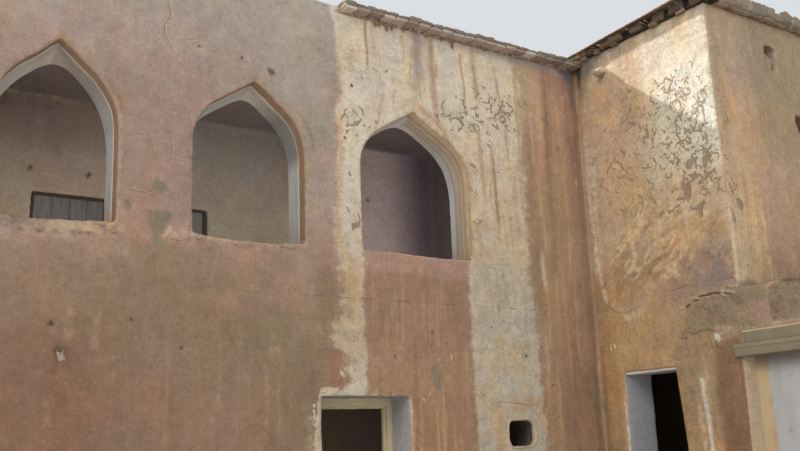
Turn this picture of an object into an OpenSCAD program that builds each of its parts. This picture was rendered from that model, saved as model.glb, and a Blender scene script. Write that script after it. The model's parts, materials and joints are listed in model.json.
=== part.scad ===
// Two-storey mud-brick (adobe) house round the inner corner of a courtyard.
// A long main range with three pointed-arch windows, and a wing that
// projects from its right end and ends in a low block with a flat terrace.
// Millimetres, +Z up. X runs along the main front, Y runs into the house.
// The origin is the centre of the footprint at ground level.

/* [Overall plan] */
// Overall length along the main front
house_w = 10400; // [10200:50:11200]
// Outer width of the wing
wing_w = 3580; // [3400:20:3900]
// How far the wing's upper storey stands in front of the main front
wing_proj = 1800; // [1700:20:2200]
// Depth of the low terraced block in front of the wing
terrace_d = 2100; // [2000:20:2600]
// Clear depth of the rooms in the main range
room_d = 2390; // [2200:10:3200]
// Thickness of the mud-brick walls
wall_t = 410; // [380:10:440]
// Thickness of the thinner wall with the arched windows
upper_wall_t = 300; // [260:10:380]

/* [Heights] */
// Top of the packed-earth ground floor
ground_floor_t = 100; // [60:10:140]
// Top of the upper floor
floor_z = 2980; // [2920:10:3060]
// Thickness of the upper floors
floor_t = 220; // [160:10:240]
// Top of the terrace
terrace_z = 2950; // [2900:10:2980]
// Underside of the upper ceilings
ceiling_z = 5450; // [5350:10:5550]
// Top of the main range's walls
main_top = 5700; // [5660:10:5750]
// Top of the wing's walls
wing_top = 5780; // [5770:10:5850]

/* [Arched windows] */
// Height of the window sills
sill_z = 3400; // [3300:10:3500]
// Height where the upright jambs start to curve
spring_z = 4170; // [4050:10:4250]
// Width of the left window
win_l_w = 943; // [850:1:1000]
// Width of the middle window
win_m_w = 1044; // [900:1:1100]
// Width of the right window
win_r_w = 1253; // [1000:1:1300]
// Height of the left arch's point
apex_l = 4869; // [4750:1:4950]
// Height of the middle arch's point
apex_m = 4826; // [4750:1:4950]
// Height of the right arch's point
apex_r = 4818; // [4750:1:4950]
// Height of the shoulders, where the arch turns in
shoulder_z = 4450; // [4380:5:4520]
// Depth of the mud-coloured outer part of each reveal
reveal_out = 120; // [80:5:160]
// Thickness of the whitewashed lining of each window
lining_t = 25; // [15:1:35]
// Thickness of the lining at the arch's point
lining_crown = 60; // [30:5:90]

/* [Doorways and holes] */
// Width of the main doorway
door_w = 920; // [800:10:950]
// Height of the main doorway's head
door_h = 2090; // [1950:10:2200]
// Width of the doorway in the wing's side
side_door_w = 680; // [640:10:720]
// Height of the side doorway's head
side_door_h = 2280; // [2150:10:2350]
// Width of the doorway onto the terrace
terrace_door_w = 860; // [760:10:900]
// Height of the terrace doorway's head
terrace_door_top = 4810; // [4750:10:4900]
// Width of the square hole beside the main door
vent_w = 330; // [250:5:360]
// Height of the square hole
vent_h = 250; // [200:5:280]
// Length of the blocked doorway in the low block
blocked_w = 1500; // [1300:10:1600]
// Height of the concrete lintel's underside
lintel_z = 2320; // [2250:10:2350]

/* [Eaves] */
// How far the brick cornice stands out
cornice_out = 130; // [90:5:160]
// Thickness of the brick cornice
cornice_t = 90; // [60:5:110]
// How far the wing's eaves stand out
eave_out = 120; // [80:5:140]
// Crown of the mud roofs above their edges
roof_crown = 80; // [40:5:120]

/* [Hidden] */
x0 = -house_w / 2;                    // outer faces of the end walls
x1 = house_w / 2;
house_d = terrace_d + wing_proj + 2 * wall_t + room_d + 110;
yf0 = -house_d / 2;                   // front of the low block
yw = yf0 + terrace_d;                 // front of the wing's upper storey
ym = yw + wing_proj;                  // main front
yb = ym + wall_t + room_d;            // inner face of the back wall
yb2 = yb + wall_t;                    // outer face of the back wall
xs = x1 - wing_w;                     // wing's side wall, court face
xi = xs + wall_t;                     // its inner face
xr = x1 - wall_t;                     // right end wall, inner face
xl = x0 + wall_t;                     // left end wall, inner face
ymi = ym + wall_t;                    // inner face of the main front
ymu = ym + upper_wall_t;              // the same in the upper storey
ywi = yw + wall_t;
yfi = yf0 + wall_t;
// openings, set out from the inner corner of the court
door_x1 = xs - 2420;  door_x0 = door_x1 - door_w;
vent_x0 = xs - 1290;  vent_z0 = 1610;
win_r_x = xs - 2250;  apex_r_x = xs - 2272;
win_m_x = xs - 3989;  apex_m_x = xs - 3942;
win_l_x = xs - 5617;  apex_l_x = xs - 5613;
side_y1 = ym - 360;   side_y0 = side_y1 - side_door_w;
blk_y1 = yw + 30;     blk_y0 = blk_y1 - blocked_w;
tdoor_x0 = xs + 1360; tdoor_x1 = tdoor_x0 + terrace_door_w;
cornice_x0 = xs - 3064;
band = floor_z;                       // storey joint of the walls
// low windows in the back wall
bw_w = 1930;  bw_z0 = 3300;  bw_z1 = 4380;
bw_x = [xs - 5140, (xi + xr) / 2 - bw_w / 2];
fr = 65;                              // width of their frame bars
e = 1;

// a plain block between two corners
module blk(a, b) { translate(a) cube([b[0] - a[0], b[1] - a[1], b[2] - a[2]]); }

// a profile drawn in X and Z, pushed from y = a to y = b
module xz(a, b) { translate([0, b, 0]) rotate([90, 0, 0]) linear_extrude(height = b - a) children(); }

// a profile drawn in Y and Z, pushed from x = a to x = b
module yz(a, b) { translate([a, 0, 0]) rotate([90, 0, 90]) linear_extrude(height = b - a) children(); }

// points of a quadratic curve from a by b to c
function bend(a, b, c, n) = [for (i = [0:n]) let (t = i / n)
  a * (1 - t) * (1 - t) + b * 2 * t * (1 - t) + c * t * t];

// outline of a pointed-arch opening: upright jambs, tight shoulders,
// then nearly straight arms to the point
function arch(cx, w, ax, z0, zs, zk, za) =
  let (l = cx - w / 2, r = cx + w / 2, ap = [ax, za],
       kl = [l, zk], kr = [r, zk],
       pl = kl + (ap - kl) * 0.42, pr = kr + (ap - kr) * 0.42)
  concat([[l, z0]], bend([l, zs], kl, pl, 6), [ap],
         bend(pr, kr, [r, zs], 6), [[r, z0]]);

module arch_block(cx, w, ax, za) {
  difference() {
    blk([cx - w / 2, ym, spring_z], [cx + w / 2, ymu, main_top]);
    xz(ym - e, ymu + e) polygon(arch(cx, w, ax, spring_z - 500, spring_z, shoulder_z, za));
  }
}

module lining(cx, w, ax, za) {
  difference() {
    xz(ym + reveal_out, ymu) polygon(arch(cx, w, ax, sill_z, spring_z, shoulder_z, za));
    xz(ym + reveal_out - e, ymu + e) polygon(arch(cx, w - 2 * lining_t, ax, sill_z - 100,
      spring_z, shoulder_z - lining_t, za - lining_crown));
  }
}

// rounded square, as the plastered hole beside the door
module round_sq(w, h, r) {
  translate([r, 0]) square([w - 2 * r, h]);
  translate([0, r]) square([w, h - 2 * r]);
  for (x = [r, w - r], z = [r, h - r]) translate([x, z]) circle(r = r, $fn = 32);
}

module ground_floor() { color("#8a7458") {
  blk([xl, ymi, 0], [xs, yb, ground_floor_t]);
  blk([door_x0, ym, 0], [door_x1, ymi + e, ground_floor_t]);
  blk([xi, ywi, 0], [xr, yb, ground_floor_t]);
  blk([xs, side_y0, 0], [xi + e, side_y1, ground_floor_t]);
  blk([xi, yfi, 0], [xr, yw, ground_floor_t]);
  blk([xr - 1450, yw - e, 0], [xr - 700, ywi + e, ground_floor_t]);
} }

module front_wall_left() { color("#a9805f") blk([x0, ym, 0], [door_x0, ymi, band]); }
module front_wall_over_door() { color("#b78a66") blk([door_x0, ym, door_h], [door_x1, ymi, band]); }
module front_wall_right() { color("#c79b73") difference() {
  blk([door_x1, ym, 0], [xs, ymi, band]);
  translate([vent_x0, 0, vent_z0]) xz(ym - e, ymi + e) round_sq(vent_w, vent_h, 70);
  translate([vent_x0 - 45, 0, vent_z0 - 45]) xz(ym - e, ym + 60) round_sq(vent_w + 90, vent_h + 90, 100);
} }
module vent_surround() { color("#cfc4b4") difference() {
  translate([vent_x0 - 45, 0, vent_z0 - 45]) xz(ym - 8, ym + 60) round_sq(vent_w + 90, vent_h + 90, 100);
  translate([vent_x0, 0, vent_z0]) xz(ym - 20, ym + 80) round_sq(vent_w, vent_h, 70);
} }

module left_end_wall_lower() { color("#a9805f") blk([x0, ymi, 0], [xl, yb, band]); }
module left_end_wall_upper() { color("#a9805f") blk([x0, ymu, band], [xl, yb, main_top]); }
module back_wall_lower() { color("#a9805f") blk([x0, yb, 0], [x1, yb2, band]); }
module back_wall_upper() { color("#a9805f") difference() {
  union() {
    blk([x0, yb, band], [xs, yb2, main_top]);
    blk([xs - e, yb, band], [x1, yb2, wing_top]);
  }
  for (x = bw_x) blk([x, yb - e, bw_z0], [x + bw_w, yb2 + e, bw_z1]);
} }
module right_end_wall_lower() { color("#a9805f") {
  blk([xr, yfi, 0], [x1, yw, terrace_z - floor_t]);
  blk([xr, yw - e, 0], [x1, yb, band]);
} }
module right_end_wall_upper() { color("#a9805f") blk([xr, yw, band], [x1, yb, wing_top]); }

module side_wall_rear_lower() { color("#c79b73") blk([xs, side_y1, 0], [xi, yb, band]); }
module side_wall_over_door() { color("#c79b73")
  blk([xs, side_y0, side_door_h + 90], [xi, side_y1, band]); }
module side_door_lintel() { color("#6f563e")
  blk([xs, side_y0, side_door_h], [xi, side_y1, side_door_h + 90]); }
module side_wall_middle_lower() { color("#b78a66") difference() {
  blk([xs, blk_y1, 0], [xi, side_y0, band]);
  lintel_cut();
} }
module side_wall_upper() { color("#d9bd94") blk([xs, yw, band], [xi, yb, wing_top]); }

module concrete_lintel() { color("#9a8c78") {
  blk([xs - 50, blk_y0 - 60, lintel_z], [xi, blk_y1 + 60, lintel_z + 110]);
  blk([xs - 35, blk_y0 + 50, lintel_z + 110 - e], [xi, blk_y1 - 50, lintel_z + 216]);
} }
module lintel_cut() {
  blk([xs - 60, blk_y0 - 60, lintel_z], [xi + e, blk_y1 + 60, lintel_z + 110]);
}
module low_block_side_wall() { color("#b78a66") difference() {
  union() {
    blk([xs, yfi, 0], [xi, blk_y0, terrace_z - floor_t]);
    blk([xs, blk_y0 - e, lintel_z + 110], [xi, yw, terrace_z - floor_t]);
  }
  lintel_cut();
  blk([xs - e, blk_y0 + 50, lintel_z + 110 - e], [xi + e, blk_y1 - 50, lintel_z + 216]);
} }
module low_block_front_wall() { color("#b78a66") blk([xs, yf0, 0], [x1, yfi, terrace_z - floor_t]); }
module blocked_doorway_panel() { color("#cfd0cc")
  blk([xs + 140, blk_y0, 0], [xs + 260, blk_y1, lintel_z - 60]); }
module wing_cross_wall() { color("#a9805f") difference() {
  blk([xi, yw, 0], [xr, ywi, band]);
  blk([xr - 1450, yw - e, -e], [xr - 700, ywi + e, 2000]);
} }

module main_door_frame() { color("#cfc0a0") {
  blk([door_x0, ymi - 90, door_h - 75], [door_x1, ymi, door_h]);
  for (x = [door_x0, door_x1 - 45])
    blk([x, ymi - 90, ground_floor_t], [x + 45, ymi, door_h - 75 + e]);
} }

module upper_floor_main() { color("#8a7458") blk([xl, ymi, floor_z - floor_t], [xs, yb, floor_z]); }
module upper_floor_wing() { color("#8a7458") blk([xi, ywi, floor_z - floor_t], [xr, yb, floor_z]); }
module terrace_floor() { color("#9c8768") blk([xs, yf0, terrace_z - floor_t], [x1, yw, terrace_z]); }

module window_sill_wall() { color("#a9805f") blk([x0, ym, band], [xs, ymu, sill_z]); }
module window_piers() {
  edges = [x0, win_l_x - win_l_w / 2, win_l_x + win_l_w / 2,
           win_m_x - win_m_w / 2, win_m_x + win_m_w / 2,
           win_r_x - win_r_w / 2, win_r_x + win_r_w / 2, xs];
  color("#b98d68") for (i = [0:2:6])
    blk([edges[i], ym, sill_z], [edges[i + 1], ymu, main_top]);
}
// wall between springing and sill stays open; above it the arch closes the bay
module left_window_arch() { color("#b08763") arch_block(win_l_x, win_l_w, apex_l_x, apex_l); }
module middle_window_arch() { color("#b08763") arch_block(win_m_x, win_m_w, apex_m_x, apex_m); }
module right_window_arch() { color("#d3b68e") arch_block(win_r_x, win_r_w, apex_r_x, apex_r); }
module window_linings() { color("#dcd8cf") {
  lining(win_l_x, win_l_w, apex_l_x, apex_l);
  lining(win_m_x, win_m_w, apex_m_x, apex_m);
  lining(win_r_x, win_r_w, apex_r_x, apex_r);
} }

module wing_front_wall() { color("#a98770") difference() {
  union() {
    blk([xi, yw, band], [tdoor_x0, ywi, wing_top]);
    blk([tdoor_x1, yw, band], [xr, ywi, wing_top]);
  }
  // broken pocket high in the wall
  blk([xs + 910, yw - e, 5270], [xs + 1100, yw + 180, 5520]);
} }
module wing_front_over_door() { color("#a98770")
  blk([tdoor_x0, yw, terrace_door_top], [tdoor_x1, ywi, wing_top]); }

module back_window_frames() { color("#3a2620") for (x = bw_x) {
  blk([x, yb + 20, bw_z1 - fr], [x + bw_w, yb + 100, bw_z1]);
  blk([x, yb + 20, bw_z0], [x + bw_w, yb + 100, bw_z0 + fr]);
  for (p = [0, bw_w * 0.4 - fr / 2, bw_w - fr])
    blk([x + p, yb + 20, bw_z0 + fr - e], [x + p + fr, yb + 100, bw_z1 - fr + e]);
} }
module back_window_panels() { color("#7b8084") for (x = bw_x, s = [0, 1])
  blk([x + (s == 0 ? fr : bw_w * 0.4 + fr / 2), yb + 45, bw_z0 + fr],
      [x + (s == 0 ? bw_w * 0.4 - fr / 2 : bw_w - fr), yb + 75, bw_z1 - fr]);
}

module upper_ceilings() { color("#6d5a47") {
  blk([xl, ymu, ceiling_z], [xs, yb, main_top]);
  blk([xi, ywi, ceiling_z], [xr, yb, wing_top]);
} }
module main_roof() { color("#9c8768") yz(x0, xs)
  polygon([[ym + 130, main_top], [yb2 - 130, main_top], [yb2 - 130, main_top + cornice_t],
           [(ym + yb2) / 2, main_top + cornice_t + roof_crown], [ym + 130, main_top + cornice_t]]); }
module wing_roof() { color("#9c8768") yz(xs + 130, x1)
  polygon([[yw + 130, wing_top], [yb2 - 130, wing_top], [yb2 - 130, wing_top + cornice_t],
           [(yw + yb2) / 2, wing_top + cornice_t + roof_crown], [yw + 130, wing_top + 130]]); }
module brick_cornice() { color("#8d7b6a") {
  blk([cornice_x0, ym - cornice_out, main_top], [xs - eave_out, ym + 130, main_top + cornice_t]);
  blk([xs - eave_out - e, ym, main_top], [xs, ym + 130, wing_top]);
} }
module main_wall_coping() { color("#a08464")
  blk([x0, ym, main_top], [cornice_x0, ym + 130, main_top + 60]); }
module wing_side_eave() { color("#8a7355") {
  yz(xs - eave_out, xs + 130)
    polygon([[yw - eave_out, wing_top], [ym, wing_top], [ym, wing_top + 70], [yw - eave_out, wing_top + 150]]);
  blk([xs, ym - e, wing_top], [xs + 130, yb2 - 130, wing_top + 70]);
} }
module wing_front_cornice() { color("#7d6f60")
  blk([xs + 130, yw - eave_out, wing_top], [x1, yw + 130, wing_top + 150]); }
module back_cornice() { color("#8d7b6a") {
  blk([x0, yb2 - 130, main_top], [xs - 20, yb2 + 110, main_top + cornice_t]);
  blk([xs, yb2 - 130, wing_top], [x1, yb2 + 110, wing_top + cornice_t]);
} }

module wall_peg() { color("#b9ab98")
  translate([xs - 5550, ym, 2420]) rotate([90, 0, 0]) cylinder(d = 45, h = 80, $fn = 24); }
module wall_stub() { color("#7a7068")
  translate([xs, yw + 1390, 5530]) rotate([0, -90, 0]) cylinder(d1 = 110, d2 = 50, h = 115, $fn = 24); }

ground_floor();
front_wall_left();
front_wall_over_door();
front_wall_right();
left_end_wall_lower();
back_wall_lower();
right_end_wall_lower();
side_wall_rear_lower();
side_wall_over_door();
side_wall_middle_lower();
low_block_side_wall();
low_block_front_wall();
wing_cross_wall();
main_door_frame();
side_door_lintel();
concrete_lintel();
blocked_doorway_panel();
vent_surround();
upper_floor_main();
upper_floor_wing();
terrace_floor();
window_sill_wall();
window_piers();
left_window_arch();
middle_window_arch();
right_window_arch();
window_linings();
left_end_wall_upper();
back_wall_upper();
right_end_wall_upper();
side_wall_upper();
wing_front_wall();
wing_front_over_door();
back_window_frames();
back_window_panels();
upper_ceilings();
main_roof();
wing_roof();
brick_cornice();
main_wall_coping();
wing_side_eave();
wing_front_cornice();
back_cornice();
wall_peg();
wall_stub();
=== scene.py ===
# Adobe house: the looks. Everything is in metres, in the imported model's frame.
import bpy
import json
import math
import time
import numpy as np
from mathutils import Vector, Matrix, geometry, kdtree


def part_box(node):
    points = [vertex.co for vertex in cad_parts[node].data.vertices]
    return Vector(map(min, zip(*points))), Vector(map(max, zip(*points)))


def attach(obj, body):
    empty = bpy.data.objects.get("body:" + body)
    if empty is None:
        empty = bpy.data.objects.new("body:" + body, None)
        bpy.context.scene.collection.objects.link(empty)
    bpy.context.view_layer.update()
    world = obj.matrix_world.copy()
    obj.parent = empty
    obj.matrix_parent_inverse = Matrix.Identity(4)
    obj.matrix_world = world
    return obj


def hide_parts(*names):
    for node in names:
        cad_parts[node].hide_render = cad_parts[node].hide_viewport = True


T0 = time.perf_counter()
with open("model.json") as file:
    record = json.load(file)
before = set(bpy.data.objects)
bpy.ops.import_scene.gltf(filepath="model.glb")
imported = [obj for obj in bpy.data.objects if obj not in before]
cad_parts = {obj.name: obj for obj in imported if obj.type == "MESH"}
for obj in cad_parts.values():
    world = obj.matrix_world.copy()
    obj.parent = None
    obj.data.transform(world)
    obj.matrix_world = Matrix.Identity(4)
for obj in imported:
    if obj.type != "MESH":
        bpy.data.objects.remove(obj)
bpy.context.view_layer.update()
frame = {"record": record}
REC = frame["record"]


def tick(what):
    print(f"[{time.perf_counter() - T0:6.1f}s] {what}")


# ------------------------------------------------------------------ camera
CAM = (-5.80, -6.91, 1.60)
F_PX, YAW, PITCH, ROLL = 958.3, math.radians(34.53), math.radians(13.31), math.radians(-2.23)


def make_camera():
    fwd = Vector((math.sin(YAW) * math.cos(PITCH), math.cos(YAW) * math.cos(PITCH), math.sin(PITCH)))
    right = Vector((math.cos(YAW), -math.sin(YAW), 0))
    up = right.cross(fwd)
    c, s = math.cos(ROLL), math.sin(ROLL)
    r, u = c * right + s * up, -s * right + c * up
    data = bpy.data.cameras.new("photo_camera")
    data.sensor_width = 36.0
    data.sensor_fit = "HORIZONTAL"
    data.lens = 36.0 * F_PX / 800.0
    data.clip_end = 200
    cam = bpy.data.objects.new("photo_camera", data)
    bpy.context.scene.collection.objects.link(cam)
    m = Matrix((r, u, -fwd)).transposed().to_4x4()
    m.translation = Vector(CAM)
    cam.matrix_world = m
    bpy.context.scene.camera = cam


make_camera()

# ------------------------------------------------------------------ noise
_r = np.random.default_rng(20261)
PERM = _r.permutation(256).astype(np.int32)
PERM2 = np.concatenate([PERM, PERM])
_g = _r.normal(size=(256, 3))
GRAD = (_g / np.linalg.norm(_g, axis=1)[:, None]).astype(np.float32)
RND = _r.random((256, 3)).astype(np.float32)


def sstep(a, b, x):
    t = np.clip((x - a) / (b - a), 0, 1)
    return t * t * (3 - 2 * t)


def gnoise(p, seed=0):
    """Gradient noise of points (N, 3), about -1 to 1."""
    p = np.asarray(p, np.float32) + np.float32(seed * 13.37 + 100.0)
    i = np.floor(p).astype(np.int32)
    f = p - i
    u = f * f * f * (f * (f * 6 - 15) + 10)
    x, y, z = i[:, 0] & 255, i[:, 1] & 255, i[:, 2] & 255
    x1, y1, z1 = (x + 1) & 255, (y + 1) & 255, (z + 1) & 255
    a0, a1 = PERM2[x], PERM2[x1]
    out = {}
    for dx, a in ((0, a0), (1, a1)):
        for dy, yy in ((0, y), (1, y1)):
            b = PERM2[a + yy]
            for dz, zz in ((0, z), (1, z1)):
                g = GRAD[PERM2[b + zz]]
                out[dx, dy, dz] = g[:, 0] * (f[:, 0] - dx) + g[:, 1] * (f[:, 1] - dy) + g[:, 2] * (f[:, 2] - dz)
    ux, uy, uz = u[:, 0], u[:, 1], u[:, 2]
    l = lambda a, b, t: a + (b - a) * t
    c = [l(l(out[dx, 0, 0], out[dx, 0, 1], uz), l(out[dx, 1, 0], out[dx, 1, 1], uz), uy) for dx in (0, 1)]
    return l(c[0], c[1], ux) * 1.7


def fbm(p, size, octaves=3, gain=0.5, seed=0):
    """Sum of octaves; size is the length of the largest waves, a number or (x, y, z)."""
    p = np.asarray(p, np.float32) / np.asarray(size, np.float32)
    out, a, tot = 0, 1.0, 0.0
    for k in range(octaves):
        out = out + a * gnoise(p, seed + k * 7)
        tot += a
        a *= gain
        p = p * 2.03
    return out / tot


def cells(p, size, seed=0):
    """Worley noise in 3-D: nearest and second nearest distance, in units of size, and a random number per cell."""
    p = np.asarray(p, np.float32) / np.float32(size) + np.float32(seed * 5.17 + 50)
    i = np.floor(p).astype(np.int32)
    f1 = np.full(len(p), 9.0, np.float32)
    f2 = np.full(len(p), 9.0, np.float32)
    rid = np.zeros(len(p), np.float32)
    for dx in (-1, 0, 1):
        for dy in (-1, 0, 1):
            for dz in (-1, 0, 1):
                j = i + np.array([dx, dy, dz], np.int32)
                h = PERM2[PERM2[PERM2[j[:, 0] & 255] + (j[:, 1] & 255)] + (j[:, 2] & 255)]
                q = j + RND[h] - p
                d = np.sqrt((q * q).sum(1))
                near = d < f1
                f2 = np.where(near, f1, np.minimum(f2, d))
                rid = np.where(near, RND[(h + 91) & 255, 0], rid)
                f1 = np.where(near, d, f1)
    return f1, f2, rid


# ------------------------------------------------------------------ plan of the house
X0, XL, XS, XI, XR, X1 = -5.20, -4.79, 1.62, 2.03, 4.79, 5.20
YF0, YFI, YW, YWI, YM, YMU, YMI, YB, YB2 = -3.61, -3.20, -1.51, -1.10, 0.29, 0.59, 0.70, 3.09, 3.50
ZG, ZU0, ZU, ZT0, ZT, ZC, ZM, ZP, ZW = 0.10, 2.76, 2.98, 2.73, 2.95, 5.45, 5.70, 5.76, 5.78
DOOR = (-1.72, -0.80, 2.09)
TDOOR = (2.98, 3.84, 4.81)
IDOOR = (3.34, 4.09, 2.00)
SDOOR = (-0.75, -0.07, 2.28)
COP_X, COP_Y = -1.444, 0.42
BWIN = ((-3.52, -1.59), (2.445, 4.375))
BWZ = (3.30, 4.38)
WINS = {  # centre, width, point x, point z
    "left": (-3.9970, 0.943, -3.993, 4.869),
    "middle": (-2.3690, 1.044, -2.322, 4.826),
    "right": (-0.6300, 1.253, -0.652, 4.818),
}
SILL, SPRING, SHOULDER = 3.40, 4.17, 4.45


def bend(a, b, c, n):
    t = np.linspace(0, 1, n + 1)[:, None]
    return a * (1 - t) ** 2 + b * 2 * t * (1 - t) + c * t * t


def arch(cx, w, ax, z0, zs, zk, za, n=10):
    l, r = cx - w / 2, cx + w / 2
    A = np.array
    ap, kl, kr = A([ax, za]), A([l, zk]), A([r, zk])
    pl, pr = kl + (ap - kl) * 0.42, kr + (ap - kr) * 0.42
    return np.vstack([[A([l, z0])], bend(A([l, zs]), kl, pl, n), [ap], bend(pr, kr, A([r, zs]), n), [A([r, z0])]])


def resample(loop, h, closed=True):
    """Points along a polyline about h apart, with every sharp corner kept."""
    pts = np.asarray(loop, float)
    if closed:
        pts = np.vstack([pts, pts[:1]])
    d = np.linalg.norm(np.diff(pts, axis=0), axis=1)
    keep = [0]
    for i in range(1, len(pts) - 1):
        a, b = pts[i] - pts[i - 1], pts[i + 1] - pts[i]
        cos = (a @ b) / max(1e-12, np.linalg.norm(a) * np.linalg.norm(b))
        if cos < 0.93:
            keep.append(i)
    keep.append(len(pts) - 1)
    s = np.concatenate([[0], np.cumsum(d)])
    out = []
    for a, b in zip(keep[:-1], keep[1:]):
        L = s[b] - s[a]
        n = max(1, int(math.ceil(L / h - 1e-6)))
        t = s[a] + L * np.arange(n) / n
        out.append(np.stack([np.interp(t, s, pts[:, k]) for k in range(pts.shape[1])], 1))
    out = np.vstack(out)
    if not closed:
        out = np.vstack([out, pts[-1:]])
    return out


# ------------------------------------------------------------------ how fine the shell's mesh is, by place
ZONES = [  # low corner, high corner, spacing
    ((X0 - .1, YM - .02, -.1), (X1, YM + .02, 5.9), 0.045),
    ((-4.70, YM - .02, 1.30), (-1.90, YM + .02, 5.9), 0.024),
    ((-1.90, YM - .02, 1.30), (1.70, YM + .02, 5.9), 0.0185),
    ((-0.50, YM - .02, 4.55), (1.30, YM + .02, 5.40), 0.0125),
    ((-1.62, YM - .02, 4.40), (-1.15, YM + .02, 5.25), 0.0125),
    ((XS - .02, -3.7, -.1), (XS + .02, YM + .01, 5.9), 0.045),
    ((XS - .02, -2.40, 1.30), (XS + .02, YM + .01, 5.9), 0.0165),
    ((XS - .02, YW - .01, 3.60), (XS + .02, 0.20, 5.30), 0.0100),
    ((XS - .02, -2.30, 2.50), (XS + .02, -0.70, 3.00), 0.0115),
    ((XS - .1, YW - .02, 2.90), (X1, YW + .02, 5.9), 0.040),
    ((XS - .1, YW - .02, 2.90), (3.10, YW + .02, 5.9), 0.0190),
    ((XS - .1, YW - .02, 2.90), (1.85, YW + .02, 5.9), 0.0120),
    ((XS - .1, -3.7, 2.90), (X1 + .1, YW + .02, 2.96), 0.045),
    ((XS - .1, -3.7, -.1), (X1 + .1, -3.59, 3.0), 0.064),
    ((X1 - .02, -3.7, -.1), (X1 + .1, 3.6, 5.9), 0.074),
    ((X0 - .1, YB2 - .02, -.1), (X1 + .1, YB2 + .02, 5.9), 0.074),
    ((X0 - .1, YM - .1, -.1), (X0 + .02, YB2 + .1, 5.9), 0.070),
    ((X0, YB - .02, 2.97), (XS + .1, YB + .02, 5.5), 0.036),
    ((XS - .02, YMU, 2.97), (XS + .02, YB + .1, 5.5), 0.040),
    ((XL, YMU, 5.44), (XS, YB, 5.46), 0.040),
]
ZLO = np.array([z[0] for z in ZONES])
ZHI = np.array([z[1] for z in ZONES])
QK = 1.0
ZH = np.array([z[2] for z in ZONES]) * QK
H_FAR, H_ARCH = 0.085 * QK, 0.0145 * QK
ARCHES = {k: resample(arch(v[0], v[1], v[2], SILL, SPRING, SHOULDER, v[3]), 0.0145) for k, v in WINS.items()}
_kd = kdtree.KDTree(sum(len(a) for a in ARCHES.values()))
_k = 0
for _a in ARCHES.values():
    for _p in _a:
        _kd.insert((_p[0], _p[1], 0), _k)
        _k += 1
_kd.balance()


def spacing(p):
    p = np.asarray(p, float)
    h = np.full(len(p), H_FAR)
    for lo, hi, s in zip(ZLO, ZHI, ZH):
        m = ((p >= lo - 1e-4) & (p <= hi + 1e-4)).all(1)
        h[m] = np.minimum(h[m], s)
    m = np.nonzero((np.abs(p[:, 1] - YM) < 1e-3) & (p[:, 2] > 3.3) & (p[:, 2] < 4.95) & (p[:, 0] > -4.6) & (p[:, 0] < 0.1))[0]
    for i in m:
        if _kd.find((p[i, 0], p[i, 2], 0))[2] < 0.075:
            h[i] = min(h[i], H_ARCH)
    return h


BRK = [
    sorted({X0, XL, XS, XI, XR, X1, *DOOR[:2], *TDOOR[:2], *IDOOR[:2], COP_X, -4.70, -1.90, 3.10, 1.85, -0.50, 1.30}),
    sorted({YF0, YFI, -2.98, -1.54, -1.48, YW, YWI, *SDOOR[:2], YM, COP_Y, YMU, YMI, YB, YB2, -2.40, -2.30, -0.70, 0.20}),
    sorted({0, ZG, 1.30, 2.36, ZT0, ZU0, ZT, ZU, SILL, 3.60, 4.40, ZC, ZM, ZP, ZW, 5.25, 5.40, 2.50}),
]
FORCED = []  # runs of ready points along straight lines that two panels share


def seg(p, q):
    """Points from p up to, but without, q. The same line gives the same points whoever asks."""
    p, q = np.asarray(p, float), np.asarray(q, float)
    d = q - p
    ax = [k for k in range(3) if abs(d[k]) > 1e-9]
    ts = [0.0, 1.0]
    runs = {}
    if len(ax) == 1:
        k = ax[0]
        o = [j for j in range(3) if j != k]
        for f in FORCED:
            if np.abs(f[[0, -1]][:, o] - p[o]).max() < 1e-5:
                t = (f[[0, -1], k] - p[k]) / d[k]
                a, b = t.min(), t.max()
                if a > -1e-6 and b < 1 + 1e-6:
                    a, b = max(a, 0.0), min(b, 1.0)
                    runs[a] = (b, f if t[0] < t[1] else f[::-1])
                    ts += [a, b]
        for b in BRK[k]:
            t = (b - p[k]) / d[k]
            if 1e-6 < t < 1 - 1e-6 and not any(a - 1e-6 < t < r[0] + 1e-6 for a, r in runs.items()):
                ts.append(t)
    ts = sorted(set(ts))
    ts = [t for i, t in enumerate(ts) if i == 0 or t - ts[i - 1] > 1e-7 or t in runs]
    out = []
    for a, b in zip(ts[:-1], ts[1:]):
        if b - a < 1e-7:
            continue
        if a in runs:
            out.append(runs[a][1][:-1])
            continue
        A, B = p + d * a, p + d * b
        L = np.linalg.norm(B - A)
        t = np.linspace(0, 1, 9)[:, None]
        h = spacing(A + (B - A) * t).min()
        n = max(1, int(math.ceil(L / h - 1e-6)))
        out.append(A + (B - A) * (np.arange(n) / n)[:, None])
    return np.vstack(out)


def in_loops(p, loops):
    c = np.zeros(len(p), bool)
    x, y = p[:, 0], p[:, 1]
    for loop in loops:
        a, b = loop, np.roll(loop, -1, 0)
        for (ax, ay), (bx, by) in zip(a, b):
            if ay == by:
                continue
            m = (ay > y) != (by > y)
            if m.any():
                idx = np.nonzero(m)[0]
                hit = x[idx] < (bx - ax) * (y[idx] - ay) / (by - ay) + ax
                c[idx[hit]] ^= True
    return c


SV, ST = [], []  # the shell's vertices and triangles, panel by panel
_count = [0]


def put(v, t):
    SV.append(np.asarray(v, float))
    ST.append(np.asarray(t, np.int64) + _count[0])
    _count[0] += len(v)


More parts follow.
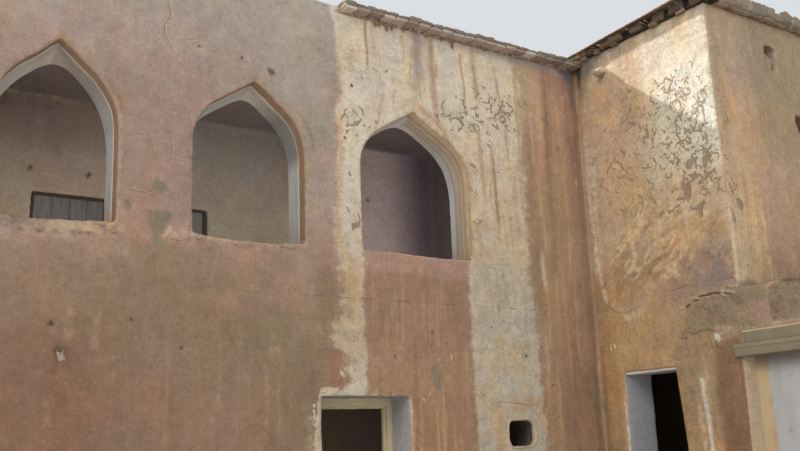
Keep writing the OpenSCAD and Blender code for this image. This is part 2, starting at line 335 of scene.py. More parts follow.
def panel(O, U, V, N, outline, holes=(), lines=()):
    """A flat face. outline: corners (a, b), or arrays of ready points; holes: arrays of ready points."""
    O, U, V, N = (np.asarray(a, float) for a in (O, U, V, N))
    to3 = lambda q: O + np.outer(q[:, 0], U) + np.outer(q[:, 1], V)
    to2 = lambda q: np.stack([(q - O) @ U, (q - O) @ V], 1)
    items = [np.atleast_2d(np.asarray(i, float)) for i in outline]
    pts = []
    for i, it in enumerate(items):
        nxt = items[(i + 1) % len(items)]
        pts.append(it[:-1] if len(it) > 1 else it[:0])
        a, b = to3(it[-1:])[0], to3(nxt[:1])[0]
        if np.linalg.norm(a - b) > 1e-7:
            pts.append(to2(seg(a, b)))
        else:
            pass
    outer = np.vstack(pts)
    loops = [outer] + [np.asarray(h, float) for h in holes]
    coords, edges = [], []
    for loop in loops:
        k = len(coords)
        coords += loop.tolist()
        n = len(loop)
        edges += [(k + j, k + (j + 1) % n) for j in range(n)]
    for ln in lines:
        if isinstance(ln, np.ndarray):
            s = ln
        else:
            a, b = ln
            s = to2(np.vstack([seg(to3(np.array([a]))[0], to3(np.array([b]))[0]), to3(np.array([b]))]))
        k = len(coords)
        coords += s.tolist()
        edges += [(k + j, k + j + 1) for j in range(len(s) - 1)]
    kd = kdtree.KDTree(len(coords))
    for i, c in enumerate(coords):
        kd.insert((c[0], c[1], 0), i)
    kd.balance()
    lo, hi = outer.min(0), outer.max(0)
    rng = np.random.default_rng(int(abs(O.sum() * 1000 + lo.sum() * 77 + N @ [1, 2, 3] * 10)) + 5)
    o3 = to3(outer)
    plo, phi = o3.min(0), o3.max(0)
    where = {H_FAR: [(lo, hi)]}
    for zl, zh, h in zip(ZLO, ZHI, ZH):
        if (zl <= phi + 1e-4).all() and (zh >= plo - 1e-4).all():
            c = to2(np.array([np.maximum(zl, plo), np.minimum(zh, phi)]))
            where.setdefault(h, []).append((c.min(0), c.max(0)))
    if abs(O[1] - YM) < 1e-6 and abs(N[1]) > .5:
        where[H_ARCH] = [(np.array([-4.6, 3.3]), np.array([.1, 4.95]))]
    inner = []
    for h in sorted(where):
        glo = np.maximum(np.min([w[0] for w in where[h]], 0), lo)
        ghi = np.minimum(np.max([w[1] for w in where[h]], 0), hi)
        nx, ny = int((ghi[0] - glo[0]) / h) + 2, int((ghi[1] - glo[1]) / (h * .866)) + 2
        X, Y = np.meshgrid(np.arange(nx) * h + glo[0], np.arange(ny) * h * .866 + glo[1])
        X = X + (np.arange(ny) % 2)[:, None] * h / 2
        g = np.stack([X.ravel(), Y.ravel()], 1)
        g = g + rng.uniform(-.13 * h, .13 * h, g.shape)
        g = g[(g[:, 0] > lo[0]) & (g[:, 0] < hi[0]) & (g[:, 1] > lo[1]) & (g[:, 1] < hi[1])]
        if not len(g):
            continue
        g = g[np.abs(spacing(to3(g)) - h) < 1e-7]
        if not len(g):
            continue
        g = g[in_loops(g, loops)]
        ok = [kd.find((a, b, 0))[2] > .58 * h for a, b in g.tolist()]
        inner.append(g[np.array(ok, bool)] if len(ok) else g)
    allp = coords + (np.vstack(inner).tolist() if inner else [])
    r = geometry.delaunay_2d_cdt([Vector(c) for c in allp], edges, [], 0, 1e-7, False)
    v2 = np.array([tuple(v) for v in r[0]])
    f = np.array(r[2], np.int64)
    cen = v2[f].mean(1)
    f = f[in_loops(cen, loops)]
    area = np.cross(v2[f[:, 1]] - v2[f[:, 0]], v2[f[:, 2]] - v2[f[:, 0]])
    f = f[np.abs(area) > 1e-10]
    if np.cross(U, V) @ N < 0:
        f = f[:, ::-1]
    put(to3(v2), f)


def loft(A, B, n, closed, inward):
    """Rings from A to B. inward(p) points from the skin into the open space, to turn the faces the right way."""
    t = np.linspace(0, 1, n + 1)
    rings = [A + (B - A) * s for s in t]
    v = np.vstack(rings)
    m = len(A)
    e = m if closed else m - 1
    f = []
    for k in range(n):
        for i in range(e):
            a, b = k * m + i, k * m + (i + 1) % m
            c, d = a + m, b + m
            f += [(a, b, d), (a, d, c)] if (i + k) % 2 else [(a, b, c), (b, d, c)]
    f = np.array(f)
    nn = np.cross(v[f[:, 1]] - v[f[:, 0]], v[f[:, 2]] - v[f[:, 0]])
    want = inward(v[f].mean(1))
    if (nn * want).sum() < 0:
        f = f[:, ::-1]
    put(v, f)


def grid(*a):
    return np.array(a, float)


# ------------------------------------------------------------------ the openings' outlines
def wob(p2, amp, size, seed, freeze=None):
    """Shakes an outline in its own plane."""
    p3 = np.column_stack([p2, np.zeros(len(p2))])
    d = np.stack([fbm(p3, size, 2, seed=seed), fbm(p3, size, 2, seed=seed + 31)], 1) * amp
    if freeze is not None:
        d *= freeze[:, None]
    return p2 + d


HOLE = {}
for k, (cx, w, ax, az) in WINS.items():
    lp = ARCHES[k].copy()
    lp = wob(lp, 0.007, 0.16, 3 + len(k))
    base = np.abs(ARCHES[k][:, 1] - SILL) < 1e-6
    u = (ARCHES[k][:, 0] - (cx - w / 2)) / w
    sag = {"left": 0.055 * np.clip(u - .25, 0, 1) ** 1.5 - 0.004, "middle": 0.030 * (np.abs(u - .5) * 2) ** 2 - 0.025, "right": 0.006 * np.sin(u * 7)}[k]
    near = np.clip(1 - (ARCHES[k][:, 1] - SILL) / 0.08, 0, 1)
    lp[:, 1] += sag * near
    HOLE[k] = lp


def rect_ring(a0, a1, b0, b1, h, top_wob=0.006, seed=1, shape=None):
    """Closed ring: starts at (a0, b0), up, over and down to (a1, b0); its bottom side is straight."""
    pts = np.array(shape if shape is not None else [(a0, b0), (a0, b1), (a1, b1), (a1, b0)], float)
    ring = resample(pts, h)
    fr = np.clip((ring[:, 1] - b0) / 0.15, 0, 1)
    return wob(ring, top_wob, 0.2, seed, fr)


def split_notch(ring, b0):
    """From a closed ring, the part from (a0, b0) up and over to (a1, b0), ends in."""
    k = int(np.argmax(np.where(np.abs(ring[:, 1] - b0) < 1e-7, ring[:, 0], -1e9))) if ring[1, 0] <= ring[-1, 0] else None
    idx = [i for i in range(len(ring)) if abs(ring[i, 1] - b0) < 1e-7]
    last = [i for i in idx if i > 1 and i - 1 not in idx]
    e = last[0] if last else len(ring) - 1
    return ring[: e + 1], np.vstack([ring[e:], ring[:1]])


RD = rect_ring(DOOR[0], DOOR[1], ZG, DOOR[2], 0.022, seed=2)
RV = resample(np.array([(0.33 + .07 - .07 * math.cos(t) if s == 0 else 0.66 - .07 + .07 * math.cos(t), z) for s, t, z in
      [(0, t, 1.61 + .07 - .07 * math.sin(t)) for t in np.linspace(math.pi / 2, 0, 7)] +
      [(0, t, 1.86 - .07 + .07 * math.sin(t)) for t in np.linspace(0, math.pi / 2, 7)] +
      [(1, t, 1.86 - .07 + .07 * math.sin(t)) for t in np.linspace(math.pi / 2, 0, 7)] +
      [(1, t, 1.61 + .07 - .07 * math.sin(t)) for t in np.linspace(0, math.pi / 2, 7)]]), 0.018)
RV = wob(RV, 0.006, 0.08, 9)
RS = rect_ring(SDOOR[0], SDOOR[1], ZG, 2.30, 0.020, 0.006, 4, [(-.75, ZG), (-.757, 1.5), (-.722, 2.0), (-.700, 2.30), (-.055, 2.30), (-.045, 2.18), (-.045, 1.6), (-.07, ZG)])
RT = rect_ring(TDOOR[0], TDOOR[1], ZU, TDOOR[2], 0.026, 0.006, 5, [(2.98, ZU), (2.98, 4.52), (2.955, 4.66), (2.915, 4.72), (2.905, 4.79), (2.94, 4.83), (3.02, 4.825), (3.10, 4.81), (3.84, 4.81), (3.84, ZU)])
RI = rect_ring(IDOOR[0], IDOOR[1], ZG, IDOOR[2], 0.05, 0.004, 6)
RB = [resample(np.array([(a, BWZ[0]), (a, BWZ[1]), (b, BWZ[1]), (b, BWZ[0])]), 0.045) for a, b in BWIN]
RP = wob(resample(np.array([(2.540, 5.285), (2.525, 5.36), (2.535, 5.46), (2.530, 5.52), (2.60, 5.535), (2.68, 5.525), (2.725, 5.50), (2.72, 5.42), (2.735, 5.33), (2.715, 5.27), (2.64, 5.262)]), 0.016), 0.009, 0.05, 8)
RK = np.vstack([[(-2.98, 0), (-2.98, ZG / 2)],
                resample(np.array([(-2.98, ZG), (-2.98, 2.36), (-1.48, 2.36), (-1.48, ZG)]), 0.024 * QK, closed=False),
                [(-1.48, ZG / 2), (-1.48, 0)]])
RK = wob(RK, 0.005, 0.2, 12, np.clip((RK[:, 1] - ZG) / .2, 0, 1))


def p3(ring, axis, at):
    z = np.full(len(ring), at)
    return np.column_stack([ring[:, 0], z, ring[:, 1]]) if axis == "y" else np.column_stack([z, ring[:, 0], ring[:, 1]])


def force(pts):
    FORCED.append(pts)


ND, BD = split_notch(RD, ZG)
NS, BS = split_notch(RS, ZG)
NT_, BT = split_notch(RT, ZU)
NI, BI = split_notch(RI, ZG)
force(p3(BD, "y", YMI))
force(p3(BS, "x", XI))
force(p3(BT, "y", YWI))
force(p3(BI, "y", YW))
force(p3(BI, "y", YWI))
# the blocked doorway's jambs lean in behind its panel, clear of the cross wall
RK_in = RK.copy()
RK_in[:, 0] = -2.98 + (RK[:, 0] + 2.98) * (1.44 / 1.50)
_lo = int(np.argmin(np.abs(RK[: len(RK) // 2, 1] - ZG)))
_hi = len(RK) // 2 + int(np.argmin(np.abs(RK[len(RK) // 2:, 1] - ZG)))
NK = RK_in[_lo: _hi + 1]

# cracks that run through the plaster: a middle line that sinks in, and a line along each side
def crack(pts, width, seed):
    m = resample(np.array(pts, float), 0.013 * QK, closed=False)
    q = np.column_stack([m, np.zeros(len(m))])
    m = m + np.stack([fbm(q, 0.07, 3, .6, seed), fbm(q, 0.07, 3, .6, seed + 9)], 1) * 0.012
    d = np.gradient(m, axis=0)
    nrm = np.stack([-d[:, 1], d[:, 0]], 1) / np.linalg.norm(d, axis=1)[:, None]
    t = np.linspace(0, 1, len(m))
    w = width * np.sin(np.clip(t, .04, .96) * math.pi)[:, None] ** .5
    return m, m + nrm * w, m - nrm * w


CRACKS_F = [crack(c, w, 60 + i) for i, (c, w) in enumerate([
    ([(-3.14, 5.64), (-3.16, 5.50), (-3.13, 5.38), (-3.10, 5.26), (-3.16, 5.17), (-3.165, 5.08), (-3.11, 5.00), (-3.07, 4.94), (-3.03, 4.87)], .0060),
    ([(-3.185, 5.06), (-3.22, 5.02), (-3.26, 4.99)], .0035),
    ([(-3.49, 4.13), (-3.42, 4.15), (-3.30, 4.18), (-3.22, 4.21)], .0030),
    ([(-3.18, 4.20), (-3.10, 4.17), (-3.08, 4.10), (-3.095, 4.03), (-3.03, 4.00), (-2.96, 3.93)], .0045),
    ([(-3.47, 3.68), (-3.42, 3.70), (-3.30, 3.69), (-3.22, 3.72)], .0055),
    ([(-4.16, 5.10), (-4.12, 5.06), (-4.09, 5.01)], .0030),
    ([(-2.98, 5.08), (-2.90, 5.10), (-2.84, 5.14), (-2.78, 5.15)], .0030),
    ([(-2.18, 4.92), (-2.12, 4.90), (-2.07, 4.87)], .0045),
    ([(-3.10, 3.33), (-3.02, 3.325), (-2.95, 3.34)], .0050),
    ([(-3.66, 3.16), (-3.58, 3.10), (-3.55, 3.02)], .0025),
    ([(0.25, 2.03), (0.40, 2.02), (0.55, 2.01), (0.72, 2.00)], .0045),
    ([(0.05, 3.43), (0.15, 3.36), (0.27, 3.34), (0.34, 3.32)], .0035),
])]
CRACKS_S = [crack(c, w, 90 + i) for i, (c, w) in enumerate([
    ([(0.22, 3.18), (0.16, 3.07), (0.10, 3.00), (0.02, 2.94), (-0.06, 2.91), (-0.15, 2.90), (-0.24, 2.925), (-0.33, 2.93), (-0.44, 2.965)], .0050),
    ([(-0.60, 3.36), (-0.66, 3.38), (-0.70, 3.42), (-0.73, 3.44)], .0060),
    ([(-0.45, 2.525), (-0.56, 2.520)], .0035),
    ([(-1.14, 2.52), (-1.155, 2.45), (-1.16, 2.40)], .0060),
    ([(-1.19, 2.20), (-1.20, 2.12), (-1.23, 2.05), (-1.24, 1.98)], .0040),
    ([(-1.25, 1.84), (-1.27, 1.78), (-1.265, 1.70)], .0055),
    ([(-1.33, 3.045), (-1.42, 3.04), (-1.49, 3.05)], .0040),
    ([(-0.66, 3.035), (-0.80, 3.03), (-0.92, 3.05), (-1.05, 3.04)], .0025),
])]

ex, ey, ez = np.eye(3)
O0 = np.zeros(3)
xz = lambda y: dict(O=(0, y, 0), U=ex, V=ez)
yz = lambda x: dict(O=(x, 0, 0), U=ey, V=ez)
xy = lambda z: dict(O=(0, 0, z), U=ex, V=ey)

# outer skin
panel(**xz(YM), N=-ey, outline=[(X0, 0), (XS, 0), (XS, ZM), (COP_X, ZM), (COP_X, ZP), (X0, ZP)],
      holes=[RD, RV, HOLE["left"], HOLE["middle"], HOLE["right"]],
      lines=[((X0, ZU), (XS, ZU)), ((X0, ZM), (COP_X, ZM)), ((DOOR[0], 2.13), (DOOR[0], ZU)), ((DOOR[1], 2.13), (DOOR[1], ZU))]
            + [l for c in CRACKS_F for l in c])
tick("front")
panel(**yz(XS), N=-ex, outline=[(YF0, 0), RK[:, :], (YM, 0), (YM, ZM), (YB2, ZM), (YB2, ZW), (YW, ZW), (YW, ZT), (YF0, ZT)],
      holes=[RS], lines=[((YW, ZU), (YM, ZU)), ((YF0, ZT0), (YW, ZT0)), ((YW, ZT0), (YW, ZT))] + [l for c in CRACKS_S for l in c])
tick("side")
panel(**xz(YW), N=-ey, outline=[(XS, ZT), (X1, ZT), (X1, ZW), (XS, ZW)], holes=[RT, RP])
panel(**xy(ZT), N=ez, outline=[(XS, YF0), (X1, YF0), (X1, YW), (XS, YW)])
panel(**xz(YF0), N=-ey, outline=[(XS, 0), (X1, 0), (X1, ZT), (XS, ZT)], lines=[((XS, ZT0), (X1, ZT0))])
panel(**yz(X1), N=ex, outline=[(YF0, 0), (YB2, 0), (YB2, ZW), (YW, ZW), (YW, ZT), (YF0, ZT)], lines=[((YW, ZU), (YB2, ZU)), ((YF0, ZT0), (YW, ZT0))])
panel(**xz(YB2), N=ey, outline=[(X0, 0), (X1, 0), (X1, ZW), (XS, ZW), (XS, ZM), (X0, ZM)], holes=RB, lines=[((X0, ZU), (X1, ZU))])
panel(**yz(X0), N=-ex, outline=[(YM, 0), (YB2, 0), (YB2, ZM), (COP_Y, ZM), (COP_Y, ZP), (YM, ZP)], lines=[((YM, ZU), (YB2, ZU))])
panel(**xy(0), N=-ez, outline=[(X0, YM), (X0, YB2), (X1, YB2), (X1, YF0), (XS, YF0),
      np.column_stack([np.linspace(XS, XI, 13), np.full(13, -2.98)]), np.column_stack([np.linspace(XI, XS, 13), np.linspace(-1.54, -1.48, 13)]), (XS, YM)])
panel(**xy(ZM), N=ez, outline=[(X0, COP_Y), (COP_X, COP_Y), (COP_X, YM), (XS, YM), (XS, YB2), (X0, YB2)])
panel(**xy(ZP), N=ez, outline=[(X0, YM), (COP_X, YM), (COP_X, COP_Y), (X0, COP_Y)])
panel(**xz(COP_Y), N=ey, outline=[(X0, ZM), (COP_X, ZM), (COP_X, ZP), (X0, ZP)])
panel(**yz(COP_X), N=ex, outline=[(YM, ZM), (COP_Y, ZM), (COP_Y, ZP), (YM, ZP)])
panel(**xy(ZW), N=ez, outline=[(XS, YW), (X1, YW), (X1, YB2), (XS, YB2)])
tick("outer skin")


# rooms: low and high corners, and what is cut in each wall
def room(x0, x1, y0, y1, z0, z1, front=(), back=(), left=(), right=(), fh=(), bh=(), lh=(), rh=()):
    def wall(pl, N, a0, a1, notch, holes):
        out = [(a0, z0)]
        for nt in notch:
            out.append(nt)
        out += [(a1, z0), (a1, z1), (a0, z1)]
        panel(**pl, N=N, outline=out, holes=holes)
    wall(xz(y0), ey, x0, x1, front, fh)
    wall(xz(y1), -ey, x0, x1, back, bh)
    wall(yz(x0), ex, y0, y1, left, lh)
    wall(yz(x1), -ex, y0, y1, right, rh)
    c = [(x0, y0), (x1, y0), (x1, y1), (x0, y1)]
    panel(**xy(z0), N=ez, outline=c)
    panel(**xy(z1), N=-ez, outline=c)


room(XL, XS, YMI, YB, ZG, ZU0, front=[ND], fh=[RV])
room(XL, XS, YMU, YB, ZU, ZC, fh=[HOLE["left"], HOLE["middle"], HOLE["right"]], bh=[RB[0]])
room(XI, XR, YWI, YB, ZG, ZU0, front=[NI], left=[NS])
room(XI, XR, YWI, YB, ZU, ZC, front=[NT_], bh=[RB[1]])
room(XI, XR, YFI, YW, ZG, ZT0, back=[NI], left=[NK])
panel(**yz(XI), N=-ex, outline=[(-2.98, 0), (-1.54, 0), (-1.54, ZG), (-2.98, ZG)])
tick("rooms")

# reveals
toward = lambda c: (lambda p: np.asarray(c, float) - p)
for k, ring in HOLE.items():
    c = ring.mean(0)
    loft(p3(ring, "y", YM), p3(ring, "y", YMU), 16, True, lambda p, c=c: np.column_stack([c[0] - p[:, 0], 0 * p[:, 0], c[1] - p[:, 2]]))
for ring, a, b, n in ((RD, YM, YMI, 18), (RV, YM, YMI, 12), (RT, YW, YWI, 14), (RI, YW, YWI, 6)):
    c = ring.mean(0)
    loft(p3(ring, "y", a), p3(ring, "y", b), n, True, lambda p, c=c: np.column_stack([c[0] - p[:, 0], 0 * p[:, 0], c[1] - p[:, 2]]))
for ring in RB:
    c = ring.mean(0)
    loft(p3(ring, "y", YB2), p3(ring, "y", YB), 7, True, lambda p, c=c: np.column_stack([c[0] - p[:, 0], 0 * p[:, 0], c[1] - p[:, 2]]))
c = RS.mean(0)
loft(p3(RS, "x", XS), p3(RS, "x", XI), 20, True, lambda p, c=c: np.column_stack([0 * p[:, 0], c[0] - p[:, 1], c[1] - p[:, 2]]))
c = np.array([-2.2, 1.0])
loft(p3(RK, "x", XS), p3(RK_in, "x", XI), 12, False, lambda p, c=c: np.column_stack([0 * p[:, 0], c[0] - p[:, 1], c[1] - p[:, 2]]))
# broken pocket
c = RP.mean(0)
RP2 = c + (RP - c) * 0.8
loft(p3(RP, "y", YW), p3(RP2, "y", YW + .17), 9, True, lambda p, c=c: np.column_stack([c[0] - p[:, 0], 0 * p[:, 0], c[1] - p[:, 2]]))
panel(**xz(YW + .17), N=-ey, outline=[np.vstack([RP2, RP2[:1]])])
tick("reveals")

V = np.vstack(SV)
T = np.vstack(ST)
del SV, ST


def weld(V, T, tol=1e-4):
    q = np.round(V / tol).astype(np.int64)
    _, first, inv = np.unique(q, axis=0, return_index=True, return_inverse=True)
    inv = inv.ravel()
    V, T = V[first], inv[T]
    for _ in range(2):
        e = np.sort(np.vstack([T[:, [0, 1]], T[:, [1, 2]], T[:, [2, 0]]]), 1)
        k = e[:, 0] * len(V) + e[:, 1]
        u, n = np.unique(k, return_counts=True)
        b = np.unique(np.concatenate([u[n == 1] // len(V), u[n == 1] % len(V)]))
        if not len(b):
            break
        kd = kdtree.KDTree(len(b))
        for i in b:
            kd.insert(V[i], int(i))
        kd.balance()
        m = np.arange(len(V))
        for i in b:
            for _, j, _ in kd.find_range(V[i], tol * 3):
                m[i] = min(m[i], m[j])
        T = m[T]
    T = T[(T[:, 0] != T[:, 1]) & (T[:, 1] != T[:, 2]) & (T[:, 2] != T[:, 0])]
    used, inv = np.unique(T, return_inverse=True)
    return V[used], inv.reshape(T.shape)


V, T = weld(V, T)
e = np.vstack([T[:, [0, 1]], T[:, [1, 2]], T[:, [2, 0]]])
k = np.sort(e, 1)
k = k[:, 0] * len(V) + k[:, 1]
u, n = np.unique(k, return_counts=True)
EDGE = np.stack([u // len(V), u % len(V)], 1)
bad = EDGE[n != 2]
tick(f"shell: {len(V)} vertices, {len(T)} triangles, {len(bad)} open or crowded edges")
for a, b in bad[:12]:
    print("   edge", V[a].round(4), V[b].round(4))


# ------------------------------------------------------------------ the worn form: round edges, waves, damage
P0 = V.copy()  # places on the ideal walls; all painting uses these


def vnormals(V, T):
    fn = np.cross(V[T[:, 1]] - V[T[:, 0]], V[T[:, 2]] - V[T[:, 0]])
    n = np.zeros_like(V)
    for k in range(3):
        for c in range(3):
            n[:, c] += np.bincount(T[:, k], fn[:, c], len(V))
    return n / np.maximum(np.linalg.norm(n, axis=1), 1e-12)[:, None]


fn = np.cross(V[T[:, 1]] - V[T[:, 0]], V[T[:, 2]] - V[T[:, 0]])
fn /= np.maximum(np.linalg.norm(fn, axis=1), 1e-12)[:, None]
acc = np.zeros_like(V)
cnt = np.bincount(T.ravel(), minlength=len(V))
for k in range(3):
    for c in range(3):
        acc[:, c] += np.bincount(T[:, k], fn[:, c], len(V))
crease = 1 - np.linalg.norm(acc, axis=1) / cnt > 0.02
elen = np.linalg.norm(V[EDGE[:, 0]] - V[EDGE[:, 1]], axis=1)
DC = np.where(crease, 0.0, 9.0)  # distance to the nearest edge of the building or an opening
for _ in range(14):
    np.minimum.at(DC, EDGE[:, 0], DC[EDGE[:, 1]] + elen)
    np.minimum.at(DC, EDGE[:, 1], DC[EDGE[:, 0]] + elen)
X, Y, Z = P0.T
N0 = vnormals(V, T)
on = lambda a, b, t=1.5e-3: np.abs(a - b) < t
# round-over radius by place
R = np.full(len(V), 0.034)
R *= 1 + .35 * fbm(P0, .13, 2, seed=41)
corner = (np.hypot(X - XS, Y - YW) < .16) & (Z > ZT + .03)
R[corner] = 0.110
for cx_, cy_ in ((X0, YM), (X0, YB2), (X1, YB2), (X1, YF0), (XS, YF0)):
    R[np.hypot(X - cx_, Y - cy_) < .12] = 0.085
R[(np.hypot(X - XS, Y - YM) < .12)] = 0.050
R[(Z > ZM - .02)] = np.minimum(R[Z > ZM - .02], .03)
R[Z < 0.012] = 0
lane = np.full(len(V), np.inf)
w8 = np.where(R > 0, np.clip(1.25 * (1 - DC / np.maximum(R, 1e-6)), 0, 1), 0)
hl = np.zeros(len(V))
np.maximum.at(hl, EDGE[:, 0], elen)
np.maximum.at(hl, EDGE[:, 1], elen)
K = np.clip((R / np.maximum(hl, 1e-3)) ** 2 * .9, 1, 44)
act = w8 > 0
sel = act[EDGE[:, 0]] | act[EDGE[:, 1]]
E2 = EDGE[sel]
for it in range(44):
    live = act & (K > it)
    if it % 8 == 0:
        m = live[E2[:, 0]] | live[E2[:, 1]]
        E3 = E2[m]
    if not len(E3):
        break
    d = V[E3[:, 1]] - V[E3[:, 0]]
    il = 1 / np.maximum(np.linalg.norm(d, axis=1), 2e-3)
    sw = np.bincount(E3[:, 0], il, len(V)) + np.bincount(E3[:, 1], il, len(V))
    L = np.zeros_like(V)
    for c in range(3):
        L[:, c] = np.bincount(E3[:, 0], d[:, c] * il, len(V)) - np.bincount(E3[:, 1], d[:, c] * il, len(V))
    L /= np.maximum(sw, 1e-9)[:, None]
    L[Z < 0.012] = 0
    V = V + L * (w8 * live * .55)[:, None]
tick("edges rounded")

FRONT = on(Y, YM) & (X <= XS + 1e-3) & (Z <= ZP + .01)
SIDE = on(X, XS) & (Y <= YM + 1e-3) & (Z <= ZW + .01)
WING = on(Y, YW) & (X >= XS - 1e-3) & (Z >= ZT - 1e-3)
INNER = ((X > XL - .01) & (X < XS + .001) & (Y > YMU - .01) & (Y < YB + .01)) | ((X > XI - .01) & (X < XR + .01) & (Y > YFI - .01) & (Y < YB + .01))
INNER &= ~(on(X, XS) & (Y < YM + .02)) & ~WING
inw = (Y > YM + 1e-3) & (Y < YMU - 1e-3) & (X > -4.6) & (X < .1) & (Z > 3.3) & (Z < 5.0)   # window reveals
HIDE = (Z < 1e-3) | (on(Z, ZM) & (Y > YM + .01)) | (on(Z, ZW) & (Y > YW + .01) & (X > XS + .01))

PAL = {k: np.array(v) / 255.0 for k, v in dict(
    dust=(164, 148, 134), ash=(158, 141, 126), rose=(161, 132, 118), blush=(168, 134, 118), umber=(141, 117, 97), khaki=(138, 120, 96),
    rust=(152, 117, 90), brick=(147, 112, 93), plum=(118, 93, 78), ochre=(172, 136, 96), amber=(186, 148, 104), tan=(181, 159, 134),
    mudgrey=(140, 123, 102), greygreen=(132, 120, 98), drip=(136, 108, 82), shade=(104, 86, 70), soot=(84, 80, 78), black=(40, 34, 30),
    ivory=(194, 179, 156), butter=(192, 171, 141), peach=(180, 149, 118), straw=(170, 145, 110), sand=(184, 160, 126), stone=(166, 150, 138),
    slate=(150, 146, 142), chalk=(208, 199, 184), lime=(196, 194, 190), clay=(150, 128, 112), dun=(160, 143, 120), smoke=(112, 98, 90),
    plaster=(176, 160, 138), earth=(134, 112, 90), cream=(196, 178, 152), bone=(178, 166, 146), limewash=(160, 155, 149), bluewash=(160, 160, 162), bark=(128, 100, 78), lining=(158, 157, 155), lining2=(168, 170, 173), crown=(140, 122, 106), crown2=(158, 146, 128), panel=(176, 178, 180), panel2=(160, 158, 152), ridge=(118, 108, 95), fawn=(172, 148, 120), buff=(186, 166, 136), copper=(160, 127, 99), sienna=(150, 124, 98), hide=(126, 97, 80), drab=(126, 114, 96), dusk=(152, 138, 142), dusk2=(86, 76, 88), soffit=(204, 194, 182), soffit2=(186, 182, 182), caps=(116, 108, 98), capgrey=(122, 113, 98), gold=(190, 162, 122), moss=(128, 119, 98)).items()}
NV = len(V)
TA, TB = np.zeros((NV, 3)), np.zeros((NV, 3))  # mud coat and limed coat
MIX, FLK, CHP, CRK, RGH, SMO, STK, BLO, NET = (np.zeros(NV) for _ in range(9))
DISP = np.zeros(NV)  # out of the wall, metres
FIELDS = dict(mix=MIX, flake=FLK, chip=CHP, crack=CRK, rough=RGH, smooth=SMO, streak=STK, blotch=BLO, net=NET)


class Wall:
    """Paints and presses features on one wall, in its own two coordinates."""

    def __init__(self, mask, a, b):
        self.i = np.nonzero(mask)[0]
        self.a, self.b = a[self.i], b[self.i]
        q = np.column_stack([self.a, self.b, np.zeros(len(self.i))])
        self.q = q
        self.n1 = fbm(q, .055, 3, .55, seed=71)
        self.n2 = fbm(q + 9.1, .055, 3, .55, seed=72)
        self.b1 = fbm(q, .35, 2, .5, seed=73)
        self.b2 = fbm(q + 3.3, .35, 2, .5, seed=74)
        self.v1 = fbm(q, (.035, .8, 1), 4, .6, seed=75)   # fine run-off streaks
        self.v2 = fbm(q, (.11, 1.6, 1), 3, .55, seed=76)  # broad ones

    def near(self, lo, hi, pad):
        return np.nonzero((self.a > lo[0] - pad) & (self.a < hi[0] + pad) & (self.b > lo[1] - pad) & (self.b < hi[1] + pad))[0]

    def line(self, pts, pad, wob=.006, big=0.0):
        """Distance to a polyline and place along it, for the vertices near it."""
        pts = np.asarray(pts, float)
        j = self.near(pts.min(0), pts.max(0), pad + wob * 2 + big)
        a = self.a[j] + self.n1[j] * wob + self.b1[j] * big
        b = self.b[j] + self.n2[j] * wob + self.b2[j] * big
        best, tt = np.full(len(j), 9.0), np.zeros(len(j))
        sl = np.linalg.norm(np.diff(pts, axis=0), axis=1)
        cum = np.concatenate([[0], np.cumsum(sl)])
        for k in range(len(pts) - 1):
            (ax, ay), (bx, by) = pts[k], pts[k + 1]
            dx, dy = bx - ax, by - ay
            t = np.clip(((a - ax) * dx + (b - ay) * dy) / max(dx * dx + dy * dy, 1e-12), 0, 1)
            d = np.hypot(a - ax - t * dx, b - ay - t * dy)
            m = d < best
            best = np.where(m, d, best)
            tt = np.where(m, (cum[k] + t * sl[k]) / cum[-1], tt)
        return j, best, tt

    def stroke(self, pts, w, soft=.5, wob=.006, big=0.0, w2=None, fade=(0, 0)):
        """Indices and strength of a stroke of half width w (w2 at its end), soft at its sides, faded at its ends."""
        w2 = w if w2 is None else w2
        j, d, t = self.line(pts, max(w, w2) * (1 + soft) + .002, wob, big)
        ww = w + (w2 - w) * t
        x = 1 - sstep(ww * (1 - soft), ww * (1 + soft), d)
        if fade[0]:
            x = x * sstep(0, fade[0], t)
        if fade[1]:
            x = x * (1 - sstep(1 - fade[1], 1, t))
        return j, x

    def region(self, pts, soft=.03, wob=.01, big=0.0):
        """Indices and strength of a filled outline with a soft edge."""
        pts = np.asarray(pts, float)
        if len(pts) == 2:
            (x0, z0), (x1, z1) = pts
            pts = np.array([(x0, z0), (x1, z0), (x1, z1), (x0, z1)])
        j, d, _ = self.line(np.vstack([pts, pts[:1]]), soft + .01, wob, big)
        a = self.a[j] + self.n1[j] * wob + self.b1[j] * big
        b = self.b[j] + self.n2[j] * wob + self.b2[j] * big
        ins = in_loops(np.column_stack([a, b]), [pts])
        return j, sstep(-soft, soft, np.where(ins, d, -d))

    def tint(self, layer, col, jx, a=1.0):
        j, x = jx
        k = self.i[j]
        x = (x * a)[:, None]
        layer[k] = layer[k] * (1 - x) + PAL[col] * x

    def both(self, col, jx, a=1.0):
        self.tint(TA, col, jx, a)
        self.tint(TB, col, jx, a)

    def set(self, field, jx, v=1.0, mode="max"):
        j, x = jx
        f, k = FIELDS[field], self.i[j]
        if mode == "max":
            f[k] = np.maximum(f[k], x * v)
        elif mode == "to":
            f[k] = f[k] * (1 - x) + v * x
        else:
            f[k] = f[k] + x * v

    def press(self, jx, d):
        j, x = jx
        DISP[self.i[j]] += x * d

    def streaked(self, jx, a=1.0, lo=.0, hi=.5, broad=False, flip=False):
        """The same place, but only where the run-off noise is strong."""
        j, x = jx
        n = (self.v2 if broad else self.v1)[j]
        return j, x * a * sstep(lo, hi, -n if flip else n)

    def mottled(self, jx, lo=.0, hi=.4, size=.2, seed=5, oct=4):
        j, x = jx
        return j, x * sstep(lo, hi, fbm(self.q[j], size, oct, .6, seed=seed))


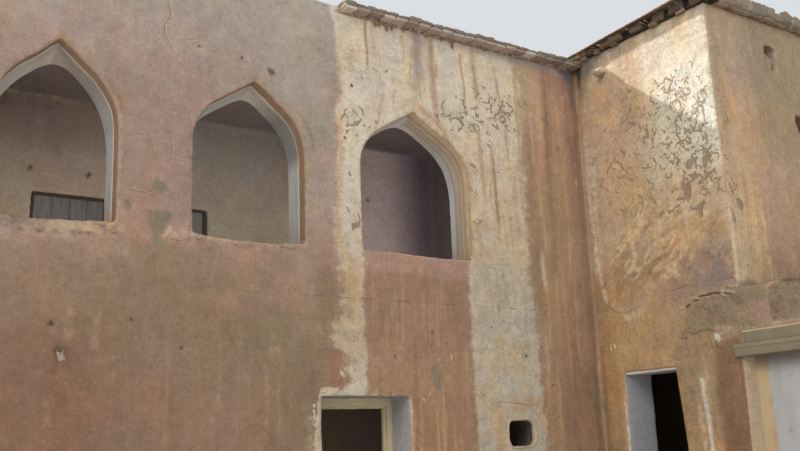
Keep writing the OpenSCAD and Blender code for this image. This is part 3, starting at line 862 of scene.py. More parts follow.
def fray(pts, rough, rg, n=2):
    """The same polyline, crooked between its points."""
    p = np.asarray(pts, float)
    for _ in range(n):
        d = np.diff(p, axis=0)
        m = (p[:-1] + p[1:]) / 2 + np.column_stack([-d[:, 1], d[:, 0]]) * rg.uniform(-rough, rough, (len(d), 1)) + d * rg.uniform(-.18, .18, (len(d), 1))
        q = np.empty((len(p) + len(m), 2))
        q[0::2], q[1::2] = p, m
        p = q
    return p


def worms(w, jx, given, n, seed, wid=(.0070, .0125), step=.014):
    """Peeled flakes: short crooked tracks, the given ones and n more where jx is strong."""
    rg = np.random.default_rng(seed)
    lines = [(fray(p, .42, rg), rg.uniform(*wid)) for p in given]
    j, x = jx
    pr = np.clip(x, 0, 1) ** 2
    pr = pr / pr.sum()
    for s in rg.choice(len(j), n, p=pr):
        p = [np.array([w.a[j[s]], w.b[j[s]]])]
        h = rg.uniform(0, 2 * math.pi)
        k = int(rg.choice([1, 2, 3, 5, 8, 12], p=[.30, .24, .18, .14, .09, .05]))
        for _ in range(k):
            h += rg.normal(0, .55) + (rg.choice([-1.3, 1.3]) if rg.uniform() < .22 else 0)
            p.append(p[-1] + step * rg.uniform(.6, 1.3) * np.array([math.cos(h), math.sin(h)]))
        lines.append((fray(np.array(p), .45, rg, 1), rg.uniform(wid[0], wid[1]) * (.85 if k < 3 else 1.0)))
        if k > 4 and rg.uniform() < .6:   # a side branch
            b = p[k // 2]
            h += rg.choice([-1.5, 1.5])
            q = [b + step * t * np.array([math.cos(h), math.sin(h)]) for t in range(0, 4)]
            lines.append((fray(np.array(q), .5, rg, 1), wid[0]))
    pts, wd = [], []
    for p, ww in lines:
        for a, b in zip(p[:-1], p[1:]):
            m = max(1, int(np.hypot(*(b - a)) / .004))
            t = np.arange(m + 1)[:, None] / m
            pts.append(a + (b - a) * t)
            wd.append(np.full(m + 1, ww) * rg.uniform(.75, 1.35))
    pts, wd = np.vstack(pts), np.concatenate(wd)
    kd = kdtree.KDTree(len(pts))
    for i, p in enumerate(pts):
        kd.insert((p[0], p[1], 0), i)
    kd.balance()
    c = w.near(pts.min(0), pts.max(0), .03)
    v = np.zeros(len(c))
    for t, i in enumerate(c):
        _, k, d = kd.find((w.a[i], w.b[i], 0))
        if d < .05:
            v[t] = 1 - sstep(0, 2 * wd[k], d)
    w.set("flake", (c, v), 1)
    return c, v


front, side, wing = Wall(FRONT, X, Z), Wall(SIDE, Y, Z), Wall(WING, X, Z)
tick("walls ready")

# ------------------------------------------------------------------ base coats everywhere
g1, g2, g3 = fbm(P0, 1.3, 3, .5, seed=11), fbm(P0, .42, 3, .55, seed=12), fbm(P0, (.3, .3, 2.2), 3, .5, seed=13)


def lay(mask, layer, col, a=1.0):
    a = (a if np.ndim(a) else np.full(NV, a)) * mask
    a = np.clip(a, 0, 1)[:, None]
    layer[:] = layer * (1 - a) + PAL[col] * a


allv = np.ones(NV)
for L_ in (TA, TB):
    lay(allv, L_, "rose")
    lay(allv, L_, "dust", sstep(-.1, .6, g1) * .7)
    lay(allv, L_, "umber", sstep(3.6, 2.2, Z) * .75)
    lay(allv, L_, "rust", sstep(.1, .7, g2) * .4)
    lay(allv, L_, "tan", sstep(.25, .8, g3) * .35)
    lay(allv, L_, "earth", sstep(.9, .15, Z + g2 * .25) * .7)   # splash zone at the foot
outer = ~INNER
# unseen faces keep the same coats, with limed patches high up
MIX[:] = 0
MIX[outer & (Y > YB2 - .01)] = .28
MIX += np.where(outer & (Y > YB2 - .01) | on(X, X1) | on(X, X0), sstep(.2, .7, g1) * .35 * sstep(2.6, 4.2, Z), 0)
for c_, a_ in (("butter", .9),):
    lay((on(Y, YB2) | on(X, X1) | on(X, X0)).astype(float), TB, c_, a_)
lay((on(Y, YB2) | on(X, X1) | on(X, X0)).astype(float), TB, "peach", sstep(0, .6, g3) * .8)
# rooms; upstairs the walls are painted darker towards the ceiling and downstairs darker all over: painted shade
up = INNER & (Z > ZU - .01)
lay(INNER.astype(float), TA, "plaster"); lay(INNER.astype(float), TB, "plaster")
MIX[INNER] = .5
for L_ in (TA, TB):
    lay(INNER.astype(float), L_, "dun", sstep(-.1, .5, g1) * .7)
    lay(INNER.astype(float), L_, "clay", sstep(-.1, .6, g2) * .5)
    lay(up.astype(float), L_, "smoke", sstep(4.35, 5.5, Z + g2 * .25) * .55)
    lay((INNER & (Z < ZU0 + .01)).astype(float), L_, "smoke", .45)
    lay((INNER & (on(Z, ZG) | on(Z, ZU))).astype(float), L_, "earth", .9)
    lay((on(Z, ZT)).astype(float), L_, "earth", .85)
SMO[INNER] = .5
RGH[INNER & (on(Z, ZG) | on(Z, ZU))] = .35
RGH[on(Z, ZT)] = .6

# ------------------------------------------------------------------ main front
f = front
fx, fz = f.a, f.b
ALLF = (np.arange(len(f.i)), np.ones(len(f.i)))
full = lambda v: (np.arange(len(f.i)), np.clip(v, 0, 1))
f.tint(TA, "rose", ALLF)
f.tint(TA, "dust", full(sstep(4.55, 5.35, fz + f.b1 * .3)), .95)
f.tint(TA, "ash", full(sstep(-2.55, -2.1, fx) * sstep(3.5, 3.8, fz)), .7)
f.tint(TA, "khaki", f.mottled(ALLF, -.1, .5, .42, 87), .30)
f.tint(TA, "umber", full(sstep(3.42, 2.95, fz + f.b1 * .14)), .88)
f.tint(TA, "khaki", f.mottled(f.region([(-3.75, 2.35), (-3.3, 3.3), (-2.6, 3.2), (-2.1, 3.0), (-1.75, 2.9), (-1.8, 2.3), (-2.6, 2.3), (-3.2, 2.5)], .35, .02, .1), -.5, .3, .45), .8)
f.tint(TA, "brick", f.mottled(f.region([(-5.3, 0), (-5.3, 2.6), (-4.0, 2.5), (-3.0, 2.1), (-1.7, 1.9), (-1.7, 0)], .35, .02, .15), -.7, .3, .6), .65)
f.tint(TA, "blush", f.mottled(f.region([(-3.5, 3.35), (-3.55, 4.5), (-2.95, 4.6), (-2.93, 3.3)], .1, .02, .08), -.6, .3, .3), .8)
f.tint(TA, "blush", f.mottled(f.region([(-2.7, 2.75), (-2.7, 3.35), (-1.75, 3.36), (-1.85, 2.85)], .12, .02, .08), -.5, .35, .4), .75)
f.tint(TA, "blush", f.mottled(f.region([(-1.75, 3.3), (-1.75, 4.3), (-1.52, 4.3), (-1.52, 3.2)], .08, .02, .04), -.8, .3, .3), .7)
f.tint(TA, "ash", f.region([(-1.95, 2.6), (-1.98, 3.36), (-1.76, 3.36), (-1.72, 2.6)], .07, .02, .05), .55)
f.tint(TA, "khaki", f.region([(-2.35, 1.3), (-2.3, 2.9), (-1.75, 2.9), (-1.78, 1.3)], .2, .02, .08), .45)
f.tint(TA, "blush", f.mottled(f.region([(-4.9, 4.6), (-4.9, 5.5), (-2.9, 5.2), (-2.6, 4.4), (-3.4, 4.4)], .2, .02, .15), -.2, .5, .5, 8), .55)
for (x_, z_), w_, h_, a_ in (((-3.85, 2.62), .05, .17, .8), ((-3.65, 2.55), .05, .14, .7), ((-2.35, 2.95), .10, .06, .7), ((-2.55, 2.86), .12, .04, .6), ((-2.15, 2.47), .10, .03, .8),
                            ((-3.32, 5.50), .05, .13, .8), ((-4.12, 5.36), .06, .12, .6), ((-3.5, 3.2), .16, .05, .5), ((-4.2, 3.22), .10, .03, .6), ((-4.45, 3.1), .05, .02, .7),
                            ((-3.05, 5.02), .08, .12, .5), ((-2.75, 5.0), .22, .03, .6), ((-3.0, 4.62), .05, .2, .4), ((-2.65, 2.2), .02, .3, .5), ((-2.25, 2.0), .03, .35, .7),
                            ((-2.13, 2.0), .02, .30, .7), ((-2.72, 1.8), .03, .2, .5), ((-3.5, 2.3), .02, .16, .5), ((-4.5, 1.95), .1, .08, .5), ((-3.98, 1.95), .04, .1, .55)):
    f.tint(TA, "fawn", f.mottled(f.region([(x_ - w_ * .7, z_ - h_ * .7), (x_ - w_ * .3, z_ + h_), (x_ + w_ * .3, z_ + h_), (x_ + w_ * .7, z_ - h_ * .8)], min(w_, h_) * .55, .02, .03), -.35, .2, .05, 15), a_ * .9)
    f.tint(TA, "sand", f.mottled(f.region([(x_ - w_ * .35, z_ - h_ * .5), (x_ - w_ * .2, z_ + h_ * .8), (x_ + w_ * .2, z_ + h_ * .8), (x_ + w_ * .35, z_ - h_ * .6)], min(w_, h_) * .4, .02, .02), -.1, .3, .03, 16), a_ * .7)
f.tint(TA, "ochre", f.streaked(f.region([(-3.0, 1.3), (-3.0, 2.5), (-1.75, 2.6), (-1.75, 1.3)], .2), 1, .15, .6), .55)
f.tint(TA, "tan", f.mottled(f.region([(-5.3, 3.3), (-5.3, 5.8), (-1.5, 5.8), (-1.6, 3.3)], .2), .2, .6, .12, 17), .35)
f.tint(TA, "umber", f.mottled(f.region([(-5.3, 3.3), (-5.3, 5.8), (-1.5, 5.8), (-1.6, 3.3)], .2), .25, .7, .5, 19), .3)

# the limed part: boundary on its left, run-off area on its right
zb = np.array([1.3, 2.05, 2.2, 2.45, 2.5, 2.75, 2.8, 3.0, 3.25, 3.5, 3.75, 4.0, 4.25, 4.5, 4.75, 4.9, 5.0, 5.1, 5.25, 5.5, 5.70])
xb = np.array([-1.76, -1.75, -1.43, -1.43, -1.60, -1.56, -1.47, -1.48, -1.50, -1.56, -1.545, -1.515, -1.50, -1.50, -1.525, -1.46, -1.465, -1.47, -1.50, -1.50, -1.55])
bx = np.interp(fz, zb, xb)
sw_ = .07 + .16 * sstep(3.7, 3.0, fz)
m_ = sstep(-1, 1, (fx - bx + f.n1 * .012 + f.b1 * .02) / sw_)
MIX[f.i] = m_
f.tint(TB, "cream", ALLF)
f.tint(TB, "ivory", full(sstep(4.3, 5.1, fz + f.b1 * .25) * sstep(.9, .2, fx)), .85)
f.tint(TB, "ivory", full(sstep(-1.15, -1.35, fx) * sstep(3.0, 3.5, fz)), .5)
f.tint(TB, "buff", full(sstep(4.4, 3.6, fz + f.b2 * .3) * sstep(-.1, .1, fx)), .6)
f.tint(TB, "peach", f.mottled(f.region([(-.05, 3.35), (-.05, 4.6), (.75, 4.6), (.72, 3.35)], .12), -.2, .5, .22, 21), .6)
f.tint(TB, "bone", full(sstep(3.42, 3.3, fz) * sstep(-.15, 0, fx)), .7)
f.tint(TB, "sand", f.mottled(f.region([(-.05, 1.2), (-.05, 2.78), (.78, 2.7), (.8, 1.2)], .08), -.1, .35, .18, 22), .7)
f.tint(TB, "bone", f.mottled(f.region([(-.05, 0), (-.05, 3.3), (.78, 3.3), (.8, 0)], .08), .0, .4, .10, 24), .6)
f.tint(TB, "sand", f.region([(-.02, 2.3), (-.02, 2.66), (.72, 2.62), (.72, 2.3)], .08), .35)
f.tint(TB, "stone", f.streaked(f.region([(-.05, 2.7), (-.05, 3.36), (.70, 3.36), (.72, 2.7)], .05), 1, .0, .5), .45)
f.tint(TB, "straw", f.streaked(f.region([(-.05, 2.7), (-.05, 3.36), (.70, 3.36), (.72, 2.7)], .05), 1, .1, .5, flip=True), .5)
# the cream pier beside the right window, down to the doorway
f.tint(TB, "peach", f.mottled(f.region([(-1.62, 2.9), (-1.62, 3.55), (-1.27, 3.5), (-1.27, 2.95)], .06), -.3, .3, .14, 23), .7)
f.tint(TB, "ochre", f.region([(-1.5, 3.05), (-1.48, 3.22), (-1.29, 3.16), (-1.35, 3.02)], .04, .02), .45)
f.tint(TB, "peach", f.stroke([(-1.50, 5.25), (-1.47, 5.0), (-1.48, 4.8)], .03, 1), .8)
f.tint(TB, "ochre", f.stroke([(-1.49, 4.6), (-1.47, 4.3), (-1.50, 4.0), (-1.53, 3.7), (-1.52, 3.45)], .035, 1), .55)
f.tint(TB, "peach", f.mottled(f.region([(-1.5, 5.15), (-1.5, 5.5), (-1.0, 5.5), (-1.0, 5.1)], .1), -.1, .5, .1, 25), .35)
for z_ in (5.33, 5.22, 5.12):  # faint float lines
    f.tint(TB, "sand", f.stroke([(-1.48, z_), (-1.0, z_ + .02), (-.62, z_ - .01)], .012, 1, .01, .02), .5)
# brown panel under the right window
pan = [(-1.265, 2.09), (-1.27, 2.55), (-1.275, 3.0), (-1.265, 3.30), (-1.262, 3.42), (.0, 3.42), (-.045, 3.25), (-.06, 2.9), (-.055, 2.5), (-.06, 1.3), (-.05, 0), (-.82, 0), (-.82, 2.09)]
f.set("mix", f.region(pan, .085, .012, .02), 0, "to")
f.tint(TA, "copper", f.region(pan, .10))
f.tint(TA, "rust", f.region(pan, .10), .5)
f.tint(TA, "brick", f.mottled(f.region([(-1.25, 2.6), (-1.25, 3.35), (-.08, 3.35), (-.08, 2.6)], .1), -.5, .3, .3, 31), .6)
f.tint(TA, "blush", f.region([(-1.28, 3.21), (-1.28, 3.44), (.02, 3.44), (.0, 3.20)], .035, .02, .02), .8)
f.tint(TA, "ochre", f.streaked(f.region(pan, .03), 1, .12, .5), .7)
f.tint(TA, "tan", f.streaked(f.region(pan, .03), 1, .35, .7), .5)
f.tint(TA, "ochre", f.region([(-1.25, 2.1), (-1.25, 2.4), (-.1, 2.45), (-.05, 2.1)], .15), .35)
f.tint(TA, "rust", f.region([(-1.64, 2.16), (-1.62, 2.48), (-1.42, 2.49), (-1.40, 2.30), (-1.47, 2.12)], .02), .9)
for x_, a_, z0_, z1_ in ((-.78, .8, 1.3, 2.05), (-.70, .6, 1.3, 2.2), (-.52, .7, 1.3, 2.1), (-.45, .8, 1.3, 2.15), (-.33, .6, 1.3, 2.0), (-.86, .4, 2.5, 3.1), (-.62, .5, 2.6, 3.15), (-.47, .55, 2.55, 3.2), (-1.05, .35, 2.4, 2.9), (-.13, .5, 2.3, 2.6)):
    f.tint(TA, "amber", f.stroke([(x_, z0_), (x_ + .01, z1_)], .012, .8, .006, .02, fade=(0, .3)), a_)
# run-off area at the right
ro = [(.735, 5.78), (.76, 5.2), (.74, 4.6), (.755, 4.0), (.72, 3.6), (.74, 3.2), (.78, 2.7), (.80, 2.1), (.82, 1.3), (.84, 0), (1.70, 0), (1.70, 5.78)]
f.set("mix", f.region(ro, .15, .012, .03), 0, "to")
f.tint(TA, "copper", f.region(ro, .16))
f.tint(TA, "straw", full(sstep(.62, .80, fx) * sstep(1.30, 1.02, fx) * sstep(4.2, 4.9, fz)), .75)
f.tint(TA, "peach", full(sstep(.58, .80, fx) * sstep(1.25, .95, fx) * sstep(4.5, 5.2, fz)), .6)
f.tint(TA, "ochre", f.streaked(f.region(ro, .04), 1, -.1, .45, True), .6)
f.tint(TA, "rust", full(sstep(.70, .84, fx) * sstep(1.02, .88, fx) * sstep(5.2, 4.8, fz) * sstep(3.0, 3.3, fz)), .55)
f.tint(TA, "drip", f.stroke([(1.12, 5.62), (1.13, 5.0), (1.12, 4.2), (1.10, 3.4)], .045, .9, .01, .03), .55)
f.tint(TA, "brick", f.stroke([(1.42, 5.6), (1.47, 5.0), (1.50, 4.2), (1.50, 3.2)], .09, .9, .01, .05, w2=.12), .6)
f.tint(TA, "sienna", f.stroke([(1.54, 5.3), (1.58, 4.4), (1.58, 3.2), (1.55, 2.0), (1.55, 0)], .06, .9, .01, .03, w2=.10), .75)
f.tint(TA, "brick", f.mottled(f.region([(1.02, 0), (1.08, 2.6), (1.45, 3.1), (1.70, 3.0), (1.70, 0)], .20, .02, .05), -.8, .2, .5, 33), .75)
f.tint(TA, "plum", f.mottled(f.region([(1.10, 0), (1.15, 2.2), (1.45, 2.5), (1.70, 2.4), (1.70, 0)], .20, .02, .05), -.6, .4, .4, 34), .45)
for x0_, z0_, x1_, z1_, w_, c_, a_ in ((.95, 4.62, .96, 3.9, .02, "amber", .55), (1.01, 5.4, 1.0, 4.3, .022, "amber", .6), (1.27, 5.45, 1.31, 4.6, .03, "amber", .7), (1.33, 4.6, 1.33, 3.3, .02, "amber", .6),
                                      (1.2, 4.9, 1.2, 4.0, .02, "ochre", .5), (.93, 3.62, .95, 3.12, .028, "ivory", .75), (.96, 3.1, .95, 2.5, .02, "stone", .4), (1.18, 3.6, 1.2, 2.8, .02, "amber", .5),
                                      (1.08, 3.3, 1.1, 2.4, .025, "ochre", .5), (1.35, 3.4, 1.36, 2.2, .016, "peach", .5), (.88, 2.9, .89, 1.9, .022, "sand", .6), (1.02, 2.6, 1.03, 1.5, .016, "amber", .55), (.98, 4.3, .99, 3.5, .014, "sand", .6), (1.22, 2.9, 1.22, 2.0, .012, "amber", .45), (.90, 5.2, .90, 4.4, .016, "sand", .55), (1.14, 5.0, 1.15, 3.9, .012, "peach", .5), (1.59, 3.1, 1.60, 1.5, .008, "amber", .9)):
    f.tint(TA, c_, f.stroke([(x0_, z0_), (x1_, z1_)], w_, .9, .008, .03, fade=(.25, .25)), a_)
for x_, z_, h_ in ((1.40, 5.35, .10), (1.46, 5.2, .06), (1.52, 4.6, .06), (1.50, 4.4, .04), (1.45, 5.42, .04), (1.44, 5.05, .03)):
    f.tint(TA, "ivory", f.mottled(f.stroke([(x_, z_), (x_ + .01, z_ - h_)], .012, .9, .01, .01), -.2, .3, .03, 41), .7)
# run-off streaks over the limed part
for pts, w_, c_, a_ in (
        ([(-1.16, 5.70), (-1.165, 5.45), (-1.15, 5.22), (-1.14, 5.10)], .012, "drip", .85), ([(-1.10, 5.68), (-1.09, 5.5)], .012, "peach", .7), ([(-1.075, 5.55), (-1.08, 5.38)], .008, "peach", .5),
        ([(-.735, 5.62), (-.72, 5.45), (-.73, 5.28)], .010, "peach", .8), ([(-.76, 5.62), (-.77, 5.5)], .008, "peach", .6),
        ([(-.865, 5.0), (-.87, 4.82)], .012, "peach", .7),
        ([(-.55, 5.72), (-.56, 5.5), (-.57, 5.3), (-.59, 5.1), (-.62, 4.88)], .050, "stone", .9),
        ([(-.61, 5.5), (-.65, 5.3), (-.66, 5.0)], .012, "peach", .9), ([(-.57, 5.28), (-.55, 5.18), (-.54, 5.0), (-.50, 4.85)], .014, "peach", .8), ([(-.50, 5.30), (-.48, 5.1), (-.47, 4.95)], .008, "peach", .6),
        ([(-.385, 5.72), (-.385, 5.4), (-.375, 5.1), (-.36, 4.85), (-.30, 4.65)], .034, "rust", .62), ([(-.33, 5.4), (-.335, 5.2)], .008, "drip", .6),
        ([(-.27, 5.65), (-.27, 5.5)], .008, "stone", .7),
        ([(-.02, 5.6), (-.01, 5.42), (.01, 5.2), (.0, 4.95)], .012, "drip", .55),
        ([(.13, 5.72), (.14, 5.5), (.15, 5.25), (.17, 5.0)], .030, "peach", .95), ([(.145, 5.5), (.17, 5.2)], .010, "drip", .5),
        ([(.43, 5.55), (.45, 5.3), (.50, 5.05), (.53, 4.95)], .014, "peach", .8), ([(.455, 5.40), (.475, 5.2)], .008, "drip", .5),
        ([(.70, 5.6), (.71, 5.2), (.72, 4.7), (.70, 4.3)], .028, "ochre", .65),
        ([(.17, 4.8), (.18, 4.5), (.20, 4.2), (.21, 3.9)], .026, "ochre", .65),
        ([(.33, 4.62), (.34, 4.3), (.36, 3.9), (.35, 3.5)], .024, "ochre", .75), ([(.345, 4.5), (.36, 4.2), (.38, 3.7)], .008, "drip", .7),
        ([(.30, 4.25), (.27, 4.05), (.31, 3.9)], .008, "drip", .5),
        ([(.53, 4.85), (.55, 4.6), (.56, 4.4)], .016, "peach", .8), ([(.70, 4.4), (.71, 3.9)], .02, "peach", .6), ([(.44, 3.95), (.45, 3.5)], .016, "ochre", .5), ([(.52, 3.9), (.53, 3.4)], .012, "ochre", .45),
        ([(.60, 4.3), (.62, 3.6)], .02, "peach", .5), ([(.12, 3.6), (.13, 3.4)], .015, "ochre", .4),
        ([(-.98, 4.98), (-1.03, 4.75), (-1.10, 4.5), (-1.15, 4.3)], .02, "peach", .8), ([(-1.10, 4.45), (-1.15, 4.25)], .015, "ochre", .5),
        ([(.29, 3.34), (.31, 3.1), (.30, 2.8)], .010, "straw", .8), ([(.38, 3.34), (.40, 3.0)], .016, "straw", .6), ([(.20, 3.3), (.21, 2.9)], .010, "straw", .5), ([(.50, 3.2), (.50, 2.9)], .010, "straw", .5)):
    f.tint(TB, c_, f.stroke(pts, w_, .8, .005, .012, fade=(.05, .3)), a_)
f.tint(TB, "peach", f.stroke([(-.62, 4.92), (-.45, 4.83), (-.28, 4.68), (-.15, 4.5), (-.06, 4.3)], .035, .9, .01, .02), .75)
f.tint(TB, "drip", f.stroke([(-.56, 4.90), (-.40, 4.79), (-.26, 4.64), (-.14, 4.48)], .008, .9, .004, .01), .6)
f.tint(TB, "peach", f.stroke([(-.70, 4.93), (-.85, 4.80)], .03, .9, .01, .02), .5)
# painted shade under the cornice: a grey band below it and a darker line along its foot
f.tint(TB, "stone", f.stroke([(-.30, 5.68), (.2, 5.67), (.75, 5.66)], .035, .9, .01, .01, w2=.06), .6)
f.both("slate", f.stroke([(.25, 5.69), (.7, 5.68), (1.2, 5.66), (1.55, 5.63)], .03, .9, .01, .012, w2=.06), .75)
# soot and painted shade in the inner corner under the eaves
f.both("soot", f.region([(1.30, 5.74), (1.42, 5.62), (1.50, 5.46), (1.55, 5.26), (1.64, 5.20), (1.64, 5.8)], .09, .03), .75)
f.both("black", f.region([(1.555, 5.74), (1.56, 5.58), (1.58, 5.48), (1.64, 5.46), (1.64, 5.8)], .025, .02), .9)
f.both("drip", f.stroke([(-1.47, 5.70), (-1.2, 5.695), (-.9, 5.69), (-.5, 5.69), (0, 5.695), (.8, 5.69)], .012, .9, .012, .01), .8)
for x_, z_, r_ in ((-1.33, 5.685, .012), (-1.05, 5.655, .028), (-1.0, 5.66, .018), (-.92, 5.64, .022), (-.86, 5.65, .02), (-.72, 5.66, .015), (-.45, 5.66, .02), (-.25, 5.66, .012), (-.12, 5.62, .022), (-.13, 5.64, .02), (.3, 5.67, .015)):
    f.both("shade", f.stroke([(x_, z_ + .03), (x_, z_)], r_, .5, .01), .9)
    f.press(f.stroke([(x_, z_ + .03), (x_, z_)], r_, .5, .01), .012)
for pts, w_, c_, a_ in (([(-4.55, 3.385), (-4.25, 3.375), (-4.05, 3.37)], .050, "drab", .8), ([(-4.10, 3.375), (-3.8, 3.36), (-3.50, 3.375)], .050, "sand", .85), ([(-4.45, 3.30), (-4.3, 3.29)], .05, "stone", .6),
                        ([(-4.20, 3.30), (-3.95, 3.285), (-3.75, 3.30)], .035, "tan", .7), ([(-3.62, 3.36), (-3.50, 3.39)], .035, "sand", .8), ([(-2.92, 3.395), (-2.6, 3.385), (-2.3, 3.38), (-1.85, 3.385)], .022, "tan", .9),
                        ([(-2.75, 3.355), (-2.5, 3.345)], .018, "sand", .7), ([(-2.2, 3.34), (-1.95, 3.35)], .018, "tan", .6), ([(-2.05, 3.40), (-1.85, 3.41)], .03, "clay", .6)):
    f.tint(TA, c_, f.mottled(f.stroke(pts, w_, .8, .022, .02), -.35, .12, .085, 48), a_)
for pts, w_ in (([(-4.5, 3.325), (-4.2, 3.30), (-3.9, 3.31), (-3.5, 3.335)], .010), ([(-2.9, 3.355), (-2.5, 3.345), (-1.9, 3.35)], .007), ([(-4.3, 3.40), (-4.1, 3.385)], .010), ([(-3.78, 3.39), (-3.6, 3.385)], .009)):
    f.tint(TA, "shade", f.mottled(f.stroke(pts, w_, .8, .022, .02), -.1, .25, .07, 49), .75)
wash = lambda jx, w, layer, rgb: layer.__setitem__(w.i[jx[0]], layer[w.i[jx[0]]] * (1 - jx[1][:, None] * (1 - np.array(rgb))))
mudm = 1 - sstep(-1.62, -1.48, fx)
wash(full(mudm * sstep(4.5, 4.9, fz) * sstep(-2.0, -2.5, fx)), f, TA, (.950, .968, .980))
wash(full(mudm * sstep(4.5, 4.9, fz) * sstep(-2.5, -2.0, fx)), f, TA, (1.0, 1.03, 1.07))
wash(full(mudm * sstep(4.9, 4.5, fz) * sstep(3.3, 3.6, fz) * sstep(-2.2, -2.9, fx)), f, TA, (.905, .935, .940))
wash(full(mudm * sstep(4.9, 4.5, fz) * sstep(3.3, 3.6, fz) * sstep(-2.9, -2.2, fx)), f, TA, (.975, 1.02, 1.02))
wash(full(mudm * sstep(3.6, 3.3, fz)), f, TA, (.955, .950, .935))
wash(full(mudm * sstep(2.9, 2.4, fz) * sstep(-3.0, -3.9, fx)), f, TA, (.93, .90, .88))
wash(f.region(pan, .05), f, TA, (.985, 1.0, 1.035))
wash(full(sstep(.62, .82, fx) * sstep(2.2, 3.6, fz)), f, TA, (.985, 1.03, 1.06))
wash(full(sstep(.62, .82, fx) * sstep(3.6, 2.2, fz)), f, TA, (1.0, 1.03, 1.03))
wash(ALLF, f, TB, (1.0, 1.02, 1.05))
f.tint(TB, "straw", f.region([(-1.62, 2.45), (-1.62, 3.02), (-1.33, 3.10), (-1.27, 2.9), (-1.27, 2.4)], .10, .02, .03), .55)
wash(f.region([(-.62, 5.65), (-.42, 5.65), (-.44, 5.25), (-.58, 5.2)], .05), f, TB, (.93, .92, .93))
wash(f.region([(-1.52, 3.05), (-1.38, 3.05), (-1.38, 2.75), (-1.55, 2.75)], .05), f, TB, (.93, .93, .96))
for L_ in (TA, TB):
    wash(full(sstep(.80, 1.0, fx) * sstep(4.2, 4.6, fz)), f, L_, (1.025, .975, 1.01))
    # darker near the inner corner under the eaves: soot and painted shade
    wash(full(sstep(1.48, 1.56, fx) * sstep(5.6, 5.2, fz)), f, L_, (.90, .89, .89))
# flakes: short worms
FL = [[(-.28, 4.96), (-.26, 4.90), (-.30, 4.86), (-.24, 4.85)], [(-.20, 4.87), (-.12, 4.86), (-.05, 4.84), (-.02, 4.79)], [(-.06, 4.93), (-.03, 4.88), (-.07, 4.86)], [(-.05, 5.07), (.0, 5.03), (.01, 4.97)],
      [(.05, 4.84), (.10, 4.80), (.14, 4.75)], [(.10, 5.00), (.16, 5.03), (.18, 5.00)], [(.14, 4.88), (.22, 4.85), (.25, 4.88)], [(.26, 5.27), (.29, 5.23)], [(.33, 5.20), (.35, 5.16), (.33, 5.12)],
      [(.40, 5.10), (.37, 5.05), (.36, 5.01)], [(.29, 5.02), (.33, 5.04), (.36, 5.03)], [(.40, 4.94), (.44, 4.98), (.47, 5.02), (.45, 5.10)], [(.48, 5.0), (.53, 4.97), (.55, 4.93), (.51, 4.90)],
      [(.60, 5.0), (.63, 5.05), (.66, 5.08)], [(.28, 4.93), (.33, 4.91), (.38, 4.93)], [(.56, 4.86), (.60, 4.83)], [(.66, 4.87), (.68, 4.83)], [(.86, 5.20), (.89, 5.16)], [(.80, 5.16), (.84, 5.18)],
      [(1.06, 5.05), (1.13, 5.03), (1.19, 4.99)], [(1.20, 4.99), (1.22, 4.94)], [(.27, 4.66), (.31, 4.62), (.33, 4.60)], [(.08, 4.40), (.11, 4.36), (.10, 4.31)], [(.03, 4.41), (.10, 4.38)],
      [(.33, 4.05), (.36, 4.02), (.34, 3.98)], [(.60, 4.36), (.63, 4.33), (.61, 4.29)], [(.55, 4.42), (.58, 4.39)], [(-.01, 4.14), (.05, 4.11)], [(.08, 4.10), (.11, 4.08)], [(1.25, 4.75), (1.29, 4.72), (1.33, 4.76)],
      [(-1.39, 4.73), (-1.38, 4.66), (-1.40, 4.64)], [(-1.33, 4.74), (-1.29, 4.72), (-1.27, 4.68)], [(-1.40, 4.56), (-1.34, 4.58), (-1.28, 4.62), (-1.24, 4.66)], [(-1.37, 4.53), (-1.41, 4.48)],
      [(-1.10, 4.66), (-1.07, 4.64), (-1.05, 4.68)], [(-1.13, 4.60), (-1.15, 4.57)], [(-1.01, 4.68), (-.99, 4.66)], [(-1.10, 5.20), (-1.08, 5.17)], [(-1.22, 5.11), (-1.20, 5.07)], [(-.95, 5.19), (-.92, 5.21)],
      [(-1.30, 3.74), (-1.28, 3.66)], [(-1.42, 3.78), (-1.40, 3.74)], [(-1.38, 4.12), (-1.36, 4.08)], [(-1.22, 4.24), (-1.20, 4.20)],
      [(.10, 3.83), (.13, 3.80), (.11, 3.77)], [(.05, 3.79), (.08, 3.76)], [(.16, 3.85), (.14, 3.81)]]
for w_ in FL:
    f.set("net", f.stroke(w_, .06, 1, .02, 0), .55)
for poly in ([(-.14, 4.88), (-.08, 4.875), (-.02, 4.83), (-.03, 4.76), (-.07, 4.82)], [(.06, 4.85), (.13, 4.82), (.17, 4.74), (.12, 4.76)], [(-1.33, 4.60), (-1.28, 4.64), (-1.22, 4.66), (-1.27, 4.58), (-1.36, 4.56)],
             [(.29, 4.66), (.33, 4.64), (.34, 4.60), (.30, 4.61)], [(-1.38, 3.64), (-1.34, 3.65), (-1.28, 3.69), (-1.27, 3.60), (-1.34, 3.58), (-1.37, 3.52)], [(.07, 4.41), (.12, 4.40), (.11, 4.32)]):
    f.set("flake", f.region(poly, .020, .012), 1)
flz = [(-.35, 4.72), (-.2, 5.1), (.2, 5.3), (.6, 5.25), (.8, 5.15), (.7, 4.7), (.3, 4.6), (-.1, 4.65)]
j_, x_ = f.region(flz, .12)
f.set("net", (j_, x_ * sstep(-.1, .5, fbm(f.q[j_], .22, 3, .6, seed=81))), .7)
dens = np.zeros(len(f.i))
for (cx_, cz_), rx_, rz_, a_ in (((.05, 4.90), .42, .18, 1), ((.45, 5.05), .28, .20, 1), ((.30, 4.55), .35, .35, .25), ((-1.27, 4.62), .20, .16, .9), ((1.15, 5.0), .2, .12, .35), ((.30, 3.95), .4, .4, .15), ((-1.35, 4.0), .12, .8, .12), ((-1.1, 5.15), .4, .25, .10)):
    dens = np.maximum(dens, a_ * np.exp(-((f.a - cx_) / rx_) ** 2 - ((f.b - cz_) / rz_) ** 2))
worms(f, (np.arange(len(f.i)), dens), FL, 80, 32, (.0075, .0125))
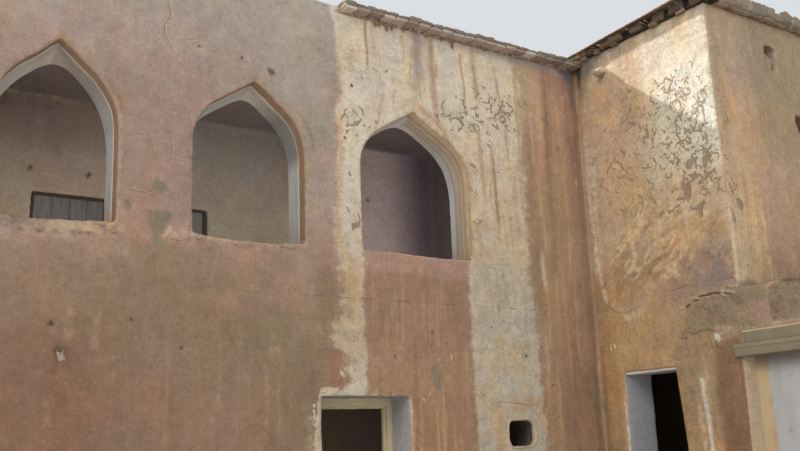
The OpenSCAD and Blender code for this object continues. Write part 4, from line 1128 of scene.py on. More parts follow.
# crumbly edges of the arches
for k_, ap in ARCHES.items():
    cx_ = ap[:, 0].mean()
    for sgn, wd_, a_ in ((-1, .010, .60), (1, .017, .80)):
        sel_ = ap[(ap[:, 0] - cx_) * sgn > -.02]
        sel_ = sel_[sel_[:, 1] > (3.9 if sgn < 0 else 3.45)]
        if len(sel_) < 3:
            continue
        f.both("drip", f.mottled(f.stroke(sel_, wd_, 1, .012, .004), -.9, .1, .05, 35), a_)
        f.both("tan", f.mottled(f.stroke(sel_ + [[sgn * .022, .012]], .012, 1, .012, .004), -.1, .4, .06, 36), .55)
        f.press(f.mottled(f.stroke(sel_ + [[sgn * .022, .010]], .022, .9, .012), -.3, .3, .06, 37), .0045)
    top_ = ap[np.argmax(ap[:, 1])]
    f.both("drip", f.mottled(f.stroke([top_ + [-.03, -.01], top_ + [.01, .012], top_ + [.06, -.03]], .026, 1, .02, .0), -.5, .3, .04, 38), .85 if k_ != "right" else .45)
for pts, w_, a_ in (([(-3.60, 4.52), (-3.53, 4.45), (-3.50, 4.38)], .020, .8), ([(-3.53, 4.46), (-3.47, 4.47)], .014, .7), ([(-3.66, 4.62), (-3.56, 4.53)], .012, .5), ([(-1.83, 4.50), (-1.77, 4.40), (-1.75, 4.28)], .016, .7), ([(-1.92, 4.62), (-1.83, 4.52)], .012, .5)):
    f.both("drip", f.mottled(f.stroke(pts, w_, 1, .02), -.6, .2, .04, 39), a_)
for off_, a_ in ((.030, .55), (.062, .40), (.095, .25)):   # old layers round the right arch
    ap = ARCHES["right"]
    sel_ = ap[(ap[:, 0] > ap[np.argmax(ap[:, 1]), 0] - .02)]
    sel_ = sel_[sel_[:, 1] > 3.95]
    f.tint(TB, "drip", f.mottled(f.stroke(sel_ + [[off_, off_ * .7]], .006, .9, .008, .006), -.6, .2, .07, 46), a_)
    f.tint(TB, "ivory", f.mottled(f.stroke(sel_ + [[off_ + .014, off_ * .7 + .010]], .008, .9, .008, .006), -.3, .3, .07, 47), a_)
    f.press(f.stroke(sel_ + [[off_ + .014, off_ * .7 + .010]], .012, .9, .006), .004)
# marks of fallen coats
for poly, c_, d_ in (([(-3.245, 3.79), (-3.20, 3.815), (-3.13, 3.80), (-3.10, 3.74), (-3.14, 3.70), (-3.23, 3.71)], "greygreen", -.004),
                     ([(-3.27, 3.55), (-3.23, 3.56), (-3.07, 3.55), (-3.06, 3.50), (-3.10, 3.46), (-3.12, 3.38), (-3.20, 3.33), (-3.24, 3.40), (-3.26, 3.48)], "greygreen", -.006),
                     ([(-3.24, 3.34), (-3.14, 3.345), (-3.13, 3.28), (-3.22, 3.27)], "greygreen", -.005),
                     ([(-3.46, 3.62), (-3.40, 3.63), (-3.41, 3.54), (-3.45, 3.53)], "greygreen", -.002),
                     ([(-2.22, 4.97), (-2.16, 4.975), (-2.12, 4.92), (-2.18, 4.90)], "shade", -.004),
                     ([(-.56, 2.34), (-.50, 2.37), (-.42, 2.35), (-.39, 2.26), (-.44, 2.16), (-.50, 2.14), (-.55, 2.22)], "mudgrey", -.006)):
    c_ = "drab" if c_ == "greygreen" else c_
    f.both(c_, f.mottled(f.region(poly, .005, .020), -.95, -.45, .05, 50), .92)
    f.set("rough", f.region(poly, .010, .022), .30)
    f.press(f.region(poly, .008, .022), d_)
lump = [(-3.14, 3.34), (-3.10, 3.45), (-3.05, 3.42), (-2.92, 3.46), (-2.92, 3.36), (-2.95, 3.32), (-3.03, 3.325)]
f.tint(TA, "blush", f.region(lump, .012), .8)
f.tint(TA, "tan", f.stroke([(-3.13, 3.35), (-3.09, 3.43), (-3.03, 3.34)], .015, .8), .6)
f.press(f.region(lump, .012), .012)
# small holes pressed into the wall, painted black as the shade inside them
for x_, z_, r_ in ((-2.97, 2.47, .013), (-3.38, 2.68, .010), (-.52, 2.68, .011), (.62, 2.49, .010), (.20, 2.76, .010), (-2.46, 5.02, .008), (-2.86, 5.04, .008), (-3.98, 2.62, .012), (-1.53, 3.99, .008), (-2.0, 4.05, .006),
                  (-4.25, 4.2, .008), (.94, 2.2, .009), (1.0, 1.9, .008), (.70, 2.35, .007), (-1.33, 4.98, .012), (-1.42, 4.45, .01), (-1.24, 3.95, .008), (-.95, 2.45, .008)):
    f.both("black", f.stroke([(x_, z_), (x_ + .004, z_ - r_ * .8)], r_, .4, .004), .75)
    f.press(f.stroke([(x_, z_), (x_ + .004, z_ - r_ * .8)], r_, .5, .004), -.010)
# chips of lime
for pts, w_ in (([(-.46, 2.42), (-.44, 2.36)], .018), ([(-.34, 2.48), (-.31, 2.42)], .016), ([(-.40, 2.47), (-.395, 2.45)], .008), ([(-.60, 2.17), (-.59, 2.11)], .013), ([(.13, 2.58), (.20, 2.57)], .022),
                ([(-1.52, 2.29), (-1.50, 2.25)], .014), ([(-.68, 2.08), (-.66, 2.05)], .015), ([(-1.79, 2.02), (-1.79, 1.80)], .022), ([(-1.79, 1.80), (-1.77, 1.72)], .028), ([(-1.76, 2.10), (-1.70, 2.11)], .014),
                ([(-1.72, 2.13), (-1.62, 2.13)], .010)):
    f.set("chip", f.mottled(f.stroke(pts, w_ * (1.0 if pts[0][0] > -1.6 else .6), .9, .026), -.35, .15, .028, 51), 1)
f.set("mix", f.region([(-1.80, 1.3), (-1.79, 1.75), (-1.755, 2.0), (-1.74, 2.16), (-1.55, 2.16), (-1.60, 2.085), (-1.72, 2.085), (-1.72, 1.3)], .012, .012), 1, "to")
f.tint(TB, "sand", f.region([(-1.80, 1.3), (-1.79, 1.75), (-1.755, 2.0), (-1.74, 2.16), (-1.60, 2.16), (-1.72, 2.085), (-1.72, 1.3)], .02, .012), .7)
# around the vent
f.tint(TB, "peach", f.mottled(f.stroke([(.22, 1.5), (.22, 1.95), (.35, 2.03), (.72, 2.02), (.78, 1.7)], .06, .9, .01, .02), -.4, .2, .1, 45), .7)
f.tint(TB, "straw", f.region([(.40, 1.93), (.40, 2.0), (.55, 2.0), (.56, 1.93)], .02), .6)
for m, a, b in CRACKS_F:
    j, d, _ = f.line(m, .01, 0, 0)
    f.set("crack", (j, (d < 3e-4).astype(float)), 1)
    f.press((j, (d < 3e-4).astype(float)), -.0055)
    f.both("tan", f.stroke(m, .012, 1, .004), .25)
tick("front painted")

# ------------------------------------------------------------------ court side of the wing (u = y)
s_ = side
sy, sz = s_.a, s_.b
ALLS = (np.arange(len(s_.i)), np.ones(len(s_.i)))
fulls = lambda v: (np.arange(len(s_.i)), np.clip(v, 0, 1))
MIX[s_.i] = 1
s_.tint(TB, "fawn", ALLS)
s_.tint(TB, "peach", fulls(sstep(-.5, -.1, sy + s_.b1 * .15) * sstep(3.2, 4.4, sz)), .75)
s_.tint(TB, "copper", fulls(sstep(.02, .26, sy)), .25)
s_.tint(TB, "butter", fulls(sstep(-.35, -.95, sy + s_.b2 * .15) * sstep(3.75, 4.3, sz)), .75)
s_.tint(TB, "ivory", fulls(sstep(-.5, -1.05, sy + s_.b1 * .12) * sstep(3.85, 4.4, sz)), .85)
s_.tint(TB, "bone", s_.mottled(fulls(sstep(-.5, -1.05, sy) * sstep(3.8, 4.3, sz)), -.1, .4, .14, 52), .6)
s_.tint(TB, "buff", s_.mottled(fulls(sstep(-.8, -1.2, sy) * sstep(3.55, 3.8, sz) * sstep(4.2, 4.0, sz)), -.4, .3, .2, 54), .7)
s_.tint(TB, "ivory", s_.mottled(s_.region([(-.10, 3.2), (0.0, 3.6), (.10, 4.5), (.17, 4.45), (.10, 3.6), (.06, 3.2)], .05, .02, .03), -.6, .2, .12, 51), .55)
s_.tint(TB, "ivory", fulls(sstep(5.30, 5.62, sz + s_.b1 * .1)), .5)
# under the eave: grey, drab and clay tones, partly dirt streaks and partly painted shade of the eave
s_.tint(TB, "stone", s_.region([(.3, 5.8), (.3, 5.5), (-.1, 5.62), (-.5, 5.72), (-.9, 5.8)], .06), .55)
s_.tint(TB, "drab", s_.streaked(fulls(sstep(5.52, 5.72, sz + s_.b1 * .03)), 1.2, -.5, .4, True), .40)
s_.tint(TB, "clay", s_.streaked(fulls(sstep(5.40, 5.65, sz) * sstep(.2, -.1, sy)), 1, .1, .5), .35)
s_.tint(TB, "dun", s_.mottled(fulls(sstep(-.04, .20, sy)), -.9, .1, .12, 57), .75)
s_.tint(TB, "ivory", s_.mottled(fulls(sstep(.07, .13, sy + s_.n1 * .02) * sstep(4.9, 4.4, sz) * sstep(3.0, 3.3, sz)), -.5, .15, .05, 58), .70)
# soot and painted shade in the inner corner under the eaves
s_.tint(TB, "soot", s_.region([(.32, 5.8), (.32, 5.22), (.24, 5.28), (.15, 5.50), (.02, 5.66), (-.05, 5.8)], .09, .03), .72)
s_.tint(TB, "black", s_.region([(.32, 5.8), (.32, 5.46), (.24, 5.48), (.20, 5.62), (.16, 5.8)], .03, .02), .9)
s_.tint(TB, "peach", s_.mottled(s_.region([(.2, 3.6), (.2, 5.3), (-.9, 5.2), (-1.1, 3.8), (-.3, 3.4)], .2), .0, .5, .3, 53), .5)
s_.tint(TB, "ochre", s_.region([(.30, 3.3), (.12, 3.35), (-.25, 3.45), (-.75, 3.55), (-1.2, 3.72), (-1.5, 3.62), (-1.52, 3.35), (-1.0, 3.40), (-.5, 3.1), (.0, 2.93), (.3, 3.0)], .12, .02, .06), .55)
s_.tint(TB, "butter", s_.mottled(s_.region([(-.15, 3.55), (-.3, 3.85), (-1.0, 3.95), (-1.45, 3.75), (-1.1, 3.6), (-.6, 3.45)], .07, .02, .03), -.4, .25, .16, 55), .75)
# folds in the coat: pale and gold strokes on the raised ridges are painted highlights, copper just below each ridge is
# painted shadow
for pts, w_ in (([(-.40, 3.38), (-.62, 3.55), (-.80, 3.63), (-1.02, 3.76)], .022), ([(-.30, 3.42), (-.55, 3.66), (-.75, 3.76)], .026), ([(-.48, 3.08), (-.56, 3.25), (-.66, 3.37), (-.80, 3.42)], .022), ([(-.42, 3.0), (-.50, 3.15)], .02),
                ([(-.20, 3.25), (-.32, 3.5)], .02), ([(-.75, 3.50), (-.92, 3.66)], .014)):
    s_.tint(TB, "butter", s_.mottled(s_.stroke(pts, w_ * 2, 1, .03, .03), -.3, .4, .07, 66), .55)
for pts, w_ in (([(-.10, 3.20), (-.30, 3.36), (-.45, 3.52), (-.62, 3.62)], .018), ([(-.55, 3.22), (-.62, 3.36), (-.78, 3.50), (-.95, 3.58), (-1.12, 3.70)], .020), ([(-.25, 3.62), (-.42, 3.72), (-.60, 3.82), (-.85, 3.90)], .018),
                ([(-.36, 3.16), (-.48, 3.32), (-.60, 3.44)], .013), ([(-.70, 3.62), (-.86, 3.74), (-1.05, 3.84)], .014), ([(-.05, 3.40), (-.18, 3.58), (-.30, 3.70)], .015), ([(-.95, 3.44), (-1.15, 3.56), (-1.35, 3.62)], .014)):
    jx_ = s_.mottled(s_.stroke(pts, w_, 1, .03, .03), -.6, .2, .09, 76)
    s_.tint(TB, "gold", jx_, .75)
    s_.press(s_.mottled(s_.stroke(pts, w_ * 1.6, 1, .03, .03), -.6, .2, .09, 76), .0075)
    shadow_under_ridge = [(q[0] - .006, q[1] - w_ * 1.9) for q in pts]
    s_.tint(TB, "copper", s_.mottled(s_.stroke(shadow_under_ridge, w_ * .9, 1, .03, .03), -.6, .2, .09, 77), .60)
# lower part: mud coats
low = [(.30, 3.02), (.16, 3.02), (.02, 2.93), (-.15, 2.89), (-.33, 2.91), (-.46, 2.96), (-.60, 3.10), (-.72, 3.35), (-.85, 3.46), (-1.1, 3.50), (-1.52, 3.45), (-1.55, 0), (.30, 0)]
s_.tint(TB, "straw", s_.region(low, .05, .012, .02))
s_.tint(TB, "peach", s_.region(low, .05, .012, .02), .35)
s_.tint(TB, "ochre", s_.mottled(s_.region([(.2, 2.3), (.2, 2.9), (-.9, 2.9), (-.95, 2.3)], .1), -.3, .4, .3, 57), .5)
s_.tint(TB, "clay", s_.mottled(s_.region([(-.62, 2.85), (-.70, 3.20), (-.85, 3.40), (-1.30, 3.46), (-1.60, 3.36), (-1.60, 2.80), (-1.0, 2.80)], .16, .02, .08), -.9, .3, .3, 58), .85)
s_.tint(TB, "peach", s_.mottled(s_.region([(-.65, 3.0), (-.85, 3.45), (-1.4, 3.50), (-1.3, 3.15)], .12, .02, .06), -.5, .4, .16, 59), .6)
s_.tint(TB, "mudgrey", s_.region([(-.80, 2.58), (-.88, 2.80), (-.95, 2.87), (-1.15, 2.90), (-1.35, 2.88), (-1.50, 2.98), (-1.81, 2.97), (-1.81, 2.54), (-1.3, 2.56)], .07, .02, .04), .75)
s_.tint(TB, "greygreen", s_.mottled(s_.region([(-1.0, 2.62), (-1.0, 2.85), (-1.5, 2.85), (-1.5, 2.62)], .05), -.3, .3, .12, 60), .6)
s_.tint(TB, "rose", s_.region([(-1.63, 2.60), (-1.63, 2.80), (-1.80, 2.82), (-1.81, 2.58)], .012, .006), .85)
s_.tint(TB, "mudgrey", s_.region([(-1.35, 2.85), (-1.38, 2.98), (-1.62, 2.99), (-1.81, 2.97), (-1.81, 2.80), (-1.63, 2.81), (-1.58, 2.75)], .02, .012), .8)
# fallen plaster
bare = [(-1.815, 2.60), (-1.805, 2.80), (-1.82, 2.88), (-1.90, 2.905), (-1.99, 2.955), (-2.10, 2.925), (-2.4, 2.96), (-3.2, 3.0), (-3.65, 3.0), (-3.65, 2.56)]
s_.tint(TB, "mudgrey", s_.region(bare, .010, .012), .7)
s_.tint(TB, "earth", s_.mottled(s_.region(bare, .010, .012), -.2, .5, .1, 61), .6)
s_.set("rough", s_.region(bare, .014, .012), .8)
j_, x_ = s_.region(bare, .016, .012)
DISP[s_.i[j_]] += x_ * (-.026 + .009 * fbm(s_.q[j_], .06, 3, .6, seed=62) + .006 * sstep(.1, .5, fbm(s_.q[j_], .025, 2, .6, seed=63)))
# a dark rust line along the top of the broken edge: painted shadow under the plaster that stands proud
s_.tint(TB, "rust", s_.stroke([(-1.82, 2.60), (-1.81, 2.80), (-1.83, 2.89), (-1.99, 2.96), (-2.10, 2.93), (-2.6, 2.98)], .012, .7, .008), .8)
rest = [(-1.55, 0), (-1.50, 1.4), (-1.50, 2.58), (-3.65, 2.58), (-3.65, 0)]
s_.tint(TB, "dun", s_.region(rest, .03), .8)
# right of the side doorway
s_.tint(TB, "khaki", s_.mottled(s_.region([(-.72, 0), (-.70, 2.50), (-1.18, 2.55), (-1.2, 0)], .08, .02, .02), -.5, .3, .25, 69), .65)
s_.tint(TB, "ochre", s_.region([(-.02, 0), (-.02, 2.3), (.12, 2.4), (.15, 0)], .05), .3)
blk = [(-1.19, 0), (-1.20, 1.5), (-1.16, 2.1), (-1.19, 2.45), (-1.34, 2.50), (-1.46, 2.53), (-1.52, 2.40), (-1.50, 0)]
s_.tint(TB, "bark", s_.region(blk, .05, .015, .02), .9)
s_.tint(TB, "brick", s_.mottled(s_.region(blk, .04, .015, .02), -.2, .4, .15, 56), .4)
s_.tint(TB, "ivory", s_.stroke([(-1.045, 0), (-1.04, 1.6), (-1.02, 2.0), (-1.0, 2.13)], .026, .6, .012, .012, fade=(0, .2)), .85)
s_.tint(TB, "sand", s_.stroke([(-1.07, 1.9), (-1.05, 2.2), (-1.04, 2.4)], .014, .8, .012, .012), .6)
s_.tint(TB, "amber", s_.streaked(s_.region([(-.75, 0), (-.75, 2.45), (-1.15, 2.5), (-1.15, 0)], .05), 1, .1, .5), .5)
s_.tint(TB, "amber", s_.streaked(s_.region([(.25, 0), (.25, 2.8), (0, 2.8), (0, 0)], .05), 1, .0, .5), .4)
s_.tint(TB, "amber", s_.stroke([(.235, 3.0), (.22, 2.0), (.21, 0)], .010, .8, .006), .7)
s_.tint(TB, "plum", s_.region([(.30, 0), (.30, 2.6), (.20, 2.6), (.22, 1.8), (.18, 0)], .03), .6)
s_.set("chip", s_.region([(-1.195, 2.50), (-1.19, 2.545), (-1.225, 2.555), (-1.255, 2.545), (-1.27, 2.52), (-1.245, 2.482), (-1.225, 2.486)], .007, .016), 1)
s_.tint(TB, "tan", s_.mottled(s_.region([(-1.19, 2.53), (-1.20, 2.60), (-1.28, 2.635), (-1.34, 2.60), (-1.40, 2.585), (-1.34, 2.545), (-1.25, 2.54)], .012, .02), -.3, .2, .04, 80), .8)
s_.press(s_.region([(-1.19, 2.50), (-1.19, 2.60), (-1.28, 2.635), (-1.40, 2.585), (-1.34, 2.545), (-1.25, 2.50)], .012, .02), .008)
s_.set("chip", s_.stroke([(.10, 2.60), (.10, 2.54)], .007, .5, .004), 1)
s_.set("chip", s_.stroke([(.05, 2.59), (.045, 2.57)], .016, .5, .006), 1)
s_.set("chip", s_.stroke([(-.055, 0), (-.035, 1.6), (-.03, 2.0)], .014, .5, .02), .8)
s_.set("chip", s_.stroke([(-1.49, 0), (-1.49, 1.2), (-1.50, 1.8), (-1.505, 2.3)], .012, .5, .015), .9)
s_.tint(TB, "butter", s_.stroke([(-1.48, 0), (-1.485, 1.2), (-1.49, 1.8), (-1.50, 2.3)], .022, .5, .012), .9)
s_.tint(TB, "butter", s_.stroke([(-.04, 0), (-.02, 1.6), (-.015, 2.1)], .016, .6, .012), .6)
# bulge with an open lip over the lintel's end
lip = [(-.90, 2.865), (-1.02, 2.92), (-1.15, 2.935), (-1.28, 2.925), (-1.38, 2.90), (-1.48, 2.86)]
s_.press(s_.stroke([(q[0], q[1] - .040) for q in lip], .040, .8, .012), -.012)
for pts, w_, h_ in (([(-.86, 2.845), (-.93, 2.875), (-1.0, 2.905), (-1.06, 2.915)], .012, .010), ([(-.98, 2.925), (-1.10, 2.945), (-1.22, 2.948), (-1.34, 2.945)], .011, .013), ([(-1.22, 2.925), (-1.30, 2.915), (-1.38, 2.885)], .015, .012),
                    ([(-1.30, 2.945), (-1.40, 2.925), (-1.47, 2.905)], .013, .010), ([(-1.02, 2.90), (-1.15, 2.915), (-1.25, 2.91)], .010, .008), ([(-1.40, 2.975), (-1.50, 2.965)], .012, .007), ([(-.78, 2.81), (-.86, 2.85)], .012, .006)):
    jx_ = s_.mottled(s_.stroke(pts, w_, .8, .016), -.7, .0, .045, 78)
    s_.press(jx_, h_)
    s_.tint(TB, "butter", s_.mottled(s_.stroke([(q[0], q[1] + .002) for q in pts], w_ * .75, .8, .014), -.4, .2, .03, 79), .70)
# black in the undercuts below the lip is painted shade
for pts, w_ in (([(-1.06, 2.928), (-1.16, 2.930), (-1.26, 2.930), (-1.30, 2.926)], .0065), ([(-.90, 2.850), (-.95, 2.872)], .0060), ([(-1.36, 2.915), (-1.42, 2.900)], .0050), ([(-1.0, 2.895), (-1.08, 2.905)], .0045)):
    s_.tint(TB, "black", s_.stroke(pts, w_, .6, .006), .75)
    s_.press(s_.stroke(pts, w_ * 1.3, .6, .006), -.014)
for pts in ([(-.92, 2.60), (-.98, 2.585), (-1.04, 2.60), (-1.10, 2.59)], [(-1.06, 2.62), (-1.12, 2.605), (-1.18, 2.59)], [(-.80, 2.56), (-.88, 2.55)], [(-1.20, 2.50), (-1.205, 2.46), (-1.22, 2.42)], [(-1.10, 2.82), (-1.14, 2.79)], [(-1.02, 2.84), (-1.06, 2.83), (-1.10, 2.85)], [(-1.12, 2.72), (-1.125, 2.68)]):
    s_.tint(TB, "shade", s_.stroke(pts, .006, .8, .012), .8)
    s_.press(s_.stroke(pts, .008, .8, .012), -.006)
s_.set("rough", s_.region([(-.92, 2.60), (-.95, 2.84), (-1.4, 2.86), (-1.5, 2.70), (-1.35, 2.60)], .08, .02), .30)
j_, x_ = s_.region([(-.88, 2.58), (-.92, 2.90), (-1.45, 2.92), (-1.6, 2.60)], .06, .01)
DISP[s_.i[j_]] += x_ * (.014 * fbm(s_.q[j_], .14, 3, .6, seed=67) + .006 * np.abs(fbm(s_.q[j_], .05, 3, .6, seed=68)))
wash(fulls(sstep(-.02, .10, sy) * sstep(4.6, 4.0, sz)), s_, TB, (.93, .895, .87))
wash(fulls(sstep(3.05, 2.85, sz + s_.b1 * .05)), s_, TB, (.955, .945, .935))
wash(fulls(sstep(3.45, 3.3, sz) * sstep(2.9, 3.05, sz)), s_, TB, (.95, .935, .93))
# darker above a line that follows the eave's shadow: painted shade
wash(fulls(sstep(5.50, 5.60, sz - .085 * (sy + .21))), s_, TB, (.98, .975, .97))
wash(s_.region([(-.02, 3.2), (-.02, 3.6), (-.6, 3.62), (-.6, 3.2)], .14), s_, TB, (.90, .90, .905))
wash(s_.region([(-1.05, 3.0), (-1.05, 3.35), (-1.4, 3.4), (-1.4, 3.0)], .10), s_, TB, (.89, .93, 1.05))
wash(fulls(sstep(-.5, -.9, sy) * sstep(4.0, 4.3, sz) * sstep(5.4, 5.2, sz)), s_, TB, (1.02, 1.06, 1.08))
for pts, w_, a_ in (([(.225, 4.25), (.200, 3.80), (.180, 3.45), (.155, 3.25), (.10, 3.04)], .026, .85), ([(.225, 4.9), (.235, 4.5), (.22, 4.15)], .022, .6), ([(.15, 4.4), (.14, 4.0), (.12, 3.6)], .018, .5), ([(.03, 3.02), (-.03, 2.95), (-.12, 2.93)], .016, .6)):
    s_.tint(TB, "cream", s_.mottled(s_.stroke(pts, w_, .9, .016, .02), -.35, .15, .06, 86), a_)
s_.tint(TB, "chalk", s_.mottled(s_.stroke([(-1.05, 0), (-1.045, 1.5), (-1.03, 1.9), (-1.005, 2.15)], .024, .6, .016, .012), -.5, .0, .08, 87), .8)
s_.tint(TB, "cream", s_.mottled(s_.stroke([(-.975, 0), (-.965, 1.5), (-.945, 1.9), (-.925, 2.25)], .026, .7, .016, .012, fade=(0, .25)), -.5, .1, .09, 88), .75)
for m, a, b in CRACKS_S:
    j, d, _ = s_.line(m, .01, 0, 0)
    s_.set("crack", (j, (d < 3e-4).astype(float)), 1)
    s_.press((j, (d < 3e-4).astype(float)), -.0055)
arc = CRACKS_S[0][0]
s_.press(s_.stroke(arc + [0, .02], .05, .9, .003), .003)
s_.tint(TB, "butter", s_.mottled(s_.stroke([(-.10, 2.88), (-.16, 2.84), (-.30, 2.88), (-.40, 2.92), (-.46, 2.98)], .03, .9, .01), -.4, .3, .06, 65), .8)
for y_, z_ in ((-.17, 2.86), (-.20, 2.86), (-.31, 2.87), (-.36, 2.88)):
    s_.tint(TB, "butter", s_.stroke([(y_, z_), (y_ - .005, z_ - .10)], .010, .8, .008, fade=(0, .5)), .7)
# flakes
FS = [[(-.36, 5.22), (-.42, 5.20), (-.40, 5.14), (-.36, 5.10)], [(-.44, 5.24), (-.50, 5.20)], [(-.38, 5.02), (-.40, 4.97)], [(-.46, 5.03), (-.44, 4.98)], [(-.52, 4.98), (-.56, 5.0), (-.60, 4.95)], [(-.66, 4.98), (-.64, 4.94)],
      [(-.78, 5.10), (-.74, 5.04), (-.78, 4.98), (-.82, 4.95)], [(-.82, 5.20), (-.86, 5.12), (-.92, 5.14), (-.98, 5.18)], [(-.90, 5.08), (-.95, 5.02), (-1.0, 5.06), (-1.04, 5.12)], [(-.80, 4.90), (-.86, 4.94), (-.90, 4.90), (-.95, 4.94)],
      [(-.76, 4.84), (-.80, 4.86)], [(-.72, 4.72), (-.74, 4.64), (-.70, 4.56), (-.68, 4.50)], [(-.76, 4.50), (-.82, 4.54), (-.88, 4.50)], [(-.68, 4.42), (-.72, 4.36), (-.70, 4.28)], [(-.78, 4.30), (-.84, 4.26), (-.88, 4.32), (-.86, 4.38)],
      [(-.92, 4.78), (-.96, 4.74)], [(-1.06, 4.74), (-1.03, 4.62), (-1.05, 4.48), (-1.10, 4.38), (-1.14, 4.36)], [(-1.12, 4.60), (-1.18, 4.52), (-1.24, 4.56), (-1.30, 4.66), (-1.26, 4.72)], [(-1.20, 4.60), (-1.26, 4.52), (-1.32, 4.50)],
      [(-1.34, 4.76), (-1.36, 4.66), (-1.40, 4.56)], [(-1.42, 4.84), (-1.38, 4.88), (-1.44, 4.92)], [(-1.16, 4.30), (-1.22, 4.34), (-1.28, 4.32)], [(-1.18, 4.18), (-1.26, 4.16), (-1.34, 4.22), (-1.42, 4.26), (-1.46, 4.18)],
      [(-1.20, 4.08), (-1.28, 4.02), (-1.36, 4.08), (-1.44, 4.06)], [(-1.10, 4.12), (-1.16, 4.06), (-1.12, 3.98)], [(-1.40, 4.00), (-1.44, 3.92), (-1.48, 3.86)], [(-1.30, 4.36), (-1.36, 4.30), (-1.42, 4.34)],
      [(.14, 4.66), (.10, 4.62), (.12, 4.56), (.17, 4.58)], [(-.05, 4.42), (-.12, 4.48), (-.20, 4.50), (-.27, 4.46), (-.30, 4.38)], [(-.02, 4.36), (.04, 4.32), (.02, 4.26)], [(-.20, 4.36), (-.28, 4.32), (-.34, 4.36), (-.40, 4.38)],
      [(-.34, 4.28), (-.40, 4.24)], [(-.55, 4.34), (-.62, 4.36), (-.66, 4.32)], [(-.60, 4.20), (-.64, 4.10), (-.62, 4.02)], [(-.45, 4.00), (-.50, 3.94), (-.46, 3.88)], [(-.58, 4.62), (-.62, 4.60)], [(-.28, 4.62), (-.32, 4.58), (-.30, 4.52)],
      [(-1.10, 3.80), (-1.15, 3.76), (-1.20, 3.78)], [(-.95, 3.92), (-1.02, 3.90)], [(-1.22, 3.90), (-1.28, 3.94), (-1.33, 3.86)], [(-.75, 3.82), (-.72, 3.78)], [(-.20, 3.98), (-.26, 3.94)], [(-.84, 4.66), (-.88, 4.62)],
      [(-.16, 4.86), (-.18, 4.84)], [(-.22, 4.76), (-.24, 4.72)], [(-1.08, 5.22), (-1.10, 5.18)], [(-1.20, 5.10), (-1.22, 5.02)], [(-1.28, 5.24), (-1.30, 5.18)], [(-1.33, 5.06), (-1.36, 5.0)], [(-1.16, 4.95), (-1.20, 4.92)]]
for w_ in FS:
    s_.set("net", s_.stroke(w_, .06, 1, .02, 0), .75)
for poly in ([(-1.02, 3.96), (-1.08, 4.08), (-1.13, 4.05), (-1.12, 3.90), (-1.07, 3.84), (-1.03, 3.88)], [(-.93, 3.94), (-.95, 3.89), (-1.04, 3.88), (-1.02, 3.93)], [(-1.15, 3.80), (-1.17, 3.70), (-1.22, 3.64), (-1.23, 3.74), (-1.28, 3.80), (-1.24, 3.84)],
             [(-1.08, 4.26), (-1.18, 4.30), (-1.22, 4.24), (-1.14, 4.16), (-1.08, 4.18)], [(-1.10, 4.12), (-1.20, 4.14), (-1.24, 4.06), (-1.16, 4.04)], [(-1.26, 4.24), (-1.34, 4.28), (-1.40, 4.22), (-1.32, 4.18)],
             [(-.84, 4.98), (-.92, 4.98), (-.96, 4.93), (-.88, 4.90)], [(-1.12, 4.50), (-1.20, 4.48), (-1.18, 4.42)], [(-.74, 4.34), (-.80, 4.32), (-.78, 4.26)]):
    s_.set("flake", s_.region(poly, .020, .014), .95)
j_, x_ = s_.region([(-.30, 5.25), (.05, 4.7), (.10, 4.1), (-.3, 3.8), (-1.0, 3.72), (-1.46, 3.75), (-1.48, 4.9), (-1.2, 5.2), (-.8, 5.25)], .15)
wq = s_.q[j_] + np.column_stack([s_.n1[j_], s_.n2[j_], 0 * j_]) * .03
c1_, c2_, r_ = cells(wq, .105, 4)
gate = sstep(.05, .50, fbm(s_.q[j_], .14, 3, .65, seed=82) + .22 * sstep(-.6, -1.2, s_.a[j_]))
s_.set("net", (j_, x_ * (.35 + .65 * sstep(-.3, .45, fbm(s_.q[j_], .25, 3, .6, seed=84) + .35 * sstep(-.3, -1.1, s_.a[j_])))), .85)
dens = x_ * (.10 + .55 * sstep(-.35, -1.15, s_.a[j_]) * sstep(3.85, 4.05, s_.b[j_]) * sstep(5.3, 4.9, s_.b[j_]) + .45 * sstep(-.05, .45, fbm(s_.q[j_], .20, 3, .6, seed=85)))
worms(s_, (j_, dens), FS, 190, 31, (.0072, .0125))
worms(s_, (j_, dens ** .7), [], 240, 35, (.0042, .0070), .007)
s_.tint(TB, "chalk", s_.mottled((j_, x_ * sstep(-.6, -1.1, s_.a[j_])), -.1, .4, .12, 83), .35)
tick("side painted")

# ------------------------------------------------------------------ front of the wing
w_l = wing
wx, wz = w_l.a, w_l.b
ALLW = (np.arange(len(w_l.i)), np.ones(len(w_l.i)))
fullw = lambda v: (np.arange(len(w_l.i)), np.clip(v, 0, 1))
w_l.tint(TA, "fawn", ALLW)
w_l.tint(TA, "peach", w_l.mottled(ALLW, -.1, .5, .5, 92), .5)
w_l.tint(TA, "rose", w_l.mottled(ALLW, -.2, .5, .35, 93), .5)
w_l.tint(TA, "clay", fullw(sstep(2.6, 2.0, wx) * sstep(4.9, 5.3, wz)), .5)
w_l.tint(TA, "dun", fullw(sstep(4.6, 5.2, wz + w_l.b1 * .2) * sstep(1.75, 2.1, wx)), .5)
w_l.tint(TA, "tan", w_l.streaked(ALLW, 1, .1, .6, True), .4)
w_l.tint(TA, "peach", fullw(sstep(2.4, 1.9, wx + w_l.b1 * .1) * sstep(5.0, 4.4, wz)), .7)
w_l.tint(TA, "rust", w_l.streaked(fullw(sstep(2.3, 1.9, wx)), 1, .0, .5), .5)
w_l.tint(TA, "fawn", fullw(sstep(3.6, 3.2, wz) * sstep(2.0, 2.4, wx)), .4)
w_l.tint(TA, "tan", w_l.mottled(w_l.region([(2.3, 3.9), (2.3, 4.9), (3.0, 4.9), (3.0, 3.8)], .15), .1, .45, .09, 91), .6)
